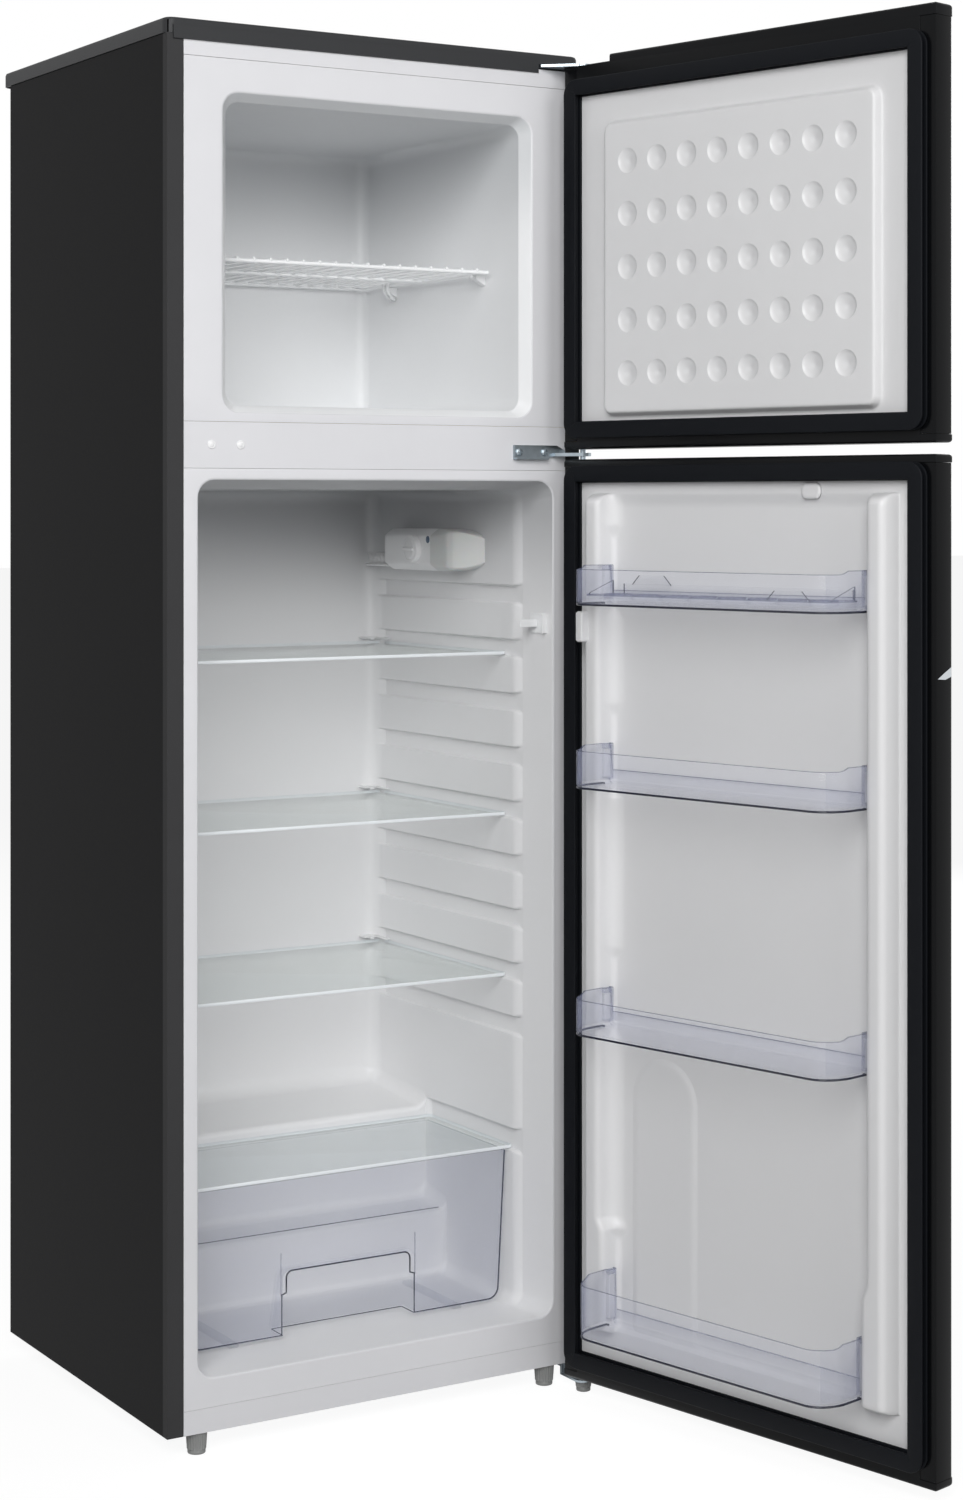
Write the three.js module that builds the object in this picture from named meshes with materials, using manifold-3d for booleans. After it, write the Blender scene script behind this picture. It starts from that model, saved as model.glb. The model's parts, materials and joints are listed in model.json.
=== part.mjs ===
/**
 * Top freezer refrigerator, built as an assembly of separate pieces.
 *
 * Frame: +Z up, millimetres. While the pieces are made, X = 0 is the middle of
 * the cabinet, Y = 0 its front face (+Y is the back) and Z = 0 its underside.
 * The finished model is moved so that its origin is the middle of the floor
 * area that it covers with both doors open.
 *
 * Both doors hang on the right. A door is drawn closed, about its own hinge
 * axis, and its group is then turned to the resting opening angle.
 */
import * as THREE from 'three';
import { ConvexGeometry } from 'three/addons/geometries/ConvexGeometry.js';
import { mergeVertices } from 'three/addons/utils/BufferGeometryUtils.js';
import Module from 'manifold-3d';

const wasm = await Module();
wasm.setup();

// ---------------------------------------------------------------------------
// Driving dimensions
// ---------------------------------------------------------------------------

const GAP = 0.3;                     // clearance between touching pieces
const SHEET = 1.2;                   // steel sheet of the cabinet and doors
const LINER = 1.2;                   // thickness of the formed liners

const CABINET = { width: 545, depth: 465, height: 1557 };
const HALF = CABINET.width / 2;
const FRONT_RETURN = 20;             // steel folded in behind the doors, each side
const BACK_RETURN = 14;
const HEM = 12;                      // steel folded in along the underside
const LID = {
  thickness: 18, wall: 3, sideOverhang: 1, backOverhang: 23, corner: 8, edge: 4, lip: 2, lipDrop: 6,
  slotClearance: 1,
};

// White channels across the front, from the floor up.
const BEAM = { depth: 30, sheet: 1.5, bottom: 27, middle: 52, top: 23 };
const BOTTOM_BEAM_TOP = BEAM.bottom;
const MIDDLE_BEAM_BOTTOM = 1075;
const MIDDLE_BEAM_TOP = MIDDLE_BEAM_BOTTOM + BEAM.middle;
const TOP_BEAM_BOTTOM = CABINET.height - BEAM.top;

// Fridge compartment. Its walls step in from the cabinet's side to the mouth, to
// the band behind the mouth and to the ribs; the header is over its mouth.
const FRIDGE_WALL = { side: 38.1, band: 6.9, rib: 6, back: 50, header: 13, ceilingDrop: 10 };
const FRIDGE = {
  mouthHalf: HALF - FRIDGE_WALL.side,
  bandHalf: HALF - FRIDGE_WALL.side - FRIDGE_WALL.band,
  ribHalf: HALF - FRIDGE_WALL.side - FRIDGE_WALL.band - FRIDGE_WALL.rib,
  bandDepth: 55, ribStart: 73, depth: CABINET.depth - FRIDGE_WALL.back, floor: 60,
  mouthTop: MIDDLE_BEAM_BOTTOM - FRIDGE_WALL.header,
  ceiling: MIDDLE_BEAM_BOTTOM - FRIDGE_WALL.header - FRIDGE_WALL.ceilingDrop,
  corner: 20, backCorner: 18,
};
// The step over the compressor, from the floor up to its sloping top.
const HUMP = {
  lowFront: FRIDGE.depth - 187, lowTop: 138, front: FRIDGE.depth - 133, ledge: 150, top: 261, rise: 12,
};

// Thermostat and lamp unit under the ceiling of the right-hand wall. Its hull runs
// from a pointed nose to a blunt end; heights are taken from its middle line.
const UNIT = {
  drop: 75, proud: 34, split: 212,
  nose: 133, noseFace: 167, shoulder: 197, faceEnd: 330, end: 345,
  noseHalf: 11.5, faceHalf: 18, half: 26.5, chamfer: 12,
};
const UNIT_Z = FRIDGE.ceiling - UNIT.drop;
const TONGUE = { from: 335, to: 396, width: 25, drop: 23, thickness: 3, fins: 5, pitch: 10, fin: 14, lean: 6, thin: 2 };
const KNOB = { y: 250, lift: 1, radius: 18, height: 12, disc: 8.5, ridge: 5 };
const LAMP = { wall: 2, bulb: 9, length: 44 };
const SWITCH = { y: 25, drop: 161, length: 24, pivotY: 28, plate: 2, halfHeight: 12, halfWidth: 14.5, fin: 7 };
const SWITCH_Z = FRIDGE.ceiling - SWITCH.drop;

// Slots for the glass shelves: as many as fit below the thermostat unit.
const SLOT = { first: 389.3, pitch: 65.8, height: 18, margin: 10, end: FRIDGE.depth - 10 };
const SLOT_COUNT = 1 + Math.floor(
  (UNIT_Z - UNIT.half - SLOT.margin - SLOT.height - SLOT.first) / SLOT.pitch);
const COVER_SLOT = { bottom: 247, height: 23 };

// Freezer compartment.
const FREEZER_WALL = { side: 68, taper: 10, back: 70, sill: 11, floorRise: 8, header: 37, ceilingDrop: 9 };
const FREEZER = {
  mouthHalf: HALF - FREEZER_WALL.side,
  half: HALF - FREEZER_WALL.side - FREEZER_WALL.taper,
  flare: 14, depth: CABINET.depth - FREEZER_WALL.back,
  mouthBottom: MIDDLE_BEAM_TOP + FREEZER_WALL.sill,
  mouthTop: TOP_BEAM_BOTTOM - FREEZER_WALL.header,
  floor: MIDDLE_BEAM_TOP + FREEZER_WALL.sill + FREEZER_WALL.floorRise,
  ceiling: TOP_BEAM_BOTTOM - FREEZER_WALL.header - FREEZER_WALL.ceilingDrop,
  corner: 20, backCorner: 15,
};

// Compressor bay, under and behind the fridge compartment.
const BAY = {
  lowFront: HUMP.lowFront + 37, lowTop: HUMP.lowTop - 44, front: HUMP.front + 40,
  ledge: HUMP.ledge - 40, roof: HUMP.top - 49,
};

// Doors, about the hinge axis. "plane" is the inner face of the steel, behind
// the axis; heights above it point into the cabinet when the door is closed.
const HINGE = { inset: 14.5, ahead: 30.5, pin: 4 };
const DOOR = {
  plane: 18.2, edge: 31, bow: 8, flange: 21, corner: 5, capHeight: 9, skinInset: 0.6,
};
const OPEN_ANGLE = THREE.MathUtils.degToRad(103);
const LOWER_DOOR = { bottom: -7, top: MIDDLE_BEAM_BOTTOM + 13, topCap: 9 };
const UPPER_DOOR = { bottom: LOWER_DOOR.top + 12, top: CABINET.height + 8, topCap: 13 };
const GASKET = { inset: 30.5, width: 20, height: 11.7, lap: 4, foot: 2.5, lip: 2.5 };
const UPPER_GASKET = { bottom: MIDDLE_BEAM_TOP + 6, top: TOP_BEAM_BOTTOM - 16 };
const LOWER_GASKET = { bottom: BOTTOM_BEAM_TOP + 3, top: MIDDLE_BEAM_BOTTOM - 15 };

// Inner face of the freezer door: a raised field with rows of round dimples.
const FIELD = {
  half: FREEZER.half + 3, bottom: FREEZER.mouthBottom + 4, top: FREEZER.mouthTop - 17, height: 10,
  corner: 14, slope: 3, margin: 20, columnPitch: 45.8, rowPitch: 61.8, dimple: 15, dimpleDepth: 3.5,
};
// Inner face of the fridge door: two dikes with the bins between them.
const DIKE = {
  inner: FRIDGE.mouthHalf - 38.9, outer: FRIDGE.mouthHalf - 13.4, height: 23, bottom: FRIDGE.floor + 3,
  top: FRIDGE.mouthTop - 15, recess: 5, wide: FRIDGE.mouthHalf - 45.9, wideTop: 190,
};
const BOTTLE_PANEL = { centre: 115, half: 46, bottom: 64, top: 389, height: 3 };
const TAB = { inner: FRIDGE.mouthHalf - 23.4, outer: FRIDGE.mouthHalf - 12.9, height: 34, half: 18 };
const BIN = {
  clearance: 1, front: 80, cornerWidth: 29.5, cornerDepth: 38, wall: 2.2, floor: 2.4, endRise: 4, end: 14,
  backLip: 16,
};
const BIN_HEIGHTS = [[DIKE.top - 129, DIKE.top - 87], [707, 751], [423, 465], [75, 137]];
const BIN_BACK = 0.7;                 // from a bin's back to what is behind it
const LUG = { size: 5, from: 6, to: 16, rise: 8, clearance: 0.6 };
const EDGE_TRIM = { z: LOWER_DOOR.top - 238, height: 12, sag: 3, thickness: 0.8 };
const EGG = {
  half: DIKE.inner - 17.5, from: 6, to: 66, plate: 2, legs: 10.5, pitch: 43, hole: 16, corner: 10,
  backRise: 11, wingRise: 15, tabRise: 10, tab: 30, tabSlope: 11, tabInset: 23,
};

// Shelves and drawer.
const GLASS = { thickness: 4, front: 92, back: FRIDGE.depth - 12, clearance: 1, corner: 6 };
const COVER = { front: 77, back: HUMP.front - 4 };
const DRAWER = {
  front: 80, halfTop: FRIDGE.ribHalf - 4.5, halfBottom: FRIDGE.ribHalf - 14.5, bottom: FRIDGE.floor + 5,
  top: COVER_SLOT.bottom - 1, backTop: HUMP.front - 14, backLow: HUMP.lowFront - 13,
  step: HUMP.lowTop + 9, wall: 2.2, corner: 14,
};
const GRIP = { half: 88, top: 140, depth: 30, lip: 12, corner: 8 };
const SKID = { place: 150, width: 12 };
const WIRE_SHELF = {
  half: FREEZER.half - 8.5, front: 75, back: FREEZER.depth - 10, rise: 170, rod: 2.5, rim: 2,
  wire: 1.6, pitch: 21.5, margin: 10, corner: 22,
};
const WIRE_SHELF_Z = FREEZER.floor + WIRE_SHELF.rise;
const PEG = { length: 13, width: 10, thickness: 6, places: [95, 314] };

// Feet and rollers.
const FOOT = {
  height: 25, inset: 42, y: 14, top: 12.2, low: 11, ring: 10.2, ringHeight: 5, teeth: 9, tooth: 0.9,
  stud: 4, studLength: 18,
};
const FOOT_X = HALF - FOOT.inset;
const HINGE_FOOT = { top: 9.8, low: 9.2, ring: 8.6 };
const ROLLER = { radius: 13, width: 16, inset: 50.5, fromBack: 27, axle: 3, groove: 1 };
const RAIL = { fromBack: 4, depth: 126, height: 14, thickness: 2, ear: 2, earReach: 16, earTip: 7 };

// Compressor set.
const COMPRESSOR = { x: -40, fromBack: 73, radius: 64, stretch: 1.4, base: 17, height: 155, seam: 74 };
const DRIER = { x: 150, fromBack: 35, radius: 9, neck: 3, lift: 20, length: 114, taper: 8 };
const DISCHARGE = { radius: 3, stub: 5, rise: 52, arch: 30 };
const TRAY = { half: 88, halfDepth: 52, height: 24, wall: 2, corner: 10 };

// ---------------------------------------------------------------------------
// Derived places
// ---------------------------------------------------------------------------

const HINGE_X = HALF - HINGE.inset;
const HINGE_Y = -HINGE.ahead;
const FLOOR_Z = -FOOT.height;
const INSIDE_HALF = HALF - SHEET - GAP;
const ROLLER_X = HALF - ROLLER.inset;
const ROLLER_Y = CABINET.depth - ROLLER.fromBack;
const COMPRESSOR_Y = CABINET.depth - COMPRESSOR.fromBack;
// The glass shelves lie in the second slot, in the second from the top and midway.
const LOW_SHELF = 1;
const HIGH_SHELF = SLOT_COUNT - 2;
const SHELF_SLOTS = [HIGH_SHELF, Math.round((LOW_SHELF + HIGH_SHELF) / 2), LOW_SHELF];
const shelfZ = (slot) => SLOT.first + slot * SLOT.pitch;

// ---------------------------------------------------------------------------
// Small modelling kit
// ---------------------------------------------------------------------------

/** Turns a closed three.js geometry into a solid that can be cut and joined. */
function toSolid(geometry) {
  const source = geometry.clone();
  for (const name of Object.keys(source.attributes)) {
    if (name !== 'position') source.deleteAttribute(name);
  }
  const merged = mergeVertices(source, 1e-4);
  const index = merged.index.array;
  const triangles = [];
  for (let i = 0; i < index.length; i += 3) {
    const [a, b, c] = [index[i], index[i + 1], index[i + 2]];
    if (a !== b && b !== c && c !== a) triangles.push(a, b, c);
  }
  return new wasm.Manifold(new wasm.Mesh({
    numProp: 3,
    vertProperties: new Float32Array(merged.attributes.position.array),
    triVerts: new Uint32Array(triangles),
  }));
}

/** Gives a solid back as a three.js geometry. */
function toGeometry(solid) {
  const { vertProperties, triVerts } = solid.getMesh();
  const geometry = new THREE.BufferGeometry();
  geometry.setAttribute('position', new THREE.BufferAttribute(new Float32Array(vertProperties), 3));
  geometry.setIndex(new THREE.BufferAttribute(new Uint32Array(triVerts), 1));
  geometry.computeVertexNormals();
  return geometry;
}

const join = (...solids) => solids.reduce((a, b) => a.add(b));
const cut = (base, ...tools) => tools.reduce((a, b) => a.subtract(b), base);
const meet = (...solids) => solids.reduce((a, b) => a.intersect(b));

/** Box between two corners. */
function box(x0, x1, y0, y1, z0, z1) {
  const geometry = new THREE.BoxGeometry(x1 - x0, y1 - y0, z1 - z0);
  geometry.translate((x0 + x1) / 2, (y0 + y1) / 2, (z0 + z1) / 2);
  return toSolid(geometry);
}

/** Closed outline through a list of [a, b] points. */
function outline(points) {
  return new THREE.Shape(points.map(([a, b]) => new THREE.Vector2(a, b)));
}

/** Outline mirrored in a = 0: the points run down one side only. */
function mirrored(points) {
  return outline([...points, ...points.map(([a, b]) => [-a, b]).reverse()]);
}

/** Rectangle with round corners. */
function roundRect(a0, a1, b0, b1, radius) {
  const shape = new THREE.Shape();
  shape.moveTo(a0 + radius, b0);
  shape.lineTo(a1 - radius, b0);
  shape.absarc(a1 - radius, b0 + radius, radius, -Math.PI / 2, 0, false);
  shape.lineTo(a1, b1 - radius);
  shape.absarc(a1 - radius, b1 - radius, radius, 0, Math.PI / 2, false);
  shape.lineTo(a0 + radius, b1);
  shape.absarc(a0 + radius, b1 - radius, radius, Math.PI / 2, Math.PI, false);
  shape.lineTo(a0, b0 + radius);
  shape.absarc(a0 + radius, b0 + radius, radius, Math.PI, 1.5 * Math.PI, false);
  return shape;
}

const AXES = {
  x: new THREE.Matrix4().makeBasis(
    new THREE.Vector3(0, 1, 0), new THREE.Vector3(0, 0, 1), new THREE.Vector3(1, 0, 0)),
  y: new THREE.Matrix4().makeBasis(
    new THREE.Vector3(1, 0, 0), new THREE.Vector3(0, 0, 1), new THREE.Vector3(0, -1, 0)),
  z: new THREE.Matrix4(),
};

/**
 * Extrudes an outline from one place to another along an axis. The outline's
 * (a, b) are (Y, Z) along x, (X, Z) along y and (X, Y) along z.
 */
function extrude(shape, axis, from, to, curveSegments = 2) {
  const geometry = new THREE.ExtrudeGeometry(shape, { depth: to - from, bevelEnabled: false, curveSegments });
  geometry.applyMatrix4(AXES[axis]);
  const move = { x: [from, 0, 0], y: [0, to, 0], z: [0, 0, from] }[axis];
  geometry.translate(...move);
  return toSolid(geometry);
}

/** Turned solid about an axis through (a, b), from [radius, height] points. */
function turned(points, axis, place, segments = 20) {
  const geometry = new THREE.LatheGeometry(points.map(([r, h]) => new THREE.Vector2(r, h)), segments);
  if (axis === 'z') geometry.rotateX(Math.PI / 2);
  if (axis === 'x') geometry.rotateZ(-Math.PI / 2);
  geometry.translate(...place);
  return toSolid(geometry);
}

/** Round bar between two heights along an axis. */
function bar(radius, axis, place, from, to, segments = 12) {
  return turned([[0, from], [radius, from], [radius, to], [0, to]], axis, place, segments);
}

/** Round rod following a curve. */
function rodAlong(curve, radius, steps, sides = 6) {
  const section = new THREE.Shape();
  for (let i = 0; i < sides; i += 1) {
    const angle = (2 * Math.PI * (i + 0.5)) / sides;
    const point = [radius * Math.cos(angle), radius * Math.sin(angle)];
    if (i === 0) section.moveTo(...point);
    else section.lineTo(...point);
  }
  const geometry = new THREE.ExtrudeGeometry(section, { extrudePath: curve, steps, bevelEnabled: false });
  return toSolid(geometry);
}

// ---------------------------------------------------------------------------
// Materials
// ---------------------------------------------------------------------------

const finish = (color, roughness, metalness = 0) => new THREE.MeshStandardMaterial({ color, roughness, metalness });
const CABINET_STEEL = finish(0x3a3a3c, 0.45, 0.2);
const DOOR_STEEL = finish(0x18191c, 0.18, 0.2);
const BLACK_PLASTIC = finish(0x1e1f21, 0.4);
const LID_PLASTIC = finish(0x303133, 0.55);
const WHITE_PLASTIC = finish(0xe4e5e6, 0.35);
const GASKET_RUBBER = finish(0x1b1c20, 0.6);
const CLEAR_PLASTIC = finish(0xb9bdd6, 0.1);
const SHELF_GLASS = finish(0xc8dcd8, 0.05);
const ZINC = finish(0xaab4bc, 0.35, 0.9);
const GREY_PLASTIC = finish(0x9a9c9e, 0.5);
const WHITE_WIRE = finish(0xf0f1f2, 0.3);
const FOAM = finish(0xe8dfae, 0.9);
const GALVANISED = finish(0x9da3a8, 0.5, 0.7);
const BLACK_STEEL = finish(0x222326, 0.4, 0.3);
const COPPER = finish(0xb87348, 0.35, 0.9);
const LAMP_GLASS = finish(0xf3f1e6, 0.2);

const model = new THREE.Group();

/** Adds a named piece to a group. */
function piece(name, solid, material, parent = model) {
  const mesh = new THREE.Mesh(toGeometry(solid), material);
  mesh.name = name;
  parent.add(mesh);
  return mesh;
}

// ---------------------------------------------------------------------------
// Cabinet
// ---------------------------------------------------------------------------

/** Steel wrapper: two sides and a roof, folded in along the front, back and underside. */
function cabinetShell() {
  const { depth, height } = CABINET;
  const side = outline([
    [HALF, 0], [HALF, depth], [HALF - BACK_RETURN, depth], [HALF - BACK_RETURN, depth - SHEET],
    [HALF - SHEET, depth - SHEET], [HALF - SHEET, SHEET], [HALF - FRONT_RETURN, SHEET],
    [HALF - FRONT_RETURN, 0],
  ]);
  const right = join(
    extrude(side, 'z', 0, height),
    box(HALF - HEM, HALF - SHEET / 2, SHEET / 2, depth - SHEET / 2, 0, SHEET),
  );
  const left = right.mirror([1, 0, 0]);
  const roof = join(
    box(-HALF + SHEET / 2, HALF - SHEET / 2, 0, depth, height - SHEET, height),
    box(-HALF + SHEET / 2, HALF - SHEET / 2, depth - SHEET, depth, height - BACK_RETURN, height),
  );
  return join(right, left, roof);
}

/** Moulded lid, hollow below, with a lip down over the front edge that stops at the top hinge. */
function topCover() {
  const { width, depth, height } = CABINET;
  const half = width / 2 + LID.sideOverhang;
  const plan = roundRect(-half + LID.edge, half - LID.edge, LID.edge, depth + LID.backOverhang - LID.edge, LID.corner);
  const geometry = new THREE.ExtrudeGeometry(plan, {
    depth: LID.thickness, bevelThickness: LID.edge, bevelSize: LID.edge, bevelSegments: 2, curveSegments: 2,
  });
  geometry.translate(0, 0, height + GAP - LID.edge);
  const inner = half - LID.wall;
  const hollow = box(-inner, inner, LID.wall, depth + LID.backOverhang - LID.wall,
    height - 2 * LID.edge, height + LID.thickness - LID.wall);
  const below = box(-width, width, -width, depth + width, height - 2 * LID.thickness, height + GAP);
  const top = box(-width, width, -width, depth + width, height + LID.thickness, height + 2 * LID.thickness);
  const slotEnd = HINGE_LEAF.left - LID.slotClearance;
  const slot = box(slotEnd, HINGE_LEAF.right + LID.slotClearance, -LID.wall, 2 * LID.wall,
    height - LID.edge, height + GAP + HINGE_LEAF.thickness + LID.slotClearance);
  const front = -GAP - LID.lip;
  const lip = join(
    box(-half + LID.corner, slotEnd, front, -GAP, height - LID.lipDrop, height + LID.thickness / 2),
    box(-half + LID.corner, slotEnd, front, LID.wall, height + GAP, height + LID.thickness / 2),
  );
  return join(cut(toSolid(geometry), below, top, hollow, slot), lip);
}

/** Back sheet with pressed stiffening ribs. */
function backPanel() {
  const { depth, height } = CABINET;
  const half = HALF - 2;
  const bottom = BAY.roof - 10;
  const sheet = box(-half, half, depth + GAP, depth + GAP + 1, bottom, height - 4);
  const ribs = [];
  const ribCount = 5;
  const span = (height - bottom) / (ribCount + 1);
  for (let i = 1; i <= ribCount; i += 1) {
    const z = bottom + i * span;
    const section = outline([[depth + GAP + 0.5, z - 14], [depth + 4, z - 8], [depth + 4, z + 8], [depth + GAP + 0.5, z + 14]]);
    ribs.push(extrude(section, 'x', -half + 40, half - 40));
  }
  return join(sheet, ...ribs);
}

/** Folded floor of the cabinet, stepped up over the compressor bay. */
function basePan() {
  const back = CABINET.depth - SHEET - GAP;
  const t = SHEET;
  const section = outline([
    [BEAM.depth + GAP, SHEET + GAP], [BAY.lowFront, SHEET + GAP], [BAY.lowFront, BAY.lowTop],
    [BAY.front, BAY.ledge], [BAY.front, BAY.roof], [back, BAY.roof], [back, BAY.roof + t],
    [BAY.front - t, BAY.roof + t], [BAY.front - t, BAY.ledge + t], [BAY.lowFront - t, BAY.lowTop + t],
    [BAY.lowFront - t, SHEET + GAP + t], [BEAM.depth + GAP, SHEET + GAP + t],
  ]);
  return extrude(section, 'x', -INSIDE_HALF, INSIDE_HALF);
}

/** Hollow of the fridge compartment, with all its walls moved out by "grow". */
function fridgeCavity(grow, withSlots = true) {
  const f = FRIDGE;
  const back = f.depth + grow;
  const plan = new THREE.Shape();
  const walls = [[f.mouthHalf + grow, -1], [f.bandHalf + grow, f.bandDepth], [f.ribHalf + grow, f.ribStart]];
  plan.moveTo(-walls[0][0], walls[0][1]);
  for (const [x, y] of walls) plan.lineTo(x, y);
  plan.lineTo(f.ribHalf + grow, back - f.backCorner);
  plan.absarc(f.ribHalf + grow - f.backCorner, back - f.backCorner, f.backCorner, 0, Math.PI / 2, false);
  plan.lineTo(-f.ribHalf - grow + f.backCorner, back);
  plan.absarc(-f.ribHalf - grow + f.backCorner, back - f.backCorner, f.backCorner, Math.PI / 2, Math.PI, false);
  for (const [x, y] of walls.slice(1).reverse()) plan.lineTo(-x, y);
  const side = outline([
    [-1, f.floor - grow], [HUMP.lowFront + grow, f.floor - grow], [HUMP.lowFront + grow, HUMP.lowTop - grow],
    [HUMP.front - 2 + grow, HUMP.ledge - grow], [HUMP.front + grow, HUMP.top - grow],
    [back, HUMP.top + HUMP.rise - grow], [back, f.ceiling + grow], [f.bandDepth, f.ceiling + grow],
    [-1, f.mouthTop + grow],
  ]);
  const front = roundRect(-f.mouthHalf - grow, f.mouthHalf + grow, f.floor - grow, f.mouthTop + grow, f.corner + grow);
  const hollow = meet(
    extrude(plan, 'z', f.floor - grow, f.mouthTop + grow),
    extrude(side, 'x', -f.mouthHalf - grow, f.mouthHalf + grow),
    extrude(front, 'y', -1, back),
  );
  if (!withSlots) return hollow;
  const slots = [];
  for (const wall of [-1, 1]) {
    const x0 = wall > 0 ? f.ribHalf - 8 : -f.bandHalf - grow;
    const x1 = wall > 0 ? f.bandHalf + grow : -f.ribHalf + 8;
    for (let i = 0; i < SLOT_COUNT; i += 1) {
      const z = shelfZ(i);
      slots.push(box(x0, x1, f.bandDepth - 10, SLOT.end + grow, z - grow, z + SLOT.height + grow));
    }
    slots.push(box(x0, x1, f.bandDepth - 10, HUMP.front, COVER_SLOT.bottom - grow,
      COVER_SLOT.bottom + COVER_SLOT.height + grow));
  }
  return join(hollow, ...slots);
}

/** Hollow of the freezer compartment, with all its walls moved out by "grow". */
function freezerCavity(grow) {
  const f = FREEZER;
  const back = f.depth + grow;
  const plan = new THREE.Shape();
  plan.moveTo(-f.mouthHalf - grow, -1);
  plan.lineTo(f.mouthHalf + grow, -1);
  plan.lineTo(f.half + grow, f.flare);
  plan.lineTo(f.half + grow, back - f.backCorner);
  plan.absarc(f.half + grow - f.backCorner, back - f.backCorner, f.backCorner, 0, Math.PI / 2, false);
  plan.lineTo(-f.half - grow + f.backCorner, back);
  plan.absarc(-f.half - grow + f.backCorner, back - f.backCorner, f.backCorner, Math.PI / 2, Math.PI, false);
  plan.lineTo(-f.half - grow, f.flare);
  const side = outline([
    [-1, f.mouthBottom - grow], [f.flare, f.floor - grow], [back, f.floor - grow],
    [back, f.ceiling + grow], [f.flare, f.ceiling + grow], [-1, f.mouthTop + grow],
  ]);
  const front = roundRect(-f.mouthHalf - grow, f.mouthHalf + grow, f.mouthBottom - grow, f.mouthTop + grow,
    f.corner + grow);
  return meet(
    extrude(plan, 'z', f.mouthBottom - grow, f.mouthTop + grow),
    extrude(side, 'x', -f.mouthHalf - grow, f.mouthHalf + grow),
    extrude(front, 'y', -1, back),
  );
}

/** Formed liner round a hollow, with a flange on the cabinet's front face. */
function liner(cavity, flangeBottom, flangeTop) {
  const half = HALF - FRONT_RETURN - GAP;
  const front = box(-CABINET.width, CABINET.width, -CABINET.depth, 0, -CABINET.height, 2 * CABINET.height);
  const flange = box(-half, half, 0, LINER, flangeBottom + GAP, flangeTop - GAP);
  return cut(join(cut(cavity(LINER), front), flange), cavity(0));
}

function fridgeLiner() {
  return liner(fridgeCavity, BOTTOM_BEAM_TOP, MIDDLE_BEAM_BOTTOM);
}

/** Freezer liner with the pegs that its wire shelf rests on. */
function freezerLiner() {
  const shell = liner(freezerCavity, MIDDLE_BEAM_TOP, TOP_BEAM_BOTTOM);
  const top = WIRE_SHELF_Z - WIRE_SHELF.rim - GAP;
  const pegs = [];
  for (const y of PEG.places) {
    const section = outline([
      [FREEZER.half + LINER / 2, top - PEG.thickness * 2], [FREEZER.half + LINER / 2, top],
      [FREEZER.half - PEG.length, top], [FREEZER.half - PEG.length, top - PEG.thickness],
    ]);
    const peg = extrude(section, 'y', y - PEG.width / 2, y + PEG.width / 2);
    pegs.push(peg, peg.mirror([1, 0, 0]));
  }
  return join(shell, ...pegs);
}

/** White channel across the front, between two heights. */
function frontBeam(bottom, top) {
  const half = HALF - FRONT_RETURN - GAP;
  const t = BEAM.sheet;
  const section = outline([
    [0, bottom], [BEAM.depth, bottom], [BEAM.depth, bottom + t], [t, bottom + t],
    [t, top - t], [BEAM.depth, top - t], [BEAM.depth, top], [0, top],
  ]);
  return extrude(section, 'x', -half, half);
}

/** Insulation that fills the cabinet round both liners. */
function cabinetFoam() {
  const front = SHEET + GAP;
  const back = CABINET.depth - SHEET - GAP;
  const top = CABINET.height - SHEET - GAP;
  const t = SHEET + GAP;
  const section = outline([
    [front, 2 * SHEET + 2 * GAP], [BAY.lowFront - t, 2 * SHEET + 2 * GAP], [BAY.lowFront - t, BAY.lowTop + t],
    [BAY.front - t, BAY.ledge + t], [BAY.front - t, BAY.roof + t], [back, BAY.roof + t],
    [back, top], [front, top],
  ]);
  const block = extrude(section, 'x', -INSIDE_HALF, INSIDE_HALF);
  const skin = LINER + GAP;
  const beam = (bottom, beamTop) => box(-INSIDE_HALF, INSIDE_HALF, 0, BEAM.depth + GAP, bottom - GAP, beamTop + GAP);
  return cut(
    block,
    fridgeCavity(skin, false),
    box(-FRIDGE.bandHalf - skin, FRIDGE.bandHalf + skin, FRIDGE.bandDepth - 11, SLOT.end + skin,
      SLOT.first - skin, SLOT.first + SLOT_COUNT * SLOT.pitch),
    box(-FRIDGE.bandHalf - skin, FRIDGE.bandHalf + skin, FRIDGE.bandDepth - 11, HUMP.front,
      COVER_SLOT.bottom - skin, COVER_SLOT.bottom + COVER_SLOT.height + skin),
    freezerCavity(skin),
    beam(-SHEET, BOTTOM_BEAM_TOP), beam(MIDDLE_BEAM_BOTTOM, MIDDLE_BEAM_TOP),
    beam(TOP_BEAM_BOTTOM, CABINET.height),
  );
}

// ---------------------------------------------------------------------------
// Hinges
// ---------------------------------------------------------------------------

const HINGE_LEAF = { left: HINGE_X - 44, right: HINGE_X + 10, front: HINGE_Y - 12, back: 38, thickness: 3 };
const MIDDLE_HINGE = {
  left: HINGE_X - 80, bend: HINGE_X - 34, plateTop: UPPER_DOOR.bottom + 5, plateBottom: LOWER_DOOR.top,
  arm: LOWER_DOOR.top + 4, armTop: LOWER_DOOR.top + 8, thickness: 3, fold: 5, pinReach: 13,
  screws: [HINGE_X - 73.5, HINGE_X - 37.5],
};
const BOTTOM_HINGE = { left: HINGE_X - 12, right: HINGE_X + 10, back: 62, leafTop: LOWER_DOOR.bottom - 3, thickness: 3 };

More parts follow.
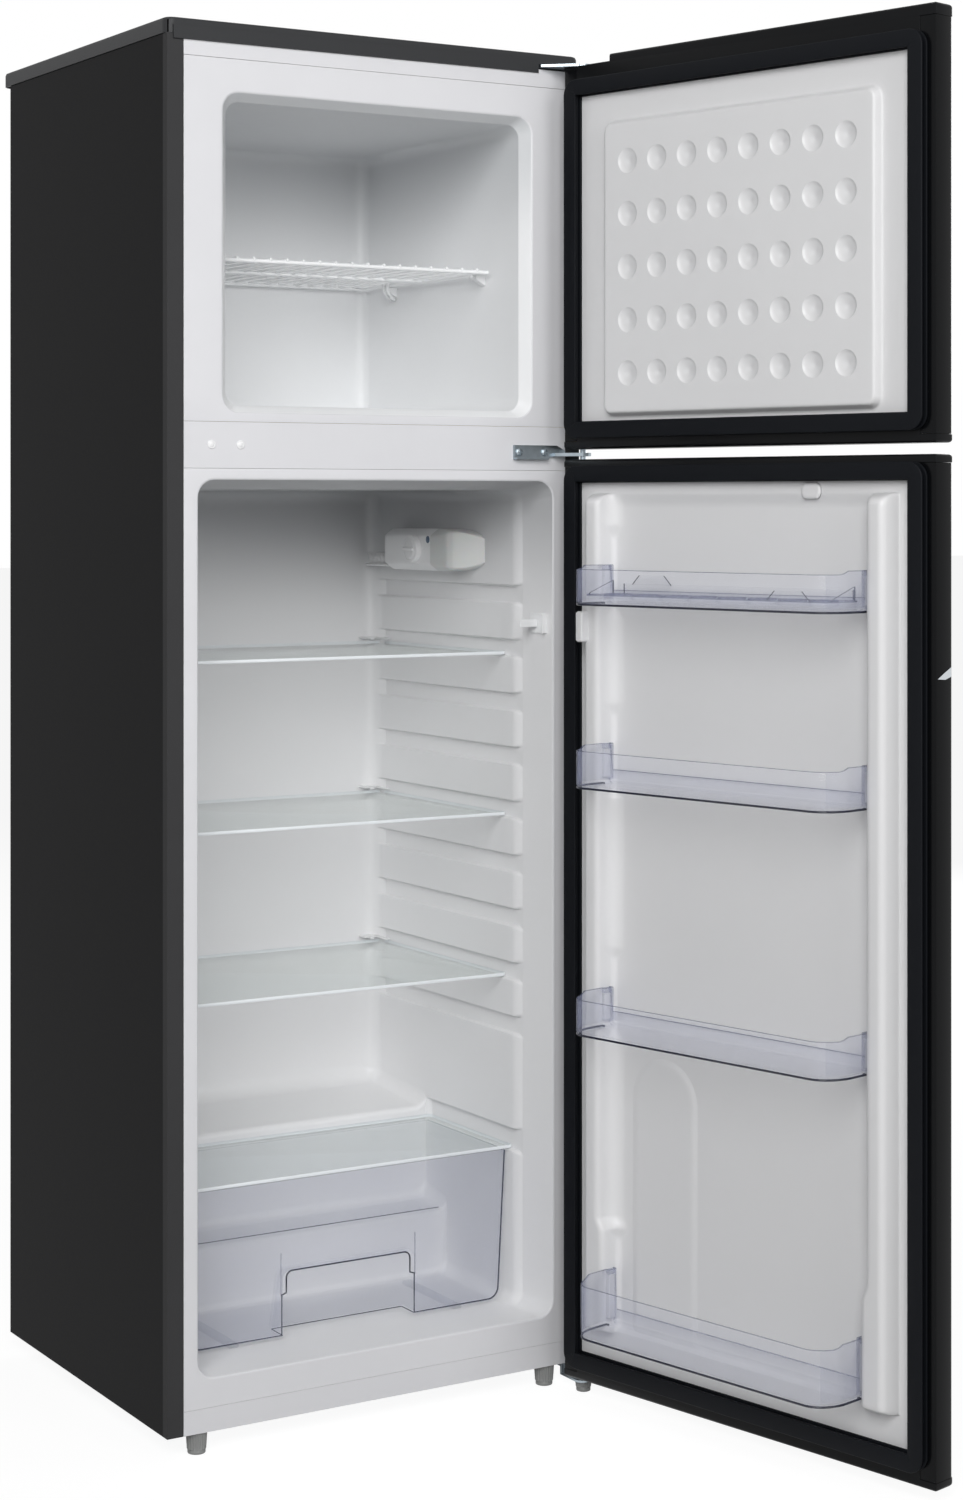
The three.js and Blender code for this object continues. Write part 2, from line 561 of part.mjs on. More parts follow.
/** Flat leaf on the roof with the pin that the freezer door turns on. */
function topHinge() {
  const z0 = CABINET.height + GAP;
  const leaf = new THREE.Shape();
  leaf.moveTo(HINGE_LEAF.left, HINGE_LEAF.back);
  leaf.lineTo(HINGE_LEAF.left, -6);
  leaf.lineTo(HINGE_X - 10, HINGE_Y - 6);
  leaf.absarc(HINGE_X, HINGE_Y, 10, Math.PI + 0.6, 2 * Math.PI, false);
  leaf.lineTo(HINGE_LEAF.right, HINGE_LEAF.back);
  const plate = extrude(leaf, 'z', z0, z0 + HINGE_LEAF.thickness);
  const pin = bar(HINGE.pin, 'z', [HINGE_X, HINGE_Y, 0], z0 - 15, z0 + 1);
  const heads = [-34, -8].map((dx) => bar(5, 'z', [HINGE_X + dx, 22, 0], z0 + 1, z0 + HINGE_LEAF.thickness + 2.5, 12));
  return join(plate, pin, ...heads);
}

/** Bent plate on the middle beam: a vertical leaf, folded out below, and an arm with a pin each way. */
function middleHinge() {
  const m = MIDDLE_HINGE;
  const { bend } = m;
  const leaf = outline([
    [m.left, m.plateBottom], [bend, m.plateBottom], [bend + 8, m.arm], [bend + 26, m.arm],
    [bend + 26, m.armTop + 3], [bend + 14, m.plateTop], [m.left, m.plateTop],
  ]);
  const plate = extrude(leaf, 'y', -m.thickness - GAP, -GAP);
  const fold = box(m.left + 1, bend, -m.thickness - GAP - m.fold, -GAP - 1, m.plateBottom, m.plateBottom + 2);
  const arm = new THREE.Shape();
  arm.moveTo(bend + 8, -GAP);
  arm.lineTo(bend + 8, -m.thickness - 6);
  arm.lineTo(HINGE_X - 9, HINGE_Y - 3);
  arm.absarc(HINGE_X, HINGE_Y, 9.5, Math.PI + 0.3, 2 * Math.PI, false);
  arm.lineTo(HINGE_X + 9.5, -8);
  arm.lineTo(bend + 26, -GAP);
  const blade = extrude(arm, 'z', m.arm, m.armTop);
  const pin = bar(HINGE.pin - 0.5, 'z', [HINGE_X, HINGE_Y, 0], m.arm - m.pinReach, m.armTop + m.pinReach);
  const holes = m.screws.map((x) => bar(2.6, 'y', [x, 0, (m.plateTop + m.plateBottom) / 2], -9, 1));
  return cut(join(plate, fold, blade, pin), ...holes);
}

/** Joggled leaf under the cabinet with the fridge door's pin. */
function bottomHinge() {
  const b = BOTTOM_HINGE;
  const t = b.thickness;
  const low = b.leafTop;
  const section = outline([
    [b.back, -GAP], [-1, -GAP], [-1, low], [HINGE_Y - 10, low], [HINGE_Y - 10, low - t],
    [2, low - t], [2, -GAP - t], [b.back, -GAP - t],
  ]);
  const leaf = extrude(section, 'x', b.left, b.right);
  const corner = extrude(roundRect(b.left, b.right, HINGE_Y - 10, b.back + 20, 8), 'z', -40, 10);
  const pin = bar(HINGE.pin, 'z', [HINGE_X, HINGE_Y, 0], low - t / 2, low + 15);
  const heads = [22, 46].map((y) => bar(4.5, 'z', [HINGE_X - 1, y, 0], -GAP - t - 2.5, -GAP - 1, 12));
  return join(meet(leaf, corner), pin, ...heads);
}

/** Cross-slotted pan-head screw through the middle hinge's leaf, along Y. */
function hingeScrew(x) {
  const z = (MIDDLE_HINGE.plateTop + MIDDLE_HINGE.plateBottom) / 2;
  const face = -MIDDLE_HINGE.thickness - 2 * GAP;
  const body = turned([
    [0, -1], [2, -1], [2, -face], [4.6, -face], [4.6, -face + 1.2], [3.2, -face + 2.6], [0, -face + 3],
  ], 'z', [0, 0, 0], 8);
  const slots = join(box(-3, 3, -0.5, 0.5, -face + 1.6, -face + 4), box(-0.5, 0.5, -3, 3, -face + 1.6, -face + 4));
  return cut(body, slots).rotate([90, 0, 0]).translate([x, 0, z]);
}

/** Push-in plug for an unused hinge screw hole, along Y. */
function holePlug(x) {
  const z = (MIDDLE_HINGE.plateTop + MIDDLE_HINGE.plateBottom) / 2 + 5;
  return turned([[0, -8], [2, -8], [2.4, -3], [2.2, GAP], [5, GAP], [5, 1], [3.6, 2.1], [0, 2.4]], 'z', [0, 0, 0], 10)
    .rotate([90, 0, 0]).translate([x, 0, z]);
}

// ---------------------------------------------------------------------------
// Doors (each about its hinge axis, closed; its free edge towards -X)
// ---------------------------------------------------------------------------

const DOOR_CENTRE = -(HALF - HINGE.inset);      // the door's middle, from its hinge axis
const doorX = (fromMiddle) => DOOR_CENTRE + fromMiddle;

/** Plan of a door's outside, moved in by "inset"; the front is gently bowed. */
function doorPlan(inset) {
  const half = HALF - inset;
  const back = DOOR.plane - inset;
  const edge = DOOR.plane - DOOR.edge + inset;
  const r = DOOR.corner;
  const shape = new THREE.Shape();
  shape.moveTo(doorX(-half), back);
  shape.lineTo(doorX(-half), edge + r);
  shape.quadraticCurveTo(doorX(-half), edge, doorX(-half + r), edge - 1);
  const span = half - r;
  const radius = (span * span + DOOR.bow * DOOR.bow) / (2 * DOOR.bow);
  const start = Math.asin(span / radius);
  shape.absarc(doorX(0), edge - 1 - DOOR.bow + radius, radius, -Math.PI / 2 - start, -Math.PI / 2 + start, false);
  shape.quadraticCurveTo(doorX(half), edge, doorX(half), edge + r);
  shape.lineTo(doorX(half), back);
  return shape;
}

/** Steel skin of a door: bowed front, sides and the flanges that the gasket covers. */
function doorSkin(bottom, top) {
  const outside = extrude(doorPlan(DOOR.skinInset), 'z', bottom, top, 6);
  const inside = extrude(doorPlan(DOOR.skinInset + SHEET), 'z', bottom - 1, top + 1, 6);
  const mouth = HALF - DOOR.flange;
  const window_ = box(doorX(-mouth), doorX(mouth), 0, DOOR.plane + 10, bottom - 1, top + 1);
  return cut(outside, inside, window_);
}

/** Plastic end cap that closes a door's top or bottom, with a lip on its inner side up to the liner. */
function doorCap(z0, z1, up, linerEdge, recess) {
  const body = extrude(doorPlan(0), 'z', z0, z1, 6);
  const round = 5;
  const outer = up > 0 ? z1 : z0;
  const edge = DOOR.plane - DOOR.edge - DOOR.bow - 1;
  const soften = outline([
    [edge - 1, outer - up * (round + 4)], [edge, outer - up * (round + 4)], [edge + 4, outer - up * round / 2],
    [edge + 12, outer], [edge + 12, outer + up], [edge - 1, outer + up],
  ]);
  let cap = cut(body, extrude(soften, 'x', doorX(-HALF) - 1, doorX(HALF) + 1));
  if (recess) {
    cap = cut(cap, box(-60, HINGE.inset + 1, -HALF, DOOR.plane + 1, recess, z1 + 1));
  }
  const bush = bar(HINGE.pin + GAP, 'z', [0, 0, 0], z0 - 1, z1 + 1);
  const mouth = HALF - DOOR.flange - GAP;
  const ends = [linerEdge + up * GAP, up > 0 ? z0 + 1 : z1 - 1];
  const lip = box(doorX(-mouth), doorX(mouth), DOOR.plane - SHEET, DOOR.plane, Math.min(...ends), Math.max(...ends));
  return join(cut(cap, bush), lip);
}

/** Insulation inside a door, cleared round the hinge pins. */
function doorFoam(bottom, top, hollow) {
  const inset = DOOR.skinInset + SHEET + GAP;
  const face = DOOR.plane - SHEET - LINER - 2 * GAP;
  const body = meet(
    extrude(doorPlan(inset), 'z', bottom, top, 6),
    box(doorX(-HALF), doorX(HALF), -HALF, face, bottom - 1, top + 1),
  );
  const pins = [
    bar(HINGE.pin + 2, 'z', [0, 0, 0], bottom - 1, bottom + 14, 12),
    bar(HINGE.pin + 2, 'z', [0, 0, 0], top - 14, top + 1, 12),
  ];
  return cut(body, ...pins, ...hollow);
}

/** Black sealing ring round a door's inner face: a foot, a bellows waist and a sealing lip. */
function gasketRing(bottom, top) {
  const { width, height, foot, lip } = GASKET;
  const inner = HALF - GASKET.inset;
  const ring = (from, to, y0, y1) => {
    const make = (half, grow) => extrude(
      roundRect(doorX(-half), doorX(half), bottom - grow, top + grow, 2 + grow / 2), 'y', y0, y1, 1);
    return cut(make(to, to - inner), make(from, from - inner));
  };
  const base = DOOR.plane + GAP;
  const face = DOOR.plane + height;
  return join(
    ring(inner, inner + width, base, base + foot),
    ring(inner + 4, inner + width - 5, base + foot / 2, face - lip / 2),
    ring(inner + 1, inner + width, face - lip, face),
  );
}

/** Freezer door liner: flat flange and a raised field with dimples. */
function freezerDoorLiner() {
  const half = HALF - DOOR.flange - 1;
  const flange = extrude(roundRect(doorX(-half), doorX(half), UPPER_GASKET.bottom - GASKET.lap,
    UPPER_GASKET.top + GASKET.lap, 4), 'y', DOOR.plane - LINER, DOOR.plane, 2);
  const f = FIELD;
  const field = (grow, y0, y1) => {
    const shape = roundRect(doorX(-f.half - grow), doorX(f.half + grow), f.bottom - grow, f.top + grow, f.corner);
    return extrude(shape, 'y', y0, y1);
  };
  const face = DOOR.plane + f.height;
  const raised = join(
    field(0, DOOR.plane - LINER, face),
    field(f.slope, DOOR.plane - LINER, DOOR.plane + f.height / 2),
  );
  const inside = field(-2 * LINER, DOOR.plane - 2 * LINER, face - LINER - f.dimpleDepth);
  const dimples = [];
  const ball = (f.dimple * f.dimple + f.dimpleDepth * f.dimpleDepth) / (2 * f.dimpleDepth);
  const sweep = Math.asin(f.dimple / ball);
  const rings = 2;
  const profile = [[0, -f.dimpleDepth]];
  for (let i = 1; i <= rings; i += 1) {
    const angle = (sweep * i) / rings;
    profile.push([ball * Math.sin(angle), ball - f.dimpleDepth - ball * Math.cos(angle)]);
  }
  profile.push([f.dimple, 1], [0, 1]);
  const fits = (room, pitch) => 1 + Math.floor((room - 2 * (f.margin + f.dimple)) / pitch);
  const columns = fits(2 * f.half, f.columnPitch);
  const rows = fits(f.top - f.bottom, f.rowPitch);
  const middle = (f.bottom + f.top) / 2;
  for (let c = 0; c < columns; c += 1) {
    for (let r = 0; r < rows; r += 1) {
      const x = doorX((c - (columns - 1) / 2) * f.columnPitch);
      const z = middle + (r - (rows - 1) / 2) * f.rowPitch;
      dimples.push(turned(profile, 'y', [x, face, z], 8));
    }
  }
  return cut(join(flange, raised), inside, ...dimples);
}

/** Fridge door liner: flange, recessed floor, two dikes, bin lugs and the switch tab. */
function fridgeDoorLiner() {
  const p = DOOR.plane;
  const half = HALF - DOOR.flange - 1;
  const d = DIKE;
  const flange = extrude(roundRect(doorX(-half), doorX(half), LOWER_GASKET.bottom - GASKET.lap,
    LOWER_GASKET.top + GASKET.lap, 4), 'y', p - LINER, p, 2);
  const tray = box(doorX(-d.inner - LINER), doorX(d.inner + LINER), p - d.recess - LINER, p, d.bottom - LINER, d.top - 5);
  const trayHollow = box(doorX(-d.inner), doorX(d.inner), p - d.recess, p + d.height + 1, d.bottom, d.top - 5 - LINER);
  const parts = [];
  const hollows = [];
  for (const side of [-1, 1]) {
    const at = (fromMiddle) => doorX(side * fromMiddle);
    const section = outline([
      [at(d.inner), p - LINER], [at(d.inner), p + d.height - 4], [at(d.inner + 3), p + d.height],
      [at(d.outer - 9), p + d.height], [at(d.outer - 3), p + d.height - 5], [at(d.outer + 3), p - LINER],
    ]);
    const ends = outline([
      [p - LINER, d.bottom], [p + d.height - 6, d.bottom], [p + d.height, d.bottom + 6],
      [p + d.height, d.top - 12], [p + d.height - 12, d.top], [p - LINER, d.top],
    ]);
    parts.push(meet(extrude(section, 'z', d.bottom, d.top), extrude(ends, 'x', doorX(-HALF), doorX(HALF))));
    const inside = outline([
      [at(d.inner + LINER), p - 2 * LINER], [at(d.inner + LINER), p + d.height - 2 * LINER],
      [at(d.outer - 9), p + d.height - 2 * LINER], [at(d.outer), p - 2 * LINER],
    ]);
    hollows.push(extrude(inside, 'z', d.bottom + 3 * LINER, d.top - 12));
    const xs = [at(d.wide), at(d.inner + 1)];
    parts.push(box(Math.min(...xs), Math.max(...xs), p - d.recess - LINER / 2, p + d.height - 6, d.bottom, d.wideTop));
  }
  const b = BOTTLE_PANEL;
  const arch = new THREE.Shape();
  arch.moveTo(doorX(b.centre - b.half), b.bottom);
  arch.lineTo(doorX(b.centre + b.half), b.bottom);
  arch.lineTo(doorX(b.centre + b.half), b.top - b.half);
  arch.absarc(doorX(b.centre), b.top - b.half, b.half, 0, Math.PI, false);
  parts.push(extrude(arch, 'y', p - d.recess - LINER / 2, p - d.recess + b.height, 5));
  BIN_HEIGHTS.forEach(([z0, z1], i) => {
    const wall = i === BIN_HEIGHTS.length - 1 ? d.wide : d.inner;
    for (const side of [-1, 1]) {
      const xs = [doorX(side * (wall - LUG.size)), doorX(side * (wall + LINER / 2))];
      parts.push(box(Math.min(...xs), Math.max(...xs), p + LUG.from, p + LUG.to, z0 + LUG.rise, z1 - BIN.wall - GAP));
    }
  });
  parts.push(box(doorX(TAB.inner), doorX(TAB.outer), p - LINER / 2, p + TAB.height,
    SWITCH_Z - TAB.half, SWITCH_Z + TAB.half));
  const bump = extrude(roundRect(doorX(-119), doorX(-91), LOWER_GASKET.top - 20, LOWER_GASKET.top, 8), 'y', p - LINER, p + 3);
  const shell = join(cut(flange, trayHollow), cut(tray, trayHollow));
  return join(cut(shell, ...hollows), ...parts.map((q) => cut(q, ...hollows)), bump);
}

/** Hollows that the fridge door's foam leaves for its liner. */
function fridgeDoorHollows() {
  const skin = LINER + GAP;
  const p = DOOR.plane;
  return [box(doorX(-DIKE.inner - skin), doorX(DIKE.inner + skin), p - DIKE.recess - skin, p + 1,
    DIKE.bottom - skin, DIKE.top)];
}

/** Outline of a door bin, moved in by "inset": straight ends, round corners and a flat front. */
function binPlan(half, backY, inset) {
  const h = half - inset;
  const back = backY + inset;
  const front = DOOR.plane + BIN.front - inset;
  const rx = BIN.cornerWidth - inset;
  const ry = BIN.cornerDepth - inset;
  const shape = new THREE.Shape();
  shape.moveTo(doorX(-h), back);
  shape.lineTo(doorX(h), back);
  shape.lineTo(doorX(h), front - ry);
  shape.absellipse(doorX(h - rx), front - ry, rx, ry, 0, Math.PI / 2, false, 0);
  shape.lineTo(doorX(-h + rx), front);
  shape.absellipse(doorX(-h + rx), front - ry, rx, ry, Math.PI / 2, Math.PI, false, 0);
  return shape;
}

/** Clear door bin with a low back lip and a pocket at each end that drops over a liner lug. */
function doorBin(index) {
  const [z0, z1] = BIN_HEIGHTS[index];
  const wall = index === BIN_HEIGHTS.length - 1 ? DIKE.wide : DIKE.inner;
  const half = wall - BIN.clearance;
  const p = DOOR.plane;
  const backY = p - DIKE.recess + BIN_BACK + (z1 < BOTTLE_PANEL.top ? BOTTLE_PANEL.height : 0);
  const outside = extrude(binPlan(half, backY, 0), 'z', z0, z1 + BIN.endRise, 4);
  const inside = extrude(binPlan(half, backY, BIN.wall), 'z', z0 + BIN.floor, z1 + BIN.endRise + 1, 4);
  const c = LUG.clearance;
  const pocket = (side, grow) => {
    const xs = [doorX(side * (wall - LUG.size - c - grow)), doorX(side * (half + 1))];
    return box(Math.min(...xs), Math.max(...xs), p + LUG.from - c - grow, p + LUG.to + c + grow,
      z0 - 1, z1 - BIN.wall + grow);
  };
  const hollow = cut(inside, pocket(-1, BIN.wall), pocket(1, BIN.wall));
  const lowBack = box(doorX(-half) - 1, doorX(half) + 1, p - DIKE.recess, p + LUG.from - c - 2 * BIN.wall - 1,
    z0 + BIN.backLip, z1 + BIN.endRise + 1);
  const reach = half - BIN.end;
  const lowFront = box(doorX(-reach), doorX(reach), p - DIKE.recess, p + BIN.front + 1, z1, z1 + BIN.endRise + 1);
  return cut(outside, hollow, pocket(-1, 0), pocket(1, 0), lowBack, lowFront);
}

/** Egg tray in the top bin: a plate on legs with a row of seats, side wings and two raised tabs. */
function eggTray() {
  const p = DOOR.plane;
  const z0 = BIN_HEIGHTS[0][0] + BIN.floor + GAP;
  const top = z0 + EGG.legs;
  const wall = EGG.plate;
  const plan = roundRect(doorX(-EGG.half), doorX(EGG.half), p + EGG.from, p + EGG.to, EGG.corner);
  const inner = roundRect(doorX(-EGG.half + wall), doorX(EGG.half - wall), p + EGG.from + wall, p + EGG.to - wall,
    EGG.corner - wall);
  const body = cut(extrude(plan, 'z', z0, top), extrude(inner, 'z', z0 - 1, top - EGG.plate));
  const cups = Math.floor((2 * EGG.half) / EGG.pitch);
  const holes = [];
  for (let i = 0; i < cups; i += 1) {
    const x = doorX((i - (cups - 1) / 2) * EGG.pitch);
    holes.push(bar(EGG.hole, 'z', [x, p + (EGG.from + EGG.to) / 2, 0], z0, top + 1, 8));
  }
  const wings = [-1, 1].map((side) => {
    const x = doorX(side * (EGG.half - wall / 2));
    return extrude(outline([
      [p + EGG.from + EGG.corner, top - 1], [p + EGG.to - EGG.corner, top - 1], [p + EGG.to - EGG.corner, top + 1],
      [p + EGG.from + EGG.corner, top + EGG.wingRise],
    ]), 'x', x - wall / 2, x + wall / 2);
  });
  const tab = (middle, base, y) => extrude(outline([
    [doorX(middle - EGG.tab), base - 1], [doorX(middle + EGG.tab), base - 1],
    [doorX(middle + EGG.tab - EGG.tabSlope), base + EGG.tabRise], [doorX(middle - EGG.tab + EGG.tabSlope), base + EGG.tabRise],
  ]), 'y', y, y + wall);
  const back = p + EGG.from;
  const reach = EGG.half - EGG.corner;
  const rear = box(doorX(-reach), doorX(reach), back, back + wall, top - 1, top + EGG.backRise);
  return join(
    cut(body, ...holes), ...wings, rear,
    tab(EGG.half - EGG.tab - EGG.tabInset, top + EGG.backRise, back),
    tab(EGG.tab + EGG.tabInset - EGG.half, top, p + EGG.to - wall),
  );
}

/** Bright pointed trim let onto the free edge of the fridge door. */
function edgeTrim() {
  const x = doorX(-HALF) + DOOR.skinInset - GAP;
  const t = EDGE_TRIM;
  const back = DOOR.plane - 2;
  const front = DOOR.plane - DOOR.edge + DOOR.corner;
  const leaf = new THREE.Shape();
  leaf.moveTo(back, t.z);
  leaf.quadraticCurveTo(front + 9, t.z - t.sag, front, t.z + 2);
  leaf.lineTo(front, t.z + t.height);
  leaf.quadraticCurveTo(front + 13, t.z + t.height / 2, back, t.z);
  return extrude(leaf, 'x', x - t.thickness, x);
}

// ---------------------------------------------------------------------------
// Shelves and drawer
// ---------------------------------------------------------------------------

const GLASS_HALF = FRIDGE.bandHalf - GLASS.clearance;

/** Toughened glass plate lying in a pair of wall slots. */
function glassPlate(front, back, bottom) {
  return extrude(roundRect(-GLASS_HALF, GLASS_HALF, front, back, GLASS.corner), 'z', bottom + GAP,
    bottom + GAP + GLASS.thickness, 3);
}

/** Clear crisper drawer: tapered, stepped behind for the hump, with a finger grip in front. */
function crisperDrawer() {
  const d = DRAWER;
  const body = (inset) => {
    const top = inset ? d.top + 1 : d.top;
    const lean = (d.halfTop - d.halfBottom) / (d.top - d.bottom);
    const low = d.halfBottom - inset;
    const c = d.corner;
    const front = mirrored([
      [low - c, d.bottom + inset], [low - c * 0.3, d.bottom + inset + c * 0.3],
      [low + lean * c, d.bottom + inset + c], [d.halfTop - inset, top],
    ]);
    const side = outline([
      [d.front + inset, d.bottom + inset], [d.backLow - inset, d.bottom + inset],
      [d.backLow + 2 - inset, d.step + inset], [d.backTop - 6 - inset, d.step + 2 + inset],
      [d.backTop - inset, top], [d.front + inset, top],
    ]);
    return meet(extrude(front, 'y', d.front, d.backTop + 1), extrude(side, 'x', -d.halfTop - 1, d.halfTop + 1));
  };
  const grip = (grow) => {
    const wedge = outline([
      [d.front - 5, d.bottom - 5], [d.front + GRIP.depth + grow, d.bottom - 5],
      [d.front + GRIP.depth + grow, d.bottom + 6], [d.front + GRIP.lip + grow, GRIP.top + grow],
      [d.front - 5, GRIP.top + grow],
    ]);
    const arch = roundRect(-GRIP.half - grow, GRIP.half + grow, d.bottom - 30, GRIP.top + grow, GRIP.corner);
    return meet(extrude(wedge, 'x', -GRIP.half - grow, GRIP.half + grow), extrude(arch, 'y', d.front - 5, d.front + 60));
  };
  const tub = cut(body(0), cut(body(d.wall), grip(d.wall)), grip(0));
  const skids = [-SKID.place, SKID.place].map((x) => box(x - SKID.width / 2, x + SKID.width / 2,
    d.front + 1, d.backLow - 6, FRIDGE.floor + GAP, d.bottom + 0.5));
  return join(tub, ...skids);
}

/** Straight round rod between two points. */
function rod(from, to, radius, sides) {
  return rodAlong(new THREE.LineCurve3(new THREE.Vector3(...from), new THREE.Vector3(...to)), radius, 1, sides);
}

/** Path through a list of points, stepped from point to point. */
class BentPath extends THREE.Curve {
  constructor(points) {
    super();
    this.points = points;
  }

  getPoint(t) {
    const place = Math.min(Math.max(t, 0), 1) * (this.points.length - 1);
    const i = Math.min(Math.floor(place), this.points.length - 2);
    return this.points[i].clone().lerp(this.points[i + 1], place - i);
  }

  getPointAt(u) {
    return this.getPoint(u);
  }

  getTangentAt(u) {
    return this.getTangent(u);
  }
}

/** Welded wire shelf: a thick front rod, a thin rim bent round the sides and back, and a row of wires. */
function wireShelf() {
  const w = WIRE_SHELF;
  const z = WIRE_SHELF_Z;
  const bend = 4;
  const half = [new THREE.Vector3(w.half, w.front, z)];
  for (let i = 0; i <= bend; i += 1) {
    const angle = (Math.PI / 2) * (i / bend);
    half.push(new THREE.Vector3(w.half - w.corner * (1 - Math.cos(angle)), w.back - w.corner * (1 - Math.sin(angle)), z));
  }
  const rim = new BentPath([...half, ...half.map((q) => new THREE.Vector3(-q.x, q.y, z)).reverse()]);
  const middle = (w.front + w.back) / 2;
  const rods = [
    rodAlong(rim, w.rim, rim.points.length - 1),
    rod([-w.half, middle, z], [w.half, middle, z], w.rim, 6),
    rod([-w.half - w.rod, w.front, z], [w.half + w.rod, w.front, z], w.rod, 8),
  ];
  const lift = w.rim + w.wire * 0.4;
  const count = 1 + Math.floor((2 * (w.half - w.margin)) / w.pitch);
  for (let i = 0; i < count; i += 1) {
    const x = (i - (count - 1) / 2) * w.pitch;
    rods.push(rod([x, w.front - w.rod - 1, z + lift], [x, w.back + w.rim + 1, z + lift], w.wire, 5));
  }
  return join(...rods);
}

// ---------------------------------------------------------------------------
// Fittings on the fridge compartment's right-hand wall
// ---------------------------------------------------------------------------

const WALL_X = FRIDGE.ribHalf - GAP;
const UNIT_FACE = WALL_X - UNIT.proud;

/** Outer form of the thermostat unit, moved in by "inset" from all but its wall side. */
function unitHull(inset) {
  const u = UNIT;
  const wall = inset ? WALL_X + 1 : WALL_X;
  const face = UNIT_FACE + inset;
  const points = [];
  const pair = (x, y, half) => {
    points.push(new THREE.Vector3(x, y, UNIT_Z - half + inset), new THREE.Vector3(x, y, UNIT_Z + half - inset));
  };
  const slant = inset * 1.2;
  pair(wall, u.nose + slant, u.noseHalf);
  pair(face, u.noseFace + slant, u.noseHalf + 1);
  pair(wall, u.shoulder, u.half);
  pair(face + u.chamfer, u.shoulder, u.half);
  pair(face, u.shoulder + 8, u.faceHalf);
  pair(face, u.faceEnd - inset, u.faceHalf);
  pair(face + u.chamfer, u.faceEnd + 7 - inset, u.half - 2);
  pair(wall, u.end - inset, u.half - 3);
  return toSolid(new ConvexGeometry(points));
}

/** Thermostat housing behind the lamp, with a finned tongue along the wall behind it. */
function thermostatHousing() {
  const t = TONGUE;
  const ahead = box(0, HALF, 0, UNIT.split, 0, CABINET.height);
  const z = UNIT_Z - t.drop;
  const tongue = box(WALL_X - t.width, WALL_X, t.from, t.to, z, z + t.thickness);
  const fins = [];
  for (let i = 0; i < t.fins; i += 1) {
    const y = t.from + t.pitch * (i + 1);
    fins.push(extrude(outline([
      [y, z + 1], [y + t.thin, z + 1], [y + t.thin + t.lean, z + t.thickness + t.fin], [y + t.lean, z + t.thickness + t.fin],
    ]), 'x', WALL_X - t.width + 3, WALL_X));
  }
  return join(cut(unitHull(0), ahead), tongue, ...fins);
}

/** Hollow lamp cover: the pointed front of the unit. */
function lampCover() {
  const behind = box(0, HALF, UNIT.split - GAP, CABINET.depth, 0, CABINET.height);
  return cut(unitHull(0), unitHull(LAMP.wall), behind);
}

/** Small bulb with its screw base, standing on the housing's front end. */
function lampBulb() {
  const x = WALL_X - UNIT.proud / 2 + 1;
  const r = LAMP.bulb;
  const l = LAMP.length;
  return turned([
    [0, 0], [r * 0.65, 0], [r * 0.65, l * 0.3], [r * 0.55, l * 0.35], [r * 0.8, l * 0.5], [r, l * 0.68], [r * 0.95, l * 0.82],
    [r * 0.6, l * 0.95], [0, l],
  ], 'z', [0, 0, 0], 12).rotate([90, 0, 0]).translate([x, UNIT.split - GAP, UNIT_Z]);
}

/** Temperature knob with a finger ridge; it turns about X. */
function thermostatKnob() {
  const face = UNIT_FACE - GAP;
  const { radius, height, disc, ridge } = KNOB;
  const plate = turned([[0, 0], [radius, 0], [radius, disc - 1.5], [radius - 1.5, disc], [0, disc]], 'z', [0, 0, 0], 18);
  const grip = extrude(roundRect(-radius + 4, radius - 4, -ridge / 2, ridge / 2, ridge / 2 - 0.1), 'z', disc - 1, height, 3);
  return join(plate, grip).rotate([0, -90, 0]).translate([face, KNOB.y, UNIT_Z + KNOB.lift]);
}

/** Half-width of the fridge compartment at a depth in the band behind its mouth. */
function bandHalfAt(y) {
  const share = (y + 1) / (FRIDGE.bandDepth + 1);
  return FRIDGE.mouthHalf + (FRIDGE.bandHalf - FRIDGE.mouthHalf) * share;
}

/** Bezel of the lamp's door switch, with the fin beside its lever. */
function switchBezel() {
  const w = SWITCH;
  const y0 = w.y - w.halfWidth;
  const y1 = w.y + w.halfWidth;
  const wall = (y) => bandHalfAt(y) - GAP;
  const plate = extrude(outline([
    [wall(y0) - w.plate, y0], [wall(y0), y0], [wall(y1), y1], [wall(y1) - w.plate, y1],
  ]), 'z', SWITCH_Z - w.halfHeight, SWITCH_Z + w.halfHeight);
  const fin = box(wall(y0) - w.fin, wall(y0) - 1, y0, y0 + 2, SWITCH_Z - w.halfHeight, SWITCH_Z + w.halfHeight);
  return join(plate, fin);
}

/** Switch lever, pushed back by the tab on the fridge door's liner. */
function switchLever() {
  const y = SWITCH.pivotY;
  const root = bandHalfAt(y + 3) - SWITCH.plate - 3 * GAP;
  const section = outline([
    [root, y - 4], [root, y], [root - 2, y + 3], [root - SWITCH.length + 2, y],
    [root - SWITCH.length, y - 2], [root - SWITCH.length, y - 4],
  ]);
  return extrude(section, 'z', SWITCH_Z - 4.5, SWITCH_Z + 4.5);
}

// ---------------------------------------------------------------------------
// Feet, rollers and the compressor set
// ---------------------------------------------------------------------------

